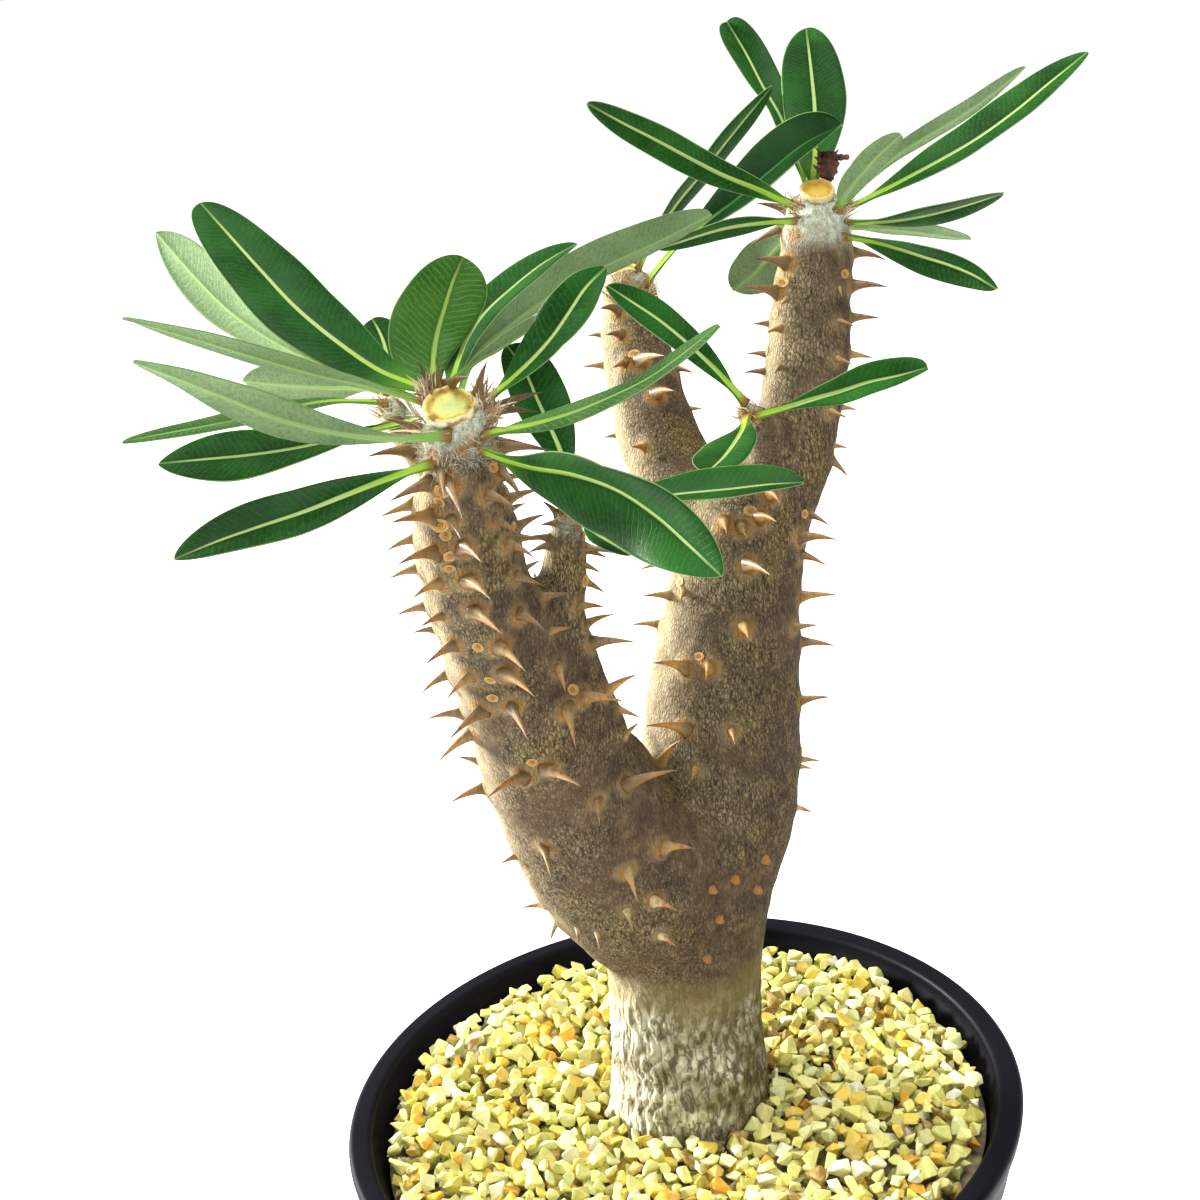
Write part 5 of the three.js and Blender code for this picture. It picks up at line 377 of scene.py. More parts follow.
# ------------------------------------------------------------------ helpers: materials
class Nodes:
    def __init__(self, name, rough=0.6, spec=0.5):
        self.m = bpy.data.materials.new(name)
        self.m.use_nodes = True
        self.t = self.m.node_tree
        self.t.nodes.clear()
        self.out = self.t.nodes.new("ShaderNodeOutputMaterial")
        self.b = self.t.nodes.new("ShaderNodeBsdfPrincipled")
        self.t.links.new(self.b.outputs[0], self.out.inputs[0])
        self.b.inputs["Roughness"].default_value = rough
        self.b.inputs["Specular IOR Level"].default_value = spec
        self._coord = None

    def link(self, a, b):
        self.t.links.new(a, b)

    def put(self, sock, v):
        if v is None:
            return
        if isinstance(v, bpy.types.NodeSocket):
            self.link(v, sock)
        elif isinstance(v, (tuple, list)):
            sock.default_value = tuple(v) + ((1.0,) if len(v) == 3 and len(sock.default_value) == 4 else ())
        else:
            sock.default_value = v

    def pos(self):
        if self._coord is None:
            self._coord = self.t.nodes.new("ShaderNodeTexCoord").outputs["Object"]
        return self._coord

    def scaled(self, s, vec=None):
        n = self.t.nodes.new("ShaderNodeMapping")
        self.link(vec or self.pos(), n.inputs["Vector"])
        n.inputs["Scale"].default_value = s if isinstance(s, tuple) else (s, s, s)
        return n.outputs[0]

    def shifted(self, vec, by, amount):
        c = self.t.nodes.new("ShaderNodeVectorMath")
        c.operation = "MULTIPLY_ADD"
        self.link(by, c.inputs[0])
        c.inputs[1].default_value = (amount, amount, amount)
        self.link(vec, c.inputs[2])
        return c.outputs[0]

    def attr(self, name, out="Fac"):
        n = self.t.nodes.new("ShaderNodeAttribute")
        n.attribute_name = name
        return n.outputs[out]

    def noise(self, vec=None, scale=1.0, detail=3.0, rough=0.5, dist=0.0, out=0):
        n = self.t.nodes.new("ShaderNodeTexNoise")
        self.link(vec or self.pos(), n.inputs["Vector"])
        n.inputs["Scale"].default_value = scale
        n.inputs["Detail"].default_value = detail
        n.inputs["Roughness"].default_value = rough
        n.inputs["Distortion"].default_value = dist
        return n.outputs[out]

    def voronoi(self, vec=None, scale=1.0, feature="DISTANCE_TO_EDGE", rand=1.0):
        n = self.t.nodes.new("ShaderNodeTexVoronoi")
        n.feature = feature
        self.link(vec or self.pos(), n.inputs["Vector"])
        n.inputs["Scale"].default_value = scale
        n.inputs["Randomness"].default_value = rand
        return n.outputs[0]

    def math(self, op, a, b=None, c=None, clamp=False):
        n = self.t.nodes.new("ShaderNodeMath")
        n.operation = op
        n.use_clamp = clamp
        self.put(n.inputs[0], a)
        self.put(n.inputs[1], b)
        if c is not None:
            self.put(n.inputs[2], c)
        return n.outputs[0]

    def step(self, v, lo, hi, a=0.0, b=1.0):
        n = self.t.nodes.new("ShaderNodeMapRange")
        n.interpolation_type = "SMOOTHSTEP"
        self.put(n.inputs[0], v)
        n.inputs[1].default_value = lo
        n.inputs[2].default_value = hi
        n.inputs[3].default_value = a
        n.inputs[4].default_value = b
        return n.outputs[0]

    def mix(self, f, a, b, kind="MIX"):
        n = self.t.nodes.new("ShaderNodeMix")
        n.data_type = "RGBA"
        n.blend_type = kind
        self.put(n.inputs[0], f)
        self.put(n.inputs[6], a)
        self.put(n.inputs[7], b)
        return n.outputs[2]

    def ramp(self, f, stops):
        n = self.t.nodes.new("ShaderNodeValToRGB")
        self.link(f, n.inputs[0])
        e = n.color_ramp.elements
        while len(e) < len(stops):
            e.new(0.5)
        for k, (x, c) in enumerate(stops):
            e[k].position = x
            e[k].color = tuple(c) + (1.0,)
        return n.outputs[0]

    def bump(self, height, strength=0.5, dist=0.0005, prev=None):
        n = self.t.nodes.new("ShaderNodeBump")
        n.inputs["Strength"].default_value = strength
        n.inputs["Distance"].default_value = dist
        self.link(height, n.inputs["Height"])
        if prev is not None:
            self.link(prev, n.inputs["Normal"])
        return n.outputs[0]

    def done(self, colour=None, rough=None, normal=None, **more):
        if colour is not None:
            self.put(self.b.inputs["Base Color"], colour)
        if rough is not None:
            self.put(self.b.inputs["Roughness"], rough)
        if normal is not None:
            self.link(normal, self.b.inputs["Normal"])
        for k, v in more.items():
            self.b.inputs[k.replace("_", " ")].default_value = v
        return self.m


def dress(o, *mats):
    o.data.materials.clear()
    for m in mats:
        o.data.materials.append(m)
    return o


def keep(o, slot, *nodes):
    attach(o, "root")
    if nodes:
        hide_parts(*nodes)
    return o

# ------------------------------------------------------------------ camera
CAM_AT = arr([-5.7560, -395.4440, 407.8854])
CAM_RIGHT = arr([0.99312591, -0.04142302, -0.10947627])
CAM_UP = arr([0.11705093, 0.35145619, 0.92885824])
CAM_FRONT = arr([0.0, 0.93528749, -0.35388851])
FOCAL_PX = 1900.0

cam_data = bpy.data.cameras.new("front_camera")
cam = bpy.data.objects.new("front_camera", cam_data)
bpy.context.scene.collection.objects.link(cam)
cam_data.sensor_width = 36.0
cam_data.lens = 57.0
cam_data.clip_start = 0.01
cam_data.clip_end = 30.0
cam.matrix_world = Matrix([[CAM_RIGHT[k], CAM_UP[k], -CAM_FRONT[k], CAM_AT[k] * MM] for k in range(3)] + [[0, 0, 0, 1]])
bpy.context.scene.camera = cam


def ray(u, v):
    """direction of the sight line through a point of the 1200 x 1200 frame"""
    return unit(CAM_RIGHT * (u - 600) / FOCAL_PX - CAM_UP * (v - 600) / FOCAL_PX + CAM_FRONT)


def tree_of(o):
    """search tree of an object's mesh in millimetres"""
    co = mesh_arrays(o.data)
    return BVHTree.FromPolygons([Vector(c) for c in co], [list(p.vertices) for p in o.data.polygons])


def hit(tree, u, v):
    p, n, i, d = tree.ray_cast(Vector(CAM_AT), Vector(ray(u, v)))
    return (arr(p), arr(n)) if p is not None else (None, None)


# ------------------------------------------------------------------ stem: one grown body
def branch_line(rows, step=1.6):
    rows = arr(rows)
    seg = np.linalg.norm(np.diff(rows[:, :3], axis=0), axis=1).sum()
    out = catmull(rows, np.linspace(0, 1, max(int(seg / step), 12)))
    t = unit(out[-1, :3] - out[-3, :3])
    r = out[-1, 3]
    ends = [np.r_[out[-1, :3] + t * r * 0.74 * math.sin(a), max(r * math.cos(a), 0.15)] for a in np.linspace(0.25, math.pi / 2, 6)]
    return np.vstack([out, ends])


AXES = {k: branch_line(v) for k, v in BRANCHES.items()}

stem_parts = Bag()
for name, line in AXES.items():
    co, faces = tube(line[:, :3], line[:, 3], 40)
    stem_parts.add(co, faces)
raw = stem_parts.make("raw_stem")
fix_normals(raw)
mod = raw.modifiers.new("weld", "REMESH")
mod.mode = "VOXEL"
mod.voxel_size = 0.81 * MM
deps = bpy.context.evaluated_depsgraph_get()
welded = bpy.data.meshes.new_from_object(raw.evaluated_get(deps))
bpy.data.objects.remove(raw)
S = mesh_arrays(welded)
quads = np.array([list(p.vertices) if len(p.vertices) == 4 else list(p.vertices) + [p.vertices[2]] for p in welded.polygons], dtype=np.int64)
bpy.data.meshes.remove(welded)
edges = np.vstack([quads[:, [0, 1]], quads[:, [1, 2]], quads[:, [2, 3]], quads[:, [3, 0]]])
edges = edges[edges[:, 0] != edges[:, 1]]
edges = np.unique(np.sort(edges, axis=1), axis=0)
count = np.bincount(edges.ravel(), minlength=len(S)).astype(float)


def around(F):
    F2 = F if F.ndim == 2 else F[:, None]
    out = np.zeros_like(F2)
    for k in range(F2.shape[1]):
        out[:, k] = np.bincount(edges[:, 0], F2[edges[:, 1], k], len(F2)) + np.bincount(edges[:, 1], F2[edges[:, 0], k], len(F2))
    out /= np.maximum(count, 1)[:, None]
    return out if F.ndim == 2 else out[:, 0]


for k in range(4):
    S = S + 0.5 * (around(S) - S)
for k in range(46):  # fills the crotches, leaves the rest where it is
    N = vertex_normals(S, quads)
    move = ((around(S) - S) * N).sum(1)
    S = S + N * np.clip(move, 0, None)[:, None] * 0.9
N = vertex_normals(S, quads)

# growth marks as weights per point
spine_rows = arr(SPINES)
base = spine_rows[:, 0:3]
tips = spine_rows[:, 3:6]
swell = np.zeros(len(S))
for b, t, L in zip(base, tips, spine_rows[:, 6]):
    near = np.abs(S - b).max(1) < 9.0
    d = np.linalg.norm(S[near] - b, axis=1)
    swell[near] = np.maximum(swell[near], np.exp(-(d / 2.9) ** 2) * min(L / 9.0, 1.1))
head_ends = {"left": 8.5, "right": 9.0, "mid": 7.0, "side": 5.0, "back": 6.5, "shoot": 3.2}
WOOL_GAIN = {"left": 1.0, "right": 1.0, "mid": 0.6, "side": 0.35, "back": 0.8, "shoot": 0.5}
woolly = np.zeros(len(S))
for k, reach in head_ends.items():
    e = AXES[k][-1, :3]
    d = np.linalg.norm(S - e, axis=1)
    woolly = np.maximum(woolly, WOOL_GAIN[k] * (1 - smooth01(reach * 0.95, reach * 1.75, d)))
trunk_xy = arr([[r[2], r[0], r[1]] for r in BRANCHES["trunk"]])
cx = np.interp(S[:, 2], trunk_xy[:, 0], trunk_xy[:, 1])
cy = np.interp(S[:, 2], trunk_xy[:, 0], trunk_xy[:, 2])
theta = np.arctan2(S[:, 1] - cy, S[:, 0] - cx)
low = 1 - smooth01(151.0, 171.0, S[:, 2] + 5.0 * noise3(S, 0.05, 4.0))
coarse = noise3(S, 0.045, 1.0)
middle = noise3(S, 0.14, 2.0)
fine = noise3(S, 0.42, 3.0)
zig = theta * 34 + 1.9 * np.sin(S[:, 2] / 2.4 + 3.2 * coarse) + 5.0 * middle + 1.6 * fine
ridge = np.sin(zig) + 0.35 * np.sin(2.3 * zig + 1.7)
rings = np.clip(np.sin(S[:, 2] / 2.6 + 5.5 * coarse + 2.0 * middle) - 0.55, 0, 1)
lift = 0.62 * coarse + 0.34 * middle + 0.12 * fine + swell * 0.95
lift += low * (0.20 * ridge - 0.05 + 0.22 * fine) - (1 - low) * (1 - woolly) * 0.05 * rings
S2 = S + N * lift[:, None]
S2[S[:, 2] < 70] = S[S[:, 2] < 70]
# flat seats under the growing tips
TIP_LEFT, TIP_LEFT_N = arr(BRANCHES["left"][-1][:3]) + arr([-0.6, -3.6, 3.05]), unit([0.03, -0.56, 0.83])
TIP_RIGHT, TIP_RIGHT_N = arr(BRANCHES["right"][-1][:3]) + arr([-0.4, -2.9, 5.4]), unit([-0.03, -0.50, 0.86])
for tip, tip_n, reach in ((TIP_LEFT, TIP_LEFT_N, 5.6), (TIP_RIGHT, TIP_RIGHT_N, 4.4)):
    near = np.linalg.norm(S2 - tip, axis=1) < reach
    over = np.clip((S2[near] - tip) @ tip_n + 0.75, 0, None)
    S2[near] -= over[:, None] * tip_n
N2 = vertex_normals(S2, quads)
# painted light: bark turned towards the key light on the left is marked here (bk_painted_lit_side), and the bark shader
# paints it cream as a painted highlight
lit_side_paint = smooth01(0.34, 0.86, N2 @ unit([-0.93, 0.22, 0.10])) * (1 - 0.22 * smooth01(0.0, 24.0, S[:, 0]))
# painted light: bark facing left-front, towards the key light, is marked here (bk_painted_lit_front) and painted paler
# in the bark shader
pale = smooth01(-0.35, 0.95, N2 @ unit([-0.86, -0.50, 0.05]))
stem = new_mesh("stem_bark", S2, quads, True,
                {"bk_low": low, "bk_ridge": ridge, "bk_swell": np.clip(swell, 0, 1), "bk_wool": woolly, "bk_ring": rings, "bk_painted_lit_side": lit_side_paint,
                 "bk_turn": theta / (2 * math.pi) + 0.5, "bk_painted_lit_front": pale})
stem_tree = tree_of(stem)


def on_bark(p):
    q, n, i, d = stem_tree.find_nearest(Vector(p))
    return arr(q), arr(n)


# ------------------------------------------------------------------ spines, each a broad based, slightly hooked thorn
thorns = Bag()
SIDES_T = 12
for row in spine_rows:
    b, t, L, kind = row[0:3], row[3:6], row[6], row[7]
    for tip, reach in ((TIP_LEFT, 5.7), (TIP_RIGHT, 4.6)):
        off = (b - tip) * [1, 1, 0.25]
        if np.linalg.norm(off) < reach:
            push = unit(off * [1, 1, 0]) * (reach - np.linalg.norm(off))
            b, t = b + push, t + push
    axis = unit(t - b)
    q, nq = on_bark(b)
    foot = q - axis * 1.1
    L2 = np.linalg.norm(t - foot)
    ts = np.array([0, 0.06, 0.12, 0.19, 0.27, 0.37, 0.48, 0.6, 0.72, 0.83, 0.92, 0.975, 1.0])
    sag = unit(np.cross(np.cross(axis, [0, 0, 1.0]), axis))
    hook = 0.055 * L * (0.6 + 0.8 * rng.random())
    P = foot + np.outer(ts, t - foot) + np.outer(np.sin(ts * math.pi) * hook, sag)
    r0 = min(0.50 + L * 0.068, 1.20)
    R = r0 * (1.02 * (1 - ts) ** 1.0 + 0.50 * np.exp(-(ts / 0.15) ** 1.5)) + 0.03
    T, X, Y = transport(P, sag + 0.01)
    a = np.arange(SIDES_T) / SIDES_T * 2 * math.pi
    keel = 1 + 0.10 * np.cos(a * 3 + rng.random() * 6)
    co = P[:, None] + (np.cos(a)[None, :, None] * X[:, None] * 1.16 + np.sin(a)[None, :, None] * Y[:, None] * 0.90) * (R[:, None] * keel[None])[..., None]
    # painted highlight: points of each thorn facing up towards the light are marked (th_up) to be painted paler
    painted_highlight_side = np.clip(((co - P[:, None]) / (R[:, None, None] * 1.1)) @ unit([-0.35, -0.25, 0.9]), 0, 1).ravel() ** 2
    co = co.reshape(-1, 3)
    faces = grid_faces(len(ts), SIDES_T).tolist()
    faces.append(list(range(SIDES_T))[::-1])
    faces.append([(len(ts) - 1) * SIDES_T + j for j in range(SIDES_T)])
    # how near the crowns: 1 = young
    crown = max(1 - smooth01(8.0, 42.0, np.linalg.norm(AXES[k][-1, :3] - b)) for k in ("left", "right", "mid", "back", "side", "shoot"))
    under = 1.0 - float(smooth01(197, 210, b[2]))
    thorns.add(co, faces, th_t=np.repeat(ts, SIDES_T), th_young=float(crown), th_old=under, th_mix=float(rng.random()), th_up=painted_highlight_side)
spines = thorns.make("spines")
fix_normals(spines)

# ------------------------------------------------------------------ round leaf scars beside the spine pairs
scar_bag = Bag()


def scar(p, n, radius, drop=0.25):
    n = unit(n)
    x = unit(np.cross(n, [0.1, 0.2, 0.95]))
    y = np.cross(n, x)
    rr = np.array([0.02, 0.14, 0.24, 0.36, 0.48, 0.60, 0.72, 0.84, 0.94, 1.02, 1.12])
    hh = np.array([0.06, 0.30, 0.34, 0.10, 0.12, 0.34, 0.32, 0.18, 0.34, 0.22, -0.5])
    k = 26
    a = np.arange(k) / k * 2 * math.pi
    wob = 1 + 0.06 * np.sin(a * 2 + rng.random() * 6) + 0.03 * np.sin(a * 5 + rng.random() * 6)
    co = p + ((np.cos(a) * wob)[None, :, None] * x + (np.sin(a) * wob * 0.86)[None, :, None] * y) * (rr * radius)[:, None, None] + n * (hh * radius * 0.5 - 0.02)[:, None, None]
    co = co.reshape(-1, 3)
    faces = grid_faces(len(rr), k).tolist()
    faces.append(list(range(k))[::-1])
    co = np.vstack([co, p - n * radius * 0.9])
    last = (len(rr) - 1) * k
    for j in range(k):
        faces.append([last + j, last + (j + 1) % k, len(co) - 1])
    scar_bag.add(co, faces, sc_r=np.r_[np.repeat(rr, k), 1.2], sc_mix=float(rng.random()))


for u, v, r in SCARS_PX:
    p, n = hit(stem_tree, u, v)
    if p is not None:
        scar(p, n, r)
done_pairs = []
for i in range(len(base)):
    for j in range(i + 1, len(base)):
        if np.linalg.norm(base[i] - base[j]) < 6.5 and base[i][2] > 200:
            mid = (base[i] + base[j]) / 2 + arr([0, 0, 3.1])
            q, n = on_bark(mid)
            if np.linalg.norm(q - mid) < 3.5 and all(np.linalg.norm(q - o) > 5.5 for o in done_pairs) and np.min(np.linalg.norm(base - q, axis=1)) > 1.6:
                far = min(np.linalg.norm(AXES[k][-1, :3] - q) for k in ("left", "right", "mid"))
                if far > 13 and N is not None:
                    done_pairs.append(q)
                    scar(q, n, 1.15 + 0.35 * rng.random())
scars = scar_bag.make("leaf_scars")
fix_normals(scars)

# ------------------------------------------------------------------ worn stubs where old spines broke away
stub_bag = Bag()
for u, v, r in STUBS_PX:
    p, n = hit(stem_tree, u, v)
    if p is None:
        continue
    d = unit(n + arr([0.10, 0, -0.25]))
    line = np.array([p - d * 0.8, p + d * 0.2, p + d * 0.8, p + d * 1.3, p + d * 1.55])
    co, faces = tube(line, arr([1.7, 1.15, 0.74, 0.5, 0.2]) * r, 10)
    co = co + 0.07 * rng.standard_normal(co.shape)
    stub_bag.add(co, faces, st=np.r_[np.repeat([0, .3, .6, .9, 1.0], 10), 0, 1])
stubs = stub_bag.make("worn_spine_stubs")
fix_normals(stubs)

# ------------------------------------------------------------------ leaves
def leaf_piece(name, spec):
    path, ups, W, tw, p1, p2, fold, q2, lop0, lop1, tint = spec
    ts = np.r_[np.linspace(0, 0.1, 8)[:-1], np.linspace(0.1, 0.88, 40)[:-1], 1 - 0.12 * (1 - np.linspace(0, 1, 16)) ** 1.7]
    path = arr(path)
    ups = arr(ups)
    P = catmull(path, ts)
    tan = unit(catmull(path, np.minimum(ts + 0.03, 1)) - catmull(path, np.maximum(ts - 0.03, 0)))
    # the stalk reaches a little further back, into the bark
    root = smooth01(0.05, 0.0, ts)
    P = P - tan[0] * (1.7 * root)[:, None]
    f = np.where(ts < 0.5, ts * 2, ts * 2 - 1)[:, None]
    u0 = np.where(ts[:, None] < 0.5, ups[0], ups[1])
    u1 = np.where(ts[:, None] < 0.5, ups[1], ups[2])
    up = u0 * (1 - f) + u1 * f
    up = unit(up - (up * tan).sum(1)[:, None] * tan)
    side = np.cross(tan, up)
    seg = np.r_[0, np.cumsum(np.linalg.norm(np.diff(P, axis=0), axis=1))]
    b = np.clip((ts - tw) / (1 - tw), 0, 1)
    prof = np.where(ts <= tw, np.sin(np.clip(ts / tw, 0, 1) * math.pi / 2) ** p1, np.maximum(1 - b ** q2, 0) ** p2)
    petiole = (0.80 + 0.75 * np.exp(-(seg / 1.6))) * smooth01(0.9, 0.5, ts)
    h = np.maximum(prof * W / 2, petiole)
    h = np.maximum(h, 0.06)
    M = 27
    x = np.linspace(-1, 1, M)
    u = np.sign(x) * (0.35 * np.abs(x) + 0.65 * np.abs(x) ** 1.6) if W < 12 else np.sign(x) * (0.45 * np.abs(x) + 0.55 * np.abs(x) ** 1.5)
    lop = lop0 + (lop1 - lop0) * ts
    half = np.where(u[None, :] >= 0, (h * (1 - lop))[:, None], (h * (1 + lop))[:, None])
    a = u[None, :] * half
    A = np.abs(a)
    seed = zlib.crc32(name.encode()) % 97 * 0.37
    fo = math.radians(fold)
    blade = smooth01(0.03, 0.16, ts)[:, None]
    lift = A * math.sin(fo) + 0.05 * h[:, None] * (1 - (1 - np.abs(u)[None, :]) ** 2) * blade
    lift -= 0.07 * h[:, None] * np.abs(u)[None, :] ** 5 * blade
    wave = np.sin(seg[:, None] / 6.3 + seed + (u[None, :] > 0) * 1.9) * 0.26 + np.sin(seg[:, None] / 2.9 + seed * 2 + (u[None, :] > 0) * 0.7) * 0.08
    lift += wave * np.abs(u)[None, :] ** 1.5 * blade * smooth01(3, 9, W)
    width = a * math.cos(fo)
    thick = (0.46 - 0.24 * np.abs(u))[None, :] * blade + (1 - blade) * 1.15 * np.sqrt(np.clip(1 - u[None, :] ** 2 * 0.92, 0.02, 1))
    thick = thick * (1 - 0.3 * smooth01(0.8, 1.0, ts))[:, None]
    vein = np.cos((seg[:, None] - A * 0.62) * 2 * math.pi / 2.7) * smooth01(0.6, 1.6, A) * (1 - np.abs(u)[None, :] ** 6)
    fade = (1 - 0.75 * ts)[:, None]
    groove = np.exp(-(a / 0.62) ** 2) * blade * fade
    top = lift + thick / 2 - 0.22 * groove - 0.005 * vein * blade
    low_rib = np.exp(-(a / 0.72) ** 2) * blade * fade
    bot = lift - thick / 2 - 0.58 * low_rib - 0.005 * vein * blade
    ct = P[:, None] + side[:, None] * width[..., None] + up[:, None] * top[..., None]
    cb = P[:, None] + side[:, None] * width[..., None] + up[:, None] * bot[..., None]
    n = len(ts)
    co = np.vstack([ct.reshape(-1, 3), cb.reshape(-1, 3)])
    ft = grid_faces(n, M, wrap=False)
    fb = grid_faces(n, M, wrap=False, base=n * M)[:, ::-1]
    faces = ft.tolist() + fb.tolist()
    o = n * M
    for i in range(n - 1):
        faces.append([i * M, (i + 1) * M, o + (i + 1) * M, o + i * M])
        faces.append([(i + 1) * M - 1, o + (i + 1) * M - 1, o + (i + 2) * M - 1, (i + 2) * M - 1])
    for j in range(M - 1):
        faces.append([j + 1, j, o + j, o + j + 1])
        e = (n - 1) * M
        faces.append([e + j, e + j + 1, o + e + j + 1, o + e + j])
    rep = lambda F: np.r_[np.broadcast_to(F, (n, M)).ravel(), np.broadcast_to(F, (n, M)).ravel()]
    obj = new_mesh(name + "_blade", co, faces, True, {
        "lf_a": rep(a), "lf_s": rep(seg[:, None]), "lf_e": rep(np.abs(u)[None, :] * np.where(ts > 0.93, 1, 1)[:, None]), "lf_t": rep(ts[:, None]),
        "lf_h": rep(h[:, None]), "lf_under": np.r_[np.zeros(n * M), np.ones(n * M)], "lf_tint": np.full(2 * n * M, tint), "lf_seed": np.full(2 * n * M, seed)})
    fix_normals(obj)
    return obj


# ------------------------------------------------------------------ crowns
def crown_frame(key):
    e = AXES[key][-1, :3]
    t = unit(AXES[key][-1, :3] - AXES[key][-12, :3])
    return e, t


def wool_ring(bag, key, count, z_down, radius, tones, length=(1.2, 2.6), lean=0.35, thick=0.036, clear=None):
    e, t = crown_frame(key)
    x = unit(np.cross(t, [0.2, 0.1, 0.9]))
    y = np.cross(t, x)
    for k in range(count):
        a = rng.random() * 2 * math.pi
        s = rng.random() ** 0.8 * z_down
        rr = radius * (0.75 + 0.45 * rng.random())
        guess = e - t * (s + 0.5) + (x * math.cos(a) + y * math.sin(a)) * rr
        q, n = on_bark(guess)
        if clear is not None and np.linalg.norm(q - clear[0]) < clear[1]:
            continue
        d = unit(n * 0.45 + lean * t + 0.8 * rng.standard_normal(3))
        depth = s / z_down
        tone = arr(tones[int(rng.integers(len(tones)))]) * (1.0 - 0.45 * depth) * (0.85 + 0.3 * rng.random())
        L = length[0] + (length[1] - length[0]) * rng.random()
        strand(bag, q - n * 0.15, d, L, thick * (0.7 + 0.6 * rng.random()), bend=0.45 * rng.standard_normal(3), wave=0.14, colour=np.clip(tone, 0, 1), segs=4, sides=3, seed=rng.random() * 9)


def fibre_fan(bag, centre, main, spread, count, length, tones, r0=0.16, scatter=1.2, bend=0.25):
    q0, n0 = on_bark(centre)
    for k in range(count):
        q, n = on_bark(q0 + scatter * rng.standard_normal(3))
        d = unit(unit(main) + spread * rng.standard_normal(3))
        tone = arr(tones[int(rng.integers(len(tones)))]) * (0.75 + 0.5 * rng.random())
        L = length * (0.40 + 0.70 * rng.random())
        strand(bag, q - n * 0.3, d, L, r0 * (0.6 + 0.9 * rng.random()), bend=bend * rng.standard_normal(3), wave=0.25, colour=np.clip(tone, 0, 1), segs=6, sides=4, flat=0.45, seed=rng.random() * 9)


def dish(name, centre, n, radius, oval=1.0, deep=0.8, rim=0.55, seed=0.0):
    """growing tip scar: shallow oval dish with a raised rim"""
    n = unit(n)
    x = unit(arr([1.0, 0.05, 0.0]) - n * n[0])
    y = np.cross(n, x)
    rr = np.array([0.01, 0.12, 0.25, 0.38, 0.5, 0.62, 0.72, 0.8, 0.87, 0.94, 1.0, 1.06, 1.1, 1.12, 1.1])
    hh = np.array([0.16, 0.12, 0.04, -0.02, -0.08, -0.12, -0.10, 0.02, 0.44, 0.80, 0.95, 0.85, 0.45, -0.35, -0.9])
    k = 60
    a = np.arange(k) / k * 2 * math.pi
    wob = 1 + 0.05 * np.sin(a * 2 + seed) + 0.04 * np.sin(a * 3 + seed * 2) + 0.018 * np.sin(a * 9 + seed)
    H = np.broadcast_to((np.where(hh > 0.4, hh * rim, hh * deep))[:, None], (len(rr), k)).copy()
    H += 0.10 * np.sin(a * 5 + seed)[None] * (rr[:, None] > 0.6) + 0.12 * np.sin(a * 11 + rr[:, None] * 9)[...] * (rr[:, None] > 0.3) * 0.5
    co = centre + ((np.cos(a) * wob)[None, :, None] * x + (np.sin(a) * wob * oval)[None, :, None] * y) * (rr * radius)[:, None, None] + n * H[..., None]
    co = co.reshape(-1, 3)
    faces = grid_faces(len(rr), k).tolist()
    faces.append(list(range(k))[::-1])
    faces.append([(len(rr) - 1) * k + j for j in range(k)])
    o = new_mesh(name, co, faces, True, {"ds_r": np.repeat(rr, k), "ds_a": np.tile(a, len(rr))})
    return fix_normals(o)


# ------------------------------------------------------------------ gravel
def grain_shapes(count, pts, bevel):
    shapes = []
    for k in range(count):
        bm = bmesh.new()
        box = np.array([1.0, 0.80 + 0.2 * rng.random(), 0.58 + 0.3 * rng.random()])
        for i in range(pts):
            v = rng.standard_normal(3)
            v = v / np.abs(v).max() * (0.72 + 0.28 * rng.random(3)) if rng.random() < 0.55 else v / np.linalg.norm(v)
            bm.verts.new(Vector(v * box * (0.86 + 0.22 * rng.random())))
        res = bmesh.ops.convex_hull(bm, input=bm.verts)
        loose = [v for v in bm.verts if not v.link_faces]
        bmesh.ops.delete(bm, geom=loose, context="VERTS")
        bmesh.ops.dissolve_limit(bm, angle_limit=math.radians(16), verts=bm.verts, edges=bm.edges)
        if bevel:
            bmesh.ops.bevel(bm, geom=list(bm.edges), offset=bevel, offset_type="OFFSET", segments=1, profile=0.6, affect="EDGES", clamp_overlap=True)
        bmesh.ops.triangulate(bm, faces=bm.faces)
        bmesh.ops.recalc_face_normals(bm, faces=bm.faces)
        bm.verts.index_update()
        co = arr([v.co for v in bm.verts])
        co = co / np.abs(co).max()
        shapes.append((co, [[v.index for v in f.verts] for f in bm.faces]))
        bm.free()
    return shapes


def scatter(radius, gap, tries, keep_out):
    """points in a disc, no two nearer than gap"""
    cell = gap / math.sqrt(2)
    grid, out = {}, []
    for k in range(tries):
        r, a = radius * math.sqrt(rng.random()), rng.random() * 2 * math.pi
        x, y = r * math.cos(a), r * math.sin(a)
        if keep_out(x, y):
            continue
        i, j = int(x // cell), int(y // cell)
        if any((x - p[0]) ** 2 + (y - p[1]) ** 2 < gap * gap for di in (-2, -1, 0, 1, 2) for dj in (-2, -1, 0, 1, 2) for p in grid.get((i + di, j + dj), ())):
            continue
        grid.setdefault((i, j), []).append((x, y))
        out.append((x, y))
    return out


def turn(rnd):
    q = rnd.standard_normal(4)
    q /= np.linalg.norm(q)
    w, x, y, z = q
    return arr([[1 - 2 * (y * y + z * z), 2 * (x * y - z * w), 2 * (x * z + y * w)],
                [2 * (x * y + z * w), 1 - 2 * (x * x + z * z), 2 * (y * z - x * w)],
                [2 * (x * z - y * w), 2 * (y * z + x * w), 1 - 2 * (x * x + y * y)]])


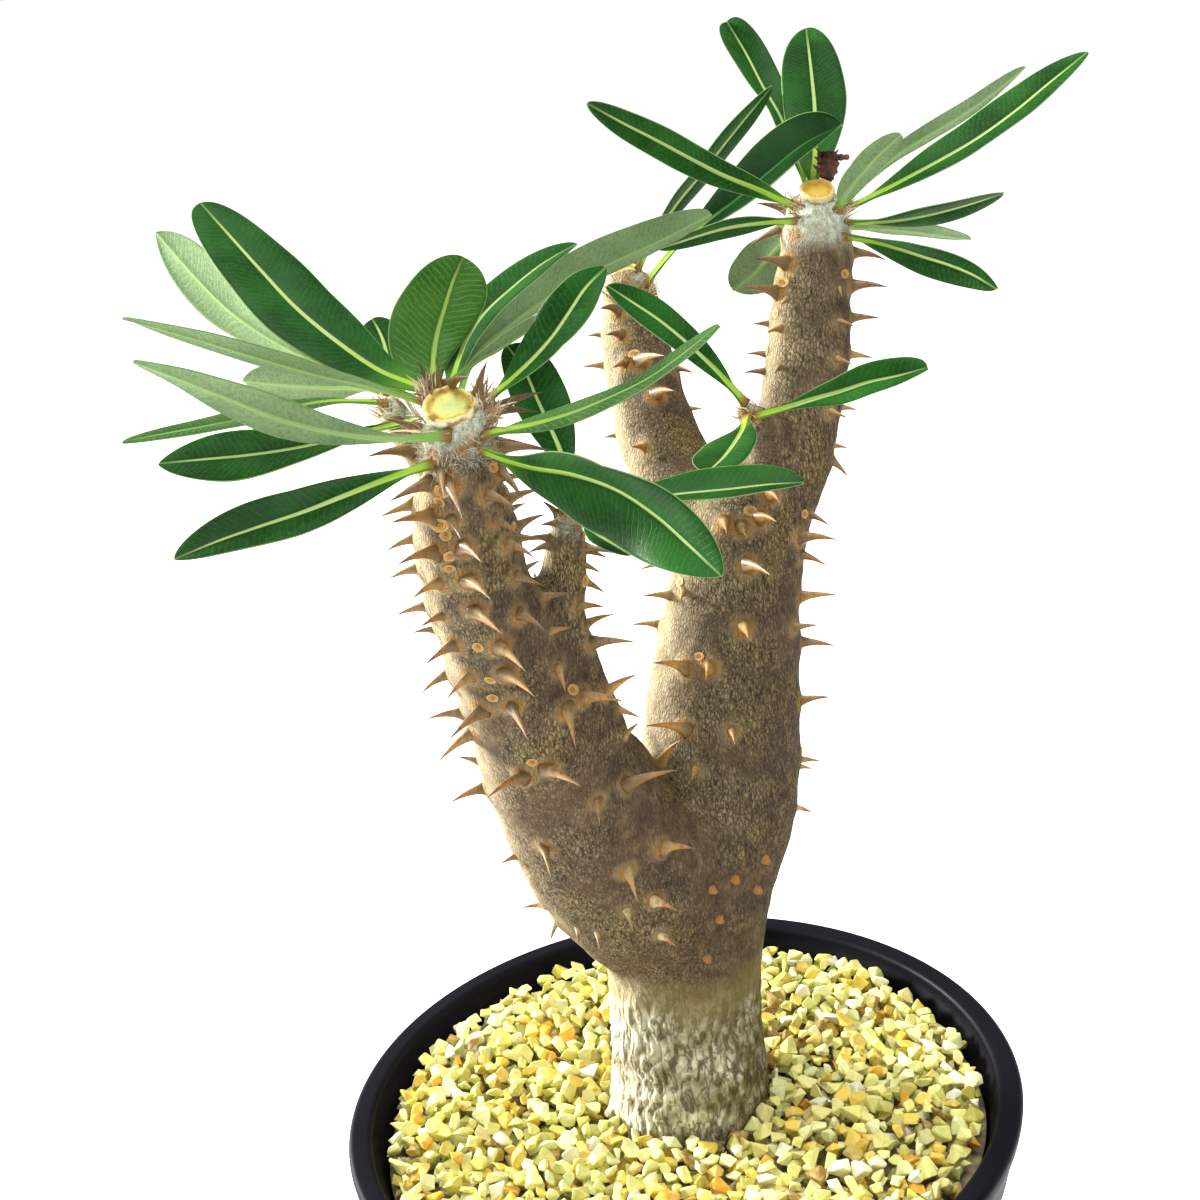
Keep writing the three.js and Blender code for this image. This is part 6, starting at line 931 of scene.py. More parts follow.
GRAIN_TONES = [((0.86, 0.83, 0.25), 28), ((0.90, 0.92, 0.43), 22), ((0.96, 0.86, 0.32), 16), ((0.97, 0.95, 0.68), 9), ((0.90, 0.66, 0.10), 13),
               ((0.86, 0.44, 0.03), 5), ((0.62, 0.56, 0.10), 6), ((0.34, 0.20, 0.03), 3), ((0.70, 0.50, 0.10), 4)]
tone_list = arr([c for c, w in GRAIN_TONES])
tone_w = arr([w for c, w in GRAIN_TONES])
tone_w = tone_w / tone_w.sum()


def lay_grains(name, spots, shapes, z_of, size, flat_smooth=False, dark=1.0):
    bag = Bag()
    for x, y in spots:
        co, faces = shapes[int(rng.integers(len(shapes)))]
        s = size[0] + (size[1] - size[0]) * rng.random() ** 1.3
        c = (co * s) @ turn(rng).T
        c[:, 2] *= 0.86
        c = c + arr([x, y, z_of(x, y)])
        tone = tone_list[rng.choice(len(tone_list), p=tone_w)] * (0.84 + 0.26 * rng.random()) * dark
        bag.add(c, faces, colour=np.clip(tone, 0, 1), gr_seed=float(rng.random()))
    return bag.make(name, smooth=flat_smooth)

# ------------------------------------------------------------------ build: leaves
leaf_objs = {}
for name, spec in LEAVES.items():
    leaf_objs[name] = leaf_piece(name, spec)

# ------------------------------------------------------------------ build: crowns
PALE = [(0.92, 0.93, 0.84), (0.82, 0.86, 0.72), (0.95, 0.95, 0.90), (0.52, 0.60, 0.38)]
CREAM = [(0.88, 0.86, 0.72), (0.80, 0.76, 0.58), (0.70, 0.62, 0.42)]
MINT = [(0.84, 0.93, 0.82), (0.68, 0.82, 0.66), (0.92, 0.95, 0.88), (0.48, 0.60, 0.40)]
TAN = [(0.62, 0.50, 0.28), (0.46, 0.34, 0.17), (0.74, 0.64, 0.42), (0.32, 0.25, 0.12)]
OLIVE = [(0.28, 0.28, 0.13), (0.40, 0.38, 0.20), (0.20, 0.17, 0.09)]
DRY = [(0.62, 0.45, 0.26), (0.82, 0.68, 0.45), (0.40, 0.25, 0.13), (0.90, 0.80, 0.60), (0.24, 0.13, 0.07)]
wool = Bag()
wool_ring(wool, "left", 1500, 13.5, 7.4, PALE, clear=(TIP_LEFT, 4.3))
wool_ring(wool, "right", 1300, 10.0, 7.4, MINT, length=(1.0, 2.2), clear=(TIP_RIGHT, 3.8))
wool_ring(wool, "mid", 420, 6.0, 7.0, TAN)
wool_ring(wool, "back", 420, 7.0, 5.2, CREAM)
wool_ring(wool, "side", 240, 4.5, 4.0, OLIVE, length=(1.0, 2.2))
wool_ring(wool, "shoot", 200, 3.2, 3.0, CREAM, length=(0.8, 2.0))
crown_wool = wool.make("crown_wool")

e_left, t_left = crown_frame("left")
e_right, t_right = crown_frame("right")
e_mid, t_mid = crown_frame("mid")
fib = Bag()
for (u, v), main, spread, count, length, r0 in FANS:
    p, n = hit(stem_tree, u, v)
    if p is not None:
        fibre_fan(fib, p, main, spread, count, length, DRY, r0=r0)
fibres = fib.make("dry_fibres")

growth_left = dish("growing_tip_left", TIP_LEFT, TIP_LEFT_N, 4.35, 0.97, deep=1.1, rim=0.62, seed=1.3)
growth_right = dish("growing_tip_right", TIP_RIGHT, TIP_RIGHT_N, 3.4, 0.95, deep=1.0, rim=0.50, seed=2.9)
growth_mid = dish("growing_tip_middle", e_mid + arr([0, -0.4, -0.3]), arr([0.0, -0.25, 0.95]), 3.4, 0.8, deep=0.9, rim=0.5, seed=4.4)

# dried flower stalk with small bracts
st_rows = arr(STUB_ROWS)
line = catmull(st_rows[:, :4], np.linspace(0, 1, 34))
line = np.vstack([line[0] - [0, 0, 1.6, 0], line])
line[:, :3] += (np.clip((341.6 - line[:, 2]) / 2.0, 0, 1) * 1.6)[:, None] * unit([0.25, 1.0, 0.0])
co, faces = tube(line[:, :3], line[:, 3] * 0.94, 26)
n_r = len(line)
aa = np.tile(np.arange(26) / 26 * 2 * math.pi, n_r)
ss = np.repeat(np.linspace(0, 1, n_r), 26)
T, X, Y = transport(line[:, :3])
ring = (np.cos(aa)[:, None] * np.repeat(X, 26, 0) + np.sin(aa)[:, None] * np.repeat(Y, 26, 0))
bulge = 0.22 * np.sin(aa * 5 + ss * 9) + 0.18 * np.sin(ss * 38 + aa * 2) + 0.10 * np.sin(aa * 11 - ss * 21)
co[: n_r * 26] += ring * (bulge * np.minimum(ss * 4, 1))[:, None]
stalk = Bag()
stalk.add(co, faces, fs=np.r_[ss, 0, 1])
for k in range(16):
    i = 6 + int(rng.integers(26))
    a = rng.random() * 6.28
    d0 = X[i] * math.cos(a) + Y[i] * math.sin(a)
    p = line[i, :3] + d0 * line[i, 3] * 0.8
    strand(stalk, p, unit(d0 * 0.7 + arr([0, 0, 0.9])), 1.4 + 1.3 * rng.random(), 0.42, bend=d0 * 0.3, colour=None, segs=5, sides=6, flat=0.4, fs=0.5 + 0.5 * rng.random())
tw_rows = arr(TWIG_ROWS)
tl = catmull(tw_rows[:, :4], np.linspace(0, 1, 18))
co, faces = tube(tl[:, :3], tl[:, 3] * (0.9 + 0.15 * np.sin(np.arange(18) * 1.7)), 12)
stalk.add(co, faces, fs=np.full(len(co), 0.8))
flower_stub = stalk.make("dried_flower_stalk")
fix_normals(flower_stub)

# ------------------------------------------------------------------ build: gravel
tr = BRANCHES["trunk"]


def trunk_out(pad):
    zs = arr([r[2] for r in tr])
    x0, y0, r0 = (float(np.interp(124.0, zs, arr([r[k] for r in tr]))) for k in (0, 1, 3))
    return lambda x, y: (x - x0) ** 2 + (y - y0) ** 2 < (r0 + pad) ** 2


shapes_fine = grain_shapes(46, 11, 0.085)
shapes_plain = grain_shapes(26, 10, 0.0)
roll = lambda x, y: 0.55 * math.sin(x / 9.0 + 1.1) * math.cos(y / 11.0) + 0.35 * math.sin((x + y) / 5.2)
skip = HOLLOWS
in_hollow = lambda x, y: any((x - h[0]) ** 2 + (y - h[1]) ** 2 < h[2] ** 2 for h in skip)
out1, out2 = trunk_out(0.8), trunk_out(-1.0)
top_spots = scatter(71.2, 3.3, 26000, lambda x, y: out1(x, y) or in_hollow(x, y))
mid_spots = scatter(71.8, 3.5, 16000, out2)
low_spots = scatter(71.8, 4.2, 9000, out2)
edge_dip = lambda x, y: -0.5 * smooth01(64, 73, math.hypot(x, y))
grains_top = lay_grains("gravel_top_grains", top_spots, shapes_fine, lambda x, y: 125.35 + roll(x, y) * 0.7 + edge_dip(x, y) + 0.9 * (rng.random() - 0.5), (1.85, 3.0))
# the lower layers use the same grain tones dimmed by dark=0.86 and 0.7: painted shade under the top grains
grains_mid = lay_grains("gravel_second_grains", mid_spots, shapes_plain, lambda x, y: 122.6 + roll(x, y) * 0.6 + edge_dip(x, y) + 0.8 * (rng.random() - 0.5), (2.1, 2.9), dark=0.86)
grains_low = lay_grains("gravel_third_grains", low_spots, shapes_plain, lambda x, y: 119.6 + 1.0 * (rng.random() - 0.5), (2.4, 3.1), dark=0.7)

# bed under the grains, with the stem's place left open; its dark brown is painted shade for the deep gaps between the
# grains
rr = np.r_[np.linspace(20.5, 73.6, 30)]
kk = 120
aa = np.arange(kk) / kk * 2 * math.pi
bx, by = 2.1, 1.8
top_z = np.full((len(rr), kk), 118.6)
R2 = np.broadcast_to(rr[:, None], (len(rr), kk))
XX = R2 * np.cos(aa) + bx * (1 - (R2 - 20.5) / 53.1)
YY = R2 * np.sin(aa) + by * (1 - (R2 - 20.5) / 53.1)
bump_z = 0.7 * np.sin(XX * 1.3) * np.cos(YY * 1.1 + 0.4) + 0.5 * np.sin(XX * 0.7 + YY * 0.9)
loop_top = np.stack([XX, YY, top_z + bump_z * np.sin((rr - 20.5) / 53.1 * math.pi)[:, None]], -1)
low_r = np.array([71.0, 45.0, 20.5])
R3 = np.broadcast_to(low_r[:, None], (3, kk))
loop_low = np.stack([R3 * np.cos(aa) + bx * (1 - (R3 - 20.5) / 53.1), R3 * np.sin(aa) + by * (1 - (R3 - 20.5) / 53.1), np.full((3, kk), 108.5)], -1)
rings_all = np.concatenate([loop_top, loop_low, loop_top[:1]], 0)
bed = new_mesh("gravel_bed", rings_all.reshape(-1, 3), grid_faces(len(rings_all), kk), True)
bm = bmesh.new()
bm.from_mesh(bed.data)
bmesh.ops.remove_doubles(bm, verts=bm.verts, dist=1e-6)
bmesh.ops.recalc_face_normals(bm, faces=bm.faces)
bm.to_mesh(bed.data)
bm.free()

# ------------------------------------------------------------------ build: pot
def inner_r(z):
    return 53.5 + 22.1 * (z - 3.0) / 122.0


def arc(cx, cz, r, a0, a1, n):
    return [(cx + r * math.cos(a), cz + r * math.sin(a)) for a in np.linspace(math.radians(a0), math.radians(a1), n)]


outer_r = lambda z: inner_r(z) + 2.2
prof = [(0.6, 0.75), (30.0, 0.6), (outer_r(2) - 4.2, 0.5)]
prof += arc(outer_r(2) - 3.6, 1.0, 1.0, 250, 300, 4) + arc(outer_r(2.4) - 2.2, 2.2, 2.2, 285, 350, 7)
for z in np.linspace(6, 104, 26):
    prof.append((outer_r(z), z))
prof += [(outer_r(107) + 0.15, 107.0), (outer_r(108.4) + 0.7, 108.6), (outer_r(109.4) + 2.3, 109.5), (outer_r(110) + 3.1, 110.1)]
for z in np.linspace(111.2, 119.0, 7):
    prof.append((outer_r(110) + 3.4 + (80.7 - outer_r(110) - 3.4) * (z - 110) / 10.0, z))
prof += [(80.95, 120.4), (81.35, 121.5), (81.75, 122.7), (82.1, 123.8), (82.35, 125.0)]
prof += arc(80.9, 126.4, 1.6, 0, 90, 12) + arc(78.1, 126.4, 1.6, 90, 180, 12)
prof += [(76.4, 125.4), (76.0, 124.3), (75.5, 123.2), (75.12, 122.2)]
for z in np.linspace(118.5, 8, 24):
    prof.append((inner_r(z), z))
prof += [(54.6, 6.2), (53.9, 4.4), (52.4, 3.3), (50.0, 3.0), (20.0, 3.0), (0.6, 3.0)]
prof = arr(prof)
kk = 240
aa = np.arange(kk) / kk * 2 * math.pi
wob = 1 + 0.0007 * np.sin(aa * 2 + 0.7) + 0.0005 * np.sin(aa * 3 + 2.1)
co = np.stack([prof[:, :1] * np.cos(aa) * wob, prof[:, :1] * np.sin(aa) * wob, np.broadcast_to(prof[:, 1:], (len(prof), kk))], -1).reshape(-1, 3)
faces = grid_faces(len(prof), kk).tolist()
faces.append(list(range(kk))[::-1])
faces.append([(len(prof) - 1) * kk + j for j in range(kk)])
pot = new_mesh("pot_shell", co, faces, True, {"pt_z": co[:, 2]})
fix_normals(pot)
hole_bag = Bag()
for i in range(6):
    a = i / 6 * 2 * math.pi + 0.26
    x, y = 34 * math.cos(a), 34 * math.sin(a)
    c2, f2 = tube(arr([[x, y, -4], [x, y, 8]]), arr([5.0, 5.0]), 28)
    hole_bag.add(c2, f2)
cutter = hole_bag.make("cutter", smooth=False)
fix_normals(cutter)
mod = pot.modifiers.new("holes", "BOOLEAN")
mod.operation = "DIFFERENCE"
mod.object = cutter
mod.solver = "EXACT"
deps = bpy.context.evaluated_depsgraph_get()
cut_me = bpy.data.meshes.new_from_object(pot.evaluated_get(deps))
pot.modifiers.clear()
pot.data = cut_me
bpy.data.objects.remove(cutter)

# ------------------------------------------------------------------ materials
# bark
k = Nodes("bark_surface", 0.82, 0.12)
turn_a, low_a, ridge_a, swell_a = k.attr("bk_turn"), k.attr("bk_low"), k.attr("bk_ridge"), k.attr("bk_swell")
wool_a, ring_a, painted_lit_a = k.attr("bk_wool"), k.attr("bk_ring"), k.attr("bk_painted_lit_side")
stretch = k.scaled((1.0, 1.0, 0.36))
n_patch = k.noise(scale=55, detail=3)
n_mid = k.noise(scale=210, detail=4, rough=0.6)
n_crack = k.noise(stretch, scale=1500, detail=3.0, rough=0.60, dist=0.9)
n_scale = k.voronoi(k.shifted(k.scaled((1.0, 1.0, 0.42)), k.noise(scale=620, detail=2, out=1), 0.0009), scale=1300, feature="DISTANCE_TO_EDGE")
col = k.ramp(n_mid, [(0.26, (0.066, 0.043, 0.023)), (0.48, (0.142, 0.095, 0.050)), (0.64, (0.225, 0.158, 0.083)), (0.80, (0.34, 0.25, 0.135))])
col = k.mix(k.step(n_patch, 0.50, 0.68, 0.0, 0.55), col, (0.27, 0.195, 0.048))
# cream colour laid on the side facing the key light: a painted highlight, carried by bk_painted_lit_side
painted_lit_cream = k.mix(n_mid, (0.33, 0.255, 0.140), (0.56, 0.475, 0.300))
painted_front_a = k.attr("bk_painted_lit_front")
# pale tan patches where bk_painted_lit_front marks bark facing the key light: painted light
col = k.mix(k.math("MULTIPLY", painted_front_a, k.step(n_patch, 0.36, 0.60, 0.10, 0.50)), col, (0.43, 0.355, 0.205))
painted_lit_mask = k.math("MULTIPLY", painted_lit_a, k.step(n_mid, 0.30, 0.55, 0.62, 1.0))
col = k.mix(painted_lit_mask, col, painted_lit_cream)
crack = k.step(n_crack, 0.40, 0.52, 1.0, 0.0)
edge = k.step(n_scale, 0.03, 0.19, 1.0, 0.0)
pad = k.step(swell_a, 0.10, 0.55)
zone = k.math("MULTIPLY", k.step(n_patch, 0.34, 0.54, 0.55, 1.0), k.math("SUBTRACT", 1.0, k.math("MULTIPLY", pad, 0.60)))
# the dark cracks and scale edges are painted fainter where bk_painted_lit_side marks the side facing the key light:
# painted light
mark = k.math("MULTIPLY", k.math("MULTIPLY", k.math("MAXIMUM", crack, k.math("MULTIPLY", edge, 0.75)), zone), k.math("SUBTRACT", 0.86, k.math("MULTIPLY", painted_lit_a, 0.56)))
light_scale = k.step(n_crack, 0.58, 0.74, 0.0, 0.20)
col = k.mix(k.math("MULTIPLY", pad, 0.42), col, (0.38, 0.275, 0.145))
col = k.mix(light_scale, col, (0.40, 0.31, 0.20))
col = k.mix(mark, col, (0.026, 0.018, 0.014))
ringed = k.math("MULTIPLY", k.math("MULTIPLY", ring_a, 0.30), k.math("SUBTRACT", 1.0, low_a), clamp=True)
col = k.mix(ringed, col, (0.05, 0.034, 0.024))
v_warp = k.shifted(k.scaled((1.0, 1.0, 0.34)), k.noise(scale=330, detail=2, out=1), 0.0011)
n_fold = k.math("ABSOLUTE", k.math("SUBTRACT", k.noise(v_warp, scale=430, detail=1.5, rough=0.5), 0.5))
n_fold2 = k.noise(k.shifted(v_warp, k.noise(scale=210, detail=2, out=1), 0.0024), scale=620, detail=2.5, rough=0.55)
blotch = k.noise(k.scaled((1.0, 1.0, 1.9)), scale=62, detail=4, rough=0.62)
low_dark = k.ramp(n_mid, [(0.30, (0.105, 0.080, 0.036)), (0.52, (0.205, 0.162, 0.070)), (0.72, (0.33, 0.265, 0.125))])
low_pale = k.ramp(n_mid, [(0.28, (0.52, 0.47, 0.30)), (0.52, (0.80, 0.77, 0.60)), (0.72, (0.95, 0.94, 0.85))])
# pale cork blotches of the lower trunk, which are its own colour, plus painted light where bk_painted_lit_front marks
# the side facing the key light
pale_blotch_and_painted_light = k.math("ADD", k.math("MULTIPLY", painted_front_a, k.step(blotch, 0.36, 0.60, 0.30, 1.15)), k.step(blotch, 0.52, 0.66, 0.0, 0.38), clamp=True)
low_col = k.mix(pale_blotch_and_painted_light, low_dark, low_pale)
# dark folds of the lower trunk are the bark's own pattern, but they are painted fainter where bk_painted_lit_side marks
# the side facing the key light: painted light
fold = k.math("MULTIPLY", k.math("MAXIMUM", k.step(n_fold, 0.0, 0.035, 1.0, 0.0), k.step(n_fold2, 0.38, 0.52, 1.0, 0.0)), k.math("SUBTRACT", 0.80, k.math("MULTIPLY", painted_lit_a, 0.55)))
low_col = k.mix(fold, low_col, (0.085, 0.064, 0.030))
low_col = k.mix(k.step(ridge_a, 0.1, -1.1, 0.0, 0.42), low_col, (0.075, 0.056, 0.028))
olive_band = k.math("MULTIPLY", k.math("MULTIPLY", low_a, k.math("SUBTRACT", 1.0, low_a)), 3.0, clamp=True)
col = k.mix(low_a, col, low_col)
col = k.mix(k.math("MULTIPLY", olive_band, 0.7), col, k.mix(n_mid, (0.19, 0.150, 0.042), (0.34, 0.28, 0.10)))
# orange spots on the pads are the bark's own colour; they are painted weaker where bk_painted_lit_side marks the side
# facing the key light, which is painted light
spot = k.math("MULTIPLY", k.step(swell_a, 0.34, 0.85), k.math("SUBTRACT", 1.0, k.math("MULTIPLY", painted_lit_a, 0.35)))
col = k.mix(k.math("MULTIPLY", spot, 0.82), col, k.mix(n_mid, (0.19, 0.078, 0.016), (0.46, 0.225, 0.050)))
wool_c = k.ramp(k.noise(scale=520, detail=4, rough=0.7), [(0.30, (0.17, 0.21, 0.10)), (0.45, (0.46, 0.52, 0.36)), (0.57, (0.78, 0.82, 0.70)), (0.75, (0.94, 0.95, 0.90))])
col = k.mix(wool_a, col, wool_c)
wool_edge = k.math("MULTIPLY", k.math("MULTIPLY", wool_a, k.math("SUBTRACT", 1.0, wool_a)), 4.0, clamp=True)
col = k.mix(k.math("MULTIPLY", wool_edge, k.step(k.noise(scale=260, detail=3), 0.46, 0.58, 0.0, 0.85)), col, k.mix(n_mid, (0.16, 0.055, 0.012), (0.42, 0.18, 0.03)))
h1 = k.math("ADD", k.math("MULTIPLY", n_crack, 0.7), k.math("MULTIPLY", k.step(n_scale, 0.0, 0.25), 0.45))
h1 = k.math("ADD", h1, k.math("MULTIPLY", n_mid, 0.5))
h2 = k.math("ADD", k.math("MULTIPLY", k.step(n_fold, 0.0, 0.10), 0.7), k.math("MULTIPLY", n_fold2, 0.6))
h1 = k.math("ADD", k.math("MULTIPLY", h1, k.math("SUBTRACT", 1.0, low_a)), k.math("MULTIPLY", h2, low_a))
bark_mat = k.done(col, k.step(n_mid, 0.3, 0.7, 0.72, 0.92), k.bump(h1, 0.95, 0.00042))
dress(stem, bark_mat)

# spines
k = Nodes("spine_surface", 0.30, 0.34)
t_a, young, old, mixed = k.attr("th_t"), k.attr("th_young"), k.attr("th_old"), k.attr("th_mix")
streak = k.noise(k.scaled((1, 1, 0.5)), scale=900, detail=2)
tt = k.math("ADD", t_a, k.math("MULTIPLY", k.math("SUBTRACT", streak, 0.5), 0.22))
c_mid = k.ramp(tt, [(0.05, (0.150, 0.105, 0.055)), (0.20, (0.215, 0.145, 0.062)), (0.42, (0.33, 0.190, 0.052)), (0.66, (0.46, 0.205, 0.030)), (0.86, (0.24, 0.090, 0.020)), (1.0, (0.070, 0.030, 0.014))])
c_young = k.ramp(tt, [(0.05, (0.170, 0.125, 0.060)), (0.3, (0.215, 0.130, 0.055)), (0.6, (0.165, 0.082, 0.038)), (1.0, (0.055, 0.026, 0.016))])
c_old = k.ramp(tt, [(0.04, (0.30, 0.23, 0.13)), (0.13, (0.82, 0.78, 0.62)), (0.36, (0.84, 0.76, 0.52)), (0.52, (0.58, 0.27, 0.055)), (0.8, (0.38, 0.130, 0.020)), (1.0, (0.16, 0.055, 0.02))])
c_pale = k.ramp(tt, [(0.05, (0.20, 0.130, 0.055)), (0.16, (0.36, 0.255, 0.100)), (0.38, (0.56, 0.365, 0.115)), (0.66, (0.60, 0.285, 0.045)), (0.88, (0.28, 0.105, 0.022)), (1.0, (0.095, 0.035, 0.016))])
c = k.mix(k.step(mixed, 0.35, 0.75), c_mid, c_pale)
c = k.mix(young, c, c_young)
c = k.mix(old, c, c_old)
c = k.mix(k.math("MULTIPLY", streak, 0.05), c, (0.80, 0.66, 0.38))
c = k.mix(1.0, c, (0.74, 0.62, 0.42), "MULTIPLY")
# paler upper side of the thorns where th_up is set: a painted highlight
c = k.mix(k.math("MULTIPLY", k.step(tt, 0.10, 0.30), k.math("MULTIPLY", k.attr("th_up"), 0.45)), c, (0.62, 0.50, 0.30))
c = k.mix(k.step(streak, 0.50, 0.66, 0.0, 0.42), c, (0.060, 0.038, 0.018))
spine_mat = k.done(c, k.step(streak, 0.3, 0.7, 0.26, 0.42), k.bump(streak, 0.3, 0.0002))
dress(spines, spine_mat)

# scars
k = Nodes("scar_surface", 0.6, 0.4)
r_a = k.attr("sc_r")
wob_n = k.noise(scale=700, detail=3)
rr_n = k.math("ADD", r_a, k.math("MULTIPLY", k.math("SUBTRACT", wob_n, 0.5), 0.22))
c = k.ramp(rr_n, [(0.0, (0.16, 0.05, 0.012)), (0.18, (0.46, 0.20, 0.035)), (0.36, (0.24, 0.085, 0.018)), (0.54, (0.60, 0.34, 0.075)), (0.70, (0.30, 0.125, 0.028)), (0.84, (0.66, 0.44, 0.14)), (1.0, (0.22, 0.13, 0.05))])
dress(scars, k.done(c, 0.6, k.bump(wob_n, 0.5, 0.0003)))
k = Nodes("worn_stub_surface", 0.7, 0.35)
n1 = k.noise(scale=600, detail=3)
c = k.mix(k.step(n1, 0.35, 0.65), k.ramp(k.attr("st"), [(0.0, (0.15, 0.10, 0.055)), (0.4, (0.30, 0.135, 0.030)), (0.8, (0.46, 0.200, 0.035)), (1.0, (0.22, 0.085, 0.02))]), (0.34, 0.170, 0.045))
dress(stubs, k.done(c, 0.7, k.bump(n1, 0.6, 0.0003)))

# leaves
def leaf_material(name, dark, light, under_a, under_b, rib, vein_gain, gloss, relief=0.38, shine=0.09):
    k = Nodes(name, gloss, shine)
    a, s, e, t, h, und, seed = (k.attr(x) for x in ("lf_a", "lf_s", "lf_e", "lf_t", "lf_h", "lf_under", "lf_seed"))
    A = k.math("ABSOLUTE", a)
    wob = k.noise(scale=90, detail=2)
    ph = k.math("ADD", k.math("SUBTRACT", s, k.math("MULTIPLY", A, 0.62)), k.math("ADD", k.math("MULTIPLY", wob, 4.0), k.math("MULTIPLY", k.noise(scale=420, detail=1), 0.9)))
    cosv = k.math("COSINE", k.math("MULTIPLY", ph, 2 * math.pi / 1.35))
    vein = k.math("MULTIPLY", k.step(cosv, 0.55, 1.0), k.math("MULTIPLY", k.step(A, 0.5, 1.4), k.step(e, 0.97, 0.80)))
    cells = k.voronoi(scale=1500, feature="DISTANCE_TO_EDGE")
    speck = k.noise(scale=1500, detail=2)
    cloud = k.noise(scale=70, detail=3)
    top = k.mix(k.step(cloud, 0.35, 0.68), dark, light)
    top = k.mix(k.step(speck, 0.45, 0.75, 0.0, 0.26), top, tuple(min(1, c * 1.8 + 0.004) for c in light))
    top = k.mix(k.math("MULTIPLY", vein, vein_gain), top, tuple(min(1.0, c * 2.1 + 0.03) for c in light))
    # near the stalk the blade is fresher green
    fresh = k.step(t, 0.20, 0.02)
    top = k.mix(k.math("MULTIPLY", fresh, 0.75), top, (0.11, 0.27, 0.022))
    rib_w = k.math("ADD", 0.25, k.math("MULTIPLY", k.math("SUBTRACT", 1.0, t), 0.50))
    ribm = k.math("SUBTRACT", 1.0, k.step(k.math("DIVIDE", A, rib_w), 0.62, 1.08))
    rib_c = k.mix(k.step(t, 0.45, 0.08), rib, (0.33, 0.52, 0.055))
    top = k.mix(k.math("MULTIPLY", ribm, k.step(t, 1.0, 0.80, 0.25, 0.96)), top, rib_c)
    marg = k.math("MULTIPLY", k.step(e, 0.962, 0.992), k.step(t, 0.08, 0.2))
    top = k.mix(k.math("MULTIPLY", marg, 0.65), top, (0.30, 0.42, 0.16))
    un = k.mix(k.step(cloud, 0.3, 0.7), under_a, under_b)
    un = k.mix(k.step(speck, 0.42, 0.7, 0.0, 0.45), un, tuple(c * 0.62 for c in under_a))
    un = k.mix(k.math("MULTIPLY", vein, 0.16), un, tuple(min(1, c * 1.35 + 0.03) for c in under_b))
    un = k.mix(k.math("MULTIPLY", ribm, 0.85), un, (0.26, 0.40, 0.13))
    un = k.mix(k.math("MULTIPLY", fresh, 0.6), un, (0.16, 0.34, 0.04))
    col = k.mix(k.step(und, 0.35, 0.65), top, un)
    red = k.step(s, 3.2, 0.9)
    col = k.mix(k.math("MULTIPLY", red, 0.85), col, k.mix(cloud, (0.17, 0.045, 0.02), (0.30, 0.14, 0.04)))
    hgt = k.math("ADD", k.math("MULTIPLY", vein, -0.35), k.math("MULTIPLY", speck, 0.30))
    hgt = k.math("ADD", hgt, k.math("MULTIPLY", k.step(cells, 0.0, 0.2), 0.14))
    rough = k.math("ADD", k.step(speck, 0.3, 0.7, gloss - 0.05, gloss + 0.10), k.math("MULTIPLY", k.step(und, 0.35, 0.65), 0.25))
    return k.done(col, rough, k.bump(hgt, relief, 0.00022))


MATS = {
    "dark": leaf_material("leaf_dark", (0.0062, 0.042, 0.0044), (0.0165, 0.094, 0.0110), (0.135, 0.215, 0.095), (0.205, 0.300, 0.140), (0.42, 0.56, 0.20), 0.13, 0.42),
    # deep, the leaf_shaded material used on leaf_d1: the dark leaf colours made darker still, painted shade for a leaf
    # that is less lit
    "deep": leaf_material("leaf_shaded", (0.0020, 0.0135, 0.0018), (0.0048, 0.028, 0.0042), (0.110, 0.180, 0.080), (0.165, 0.250, 0.115), (0.022, 0.082, 0.020), 0.02, 0.62, 0.10, 0.02),
    "mid": leaf_material("leaf_middle", (0.020, 0.076, 0.008), (0.046, 0.135, 0.017), (0.135, 0.220, 0.090), (0.200, 0.305, 0.135), (0.26, 0.38, 0.08), 0.35, 0.45),
    "pale": leaf_material("leaf_pale", (0.040, 0.112, 0.026), (0.078, 0.180, 0.045), (0.140, 0.225, 0.098), (0.210, 0.310, 0.145), (0.28, 0.41, 0.12), 0.30, 0.48),
}
for name, o in leaf_objs.items():
    dress(o, MATS[LEAF_KIND.get(name, "dark")])

# wool, fibres, tips
k = Nodes("wool_surface", 0.9, 0.1)
dress(crown_wool, k.done(k.mix(k.noise(scale=900), k.attr("tone", "Color"), (0.75, 0.74, 0.62)), 0.9))
k = Nodes("dry_fibre_surface", 0.75, 0.25)
dress(fibres, k.done(k.mix(k.math("MULTIPLY", k.noise(scale=1200), 0.5), k.attr("tone", "Color"), (0.30, 0.18, 0.10)), 0.75))
k = Nodes("growing_tip_surface", 0.5, 0.45)
r_a = k.attr("ds_r")
nz = k.noise(scale=750, detail=4, rough=0.65)
rn = k.math("ADD", k.math("MULTIPLY", r_a, 0.90), k.math("MULTIPLY", k.math("SUBTRACT", nz, 0.5), 0.24))
c = k.ramp(rn, [(0.0, (0.46, 0.54, 0.15)), (0.35, (0.60, 0.66, 0.20)), (0.58, (0.66, 0.62, 0.12)), (0.76, (0.50, 0.33, 0.04)), (0.87, (0.70, 0.56, 0.14)), (0.95, (0.72, 0.64, 0.30)), (1.0, (0.74, 0.71, 0.52))])
nz2 = k.noise(scale=300, detail=2)
c = k.mix(k.math("MULTIPLY", k.step(nz2, 0.52, 0.66), k.step(rn, 0.50, 0.72)), c, (0.30, 0.17, 0.025))
c = k.mix(k.step(nz, 0.55, 0.75, 0.0, 0.5), c, (0.80, 0.76, 0.36))
tip_mat = k.done(c, 0.5, k.bump(nz, 0.8, 0.0004))
for o in (growth_left, growth_mid):
    dress(o, tip_mat)
k = Nodes("old_tip_surface", 0.6, 0.35)
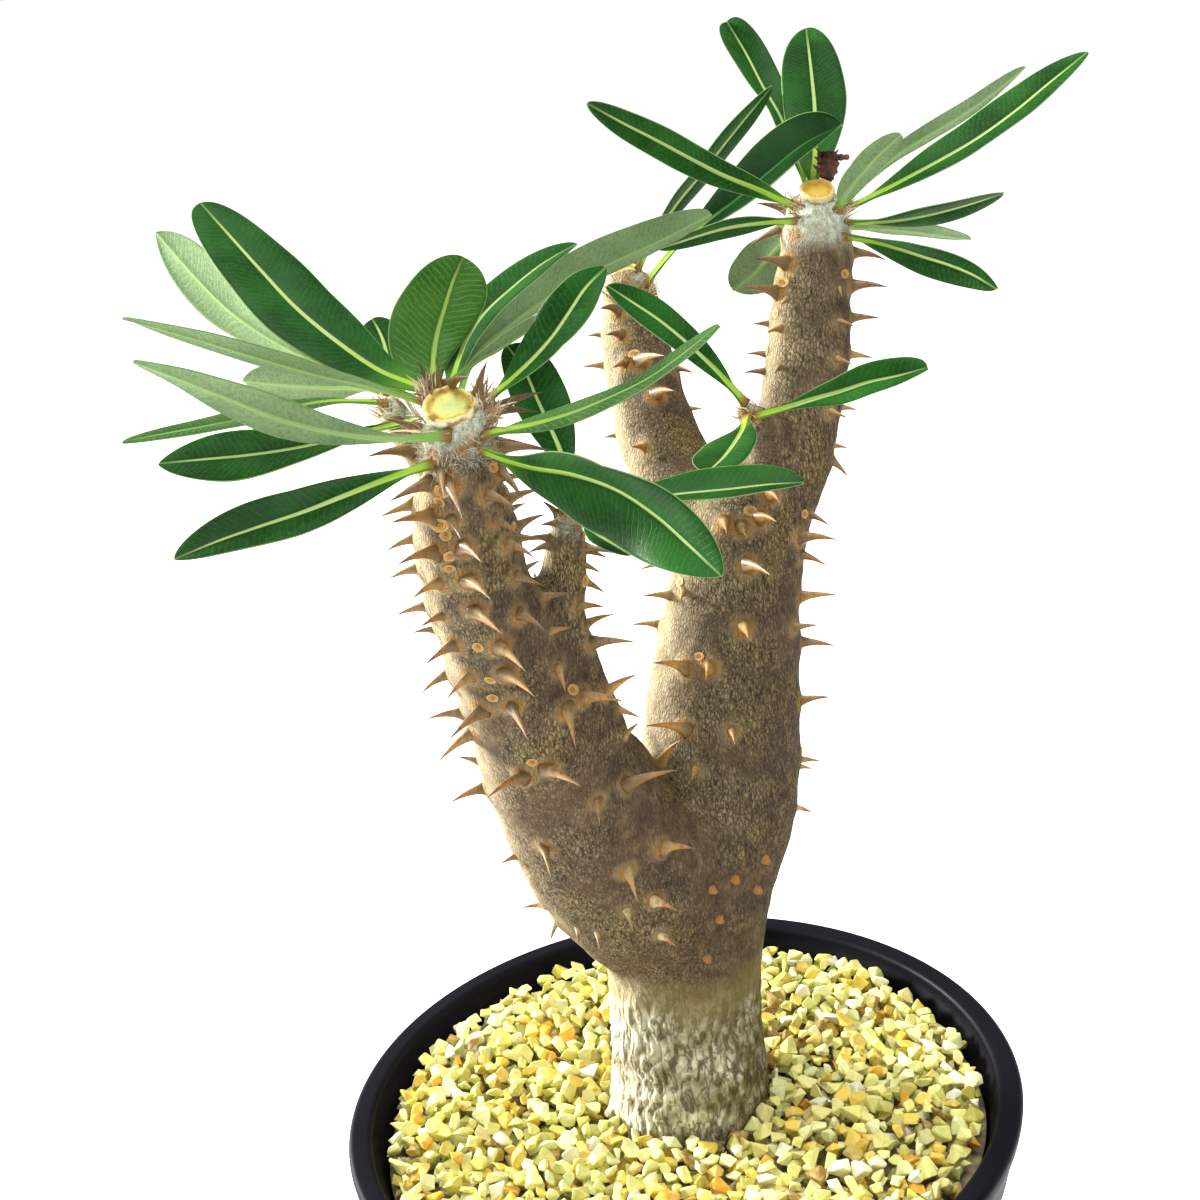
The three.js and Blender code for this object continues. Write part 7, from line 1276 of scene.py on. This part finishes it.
nz = k.noise(scale=520, detail=4, rough=0.65)
c = k.ramp(k.math("ADD", k.math("MULTIPLY", k.attr("ds_r"), 0.8), k.math("MULTIPLY", k.math("SUBTRACT", nz, 0.5), 0.5)), [(0.0, (0.62, 0.42, 0.06)), (0.4, (0.70, 0.44, 0.05)), (0.62, (0.56, 0.30, 0.03)), (0.80, (0.66, 0.50, 0.16)), (1.0, (0.66, 0.62, 0.42))])
dress(growth_right, k.done(c, 0.6, k.bump(nz, 0.8, 0.0004)))
k = Nodes("dried_stalk_surface", 0.6, 0.4)
nz = k.noise(scale=500, detail=4, rough=0.65)
c = k.ramp(nz, [(0.30, (0.030, 0.010, 0.008)), (0.52, (0.105, 0.030, 0.020)), (0.68, (0.24, 0.085, 0.045)), (0.85, (0.36, 0.17, 0.09))])
dress(flower_stub, k.done(c, k.step(nz, 0.3, 0.7, 0.45, 0.75), k.bump(nz, 0.8, 0.0004)))

# gravel
k = Nodes("gravel_surface", 0.72, 0.35)
tone = k.attr("tone", "Color")
n1 = k.noise(scale=420, detail=5, rough=0.65)
n2 = k.noise(scale=1500, detail=3, rough=0.6)
c = k.mix(k.step(n1, 0.46, 0.72, 0.0, 0.42), tone, (0.92, 0.90, 0.58))
c = k.mix(k.step(n1, 0.44, 0.28, 0.0, 0.34), c, (0.58, 0.44, 0.10))
c = k.mix(k.step(n2, 0.62, 0.76, 0.0, 0.34), c, (0.34, 0.24, 0.07))
h = k.math("ADD", k.math("MULTIPLY", n1, 0.7), k.math("MULTIPLY", n2, 0.5))
gravel_mat = k.done(c, k.step(n1, 0.3, 0.7, 0.62, 0.85), k.bump(h, 0.8, 0.00045))
for o in (grains_top, grains_mid, grains_low):
    dress(o, gravel_mat)
# dark brown to near black: painted shade seen through the gaps between grains
k = Nodes("gravel_bed_painted_shade", 0.9, 0.2)
v = k.voronoi(scale=260, feature="F1")
dress(bed, k.done(k.ramp(v, [(0.0, (0.34, 0.30, 0.14)), (0.5, (0.20, 0.16, 0.08)), (1.0, (0.05, 0.04, 0.02))]), 0.9, k.bump(v, 1.0, 0.001)))

# pot
k = Nodes("pot_surface", 0.50, 0.06)
n1 = k.noise(scale=35, detail=4)
n2 = k.noise(scale=1800, detail=2)
lines = k.noise(k.scaled((1, 1, 14.0)), scale=22, detail=3)
dust = k.step(k.noise(scale=130, detail=5, rough=0.7), 0.56, 0.78, 0.0, 0.35)
c = k.mix(n1, (0.0040, 0.0039, 0.0062), (0.0076, 0.0074, 0.0112))
c = k.mix(k.math("MULTIPLY", dust, 0.22), c, (0.060, 0.058, 0.060))
pot_mat = k.done(c, k.math("ADD", k.step(n1, 0.3, 0.7, 0.42, 0.54), k.math("MULTIPLY", dust, 0.4)), k.bump(k.math("ADD", n2, k.math("MULTIPLY", lines, 1.2)), 0.16, 0.0002))
dress(pot, pot_mat)

# potting mix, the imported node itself
k = Nodes("potting_mix_surface", 0.95, 0.15)
v = k.voronoi(scale=300, feature="F1")
n1 = k.noise(scale=160, detail=5, rough=0.7)
c = k.ramp(n1, [(0.3, (0.018, 0.012, 0.009)), (0.55, (0.065, 0.042, 0.028)), (0.75, (0.16, 0.105, 0.065))])
mix_mat = k.done(c, 0.95, k.bump(k.math("ADD", v, n1), 1.0, 0.0015))
dress(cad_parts["potting_mix"], mix_mat)

# ------------------------------------------------------------------ riding and standing for
keep(stem, "bark", "stem")
for o in (spines, scars, stubs, crown_wool, fibres, growth_left, growth_right, growth_mid):
    keep(o, "bark")
for name, o in leaf_objs.items():
    keep(o, "leaf", name)
keep(flower_stub, "dried_stalk", "dried_flower_stub")
keep(grains_top, "gravel", "top_gravel")
for o in (grains_mid, grains_low, bed):
    keep(o, "gravel")
keep(pot, "pot_plastic", "pot")

# ------------------------------------------------------------------ floor and light
floor = new_mesh("floor", [[-9000, -3000, -0.4], [9000, -3000, -0.4], [9000, 16000, -0.4], [-9000, 16000, -0.4]], [[0, 1, 2, 3]], False)
k = Nodes("floor_surface", 0.9, 0.1)
k.done(k.mix(k.noise(scale=2.0), (0.88, 0.88, 0.88), (0.92, 0.92, 0.92)), 0.9)
k.b.inputs["Emission Color"].default_value = (1, 1, 1, 1)
k.b.inputs["Emission Strength"].default_value = FLOOR_GLOW
dress(floor, k.m)

world = bpy.data.worlds.new("studio")
bpy.context.scene.world = world
world.use_nodes = True
world.node_tree.nodes["Background"].inputs[0].default_value = (1.0, 1.0, 1.0, 1)
world.node_tree.nodes["Background"].inputs[1].default_value = WORLD


def soft_light(name, at, target, size, power, colour=(1, 1, 1)):
    d = bpy.data.lights.new(name, "AREA")
    d.shape = "DISK"
    d.size = size
    d.energy = power
    d.color = colour
    o = bpy.data.objects.new(name, d)
    bpy.context.scene.collection.objects.link(o)
    o.location = Vector(at)
    o.rotation_euler = (Vector(target) - Vector(at)).to_track_quat("-Z", "Y").to_euler()
    return o


for row in LIGHTS:
    soft_light(*row)
bpy.context.scene.view_settings.view_transform = "Standard"
bpy.context.scene.view_settings.look = "None"
bpy.context.scene.view_settings.exposure = 0.0
bpy.context.scene.view_settings.gamma = 1.0
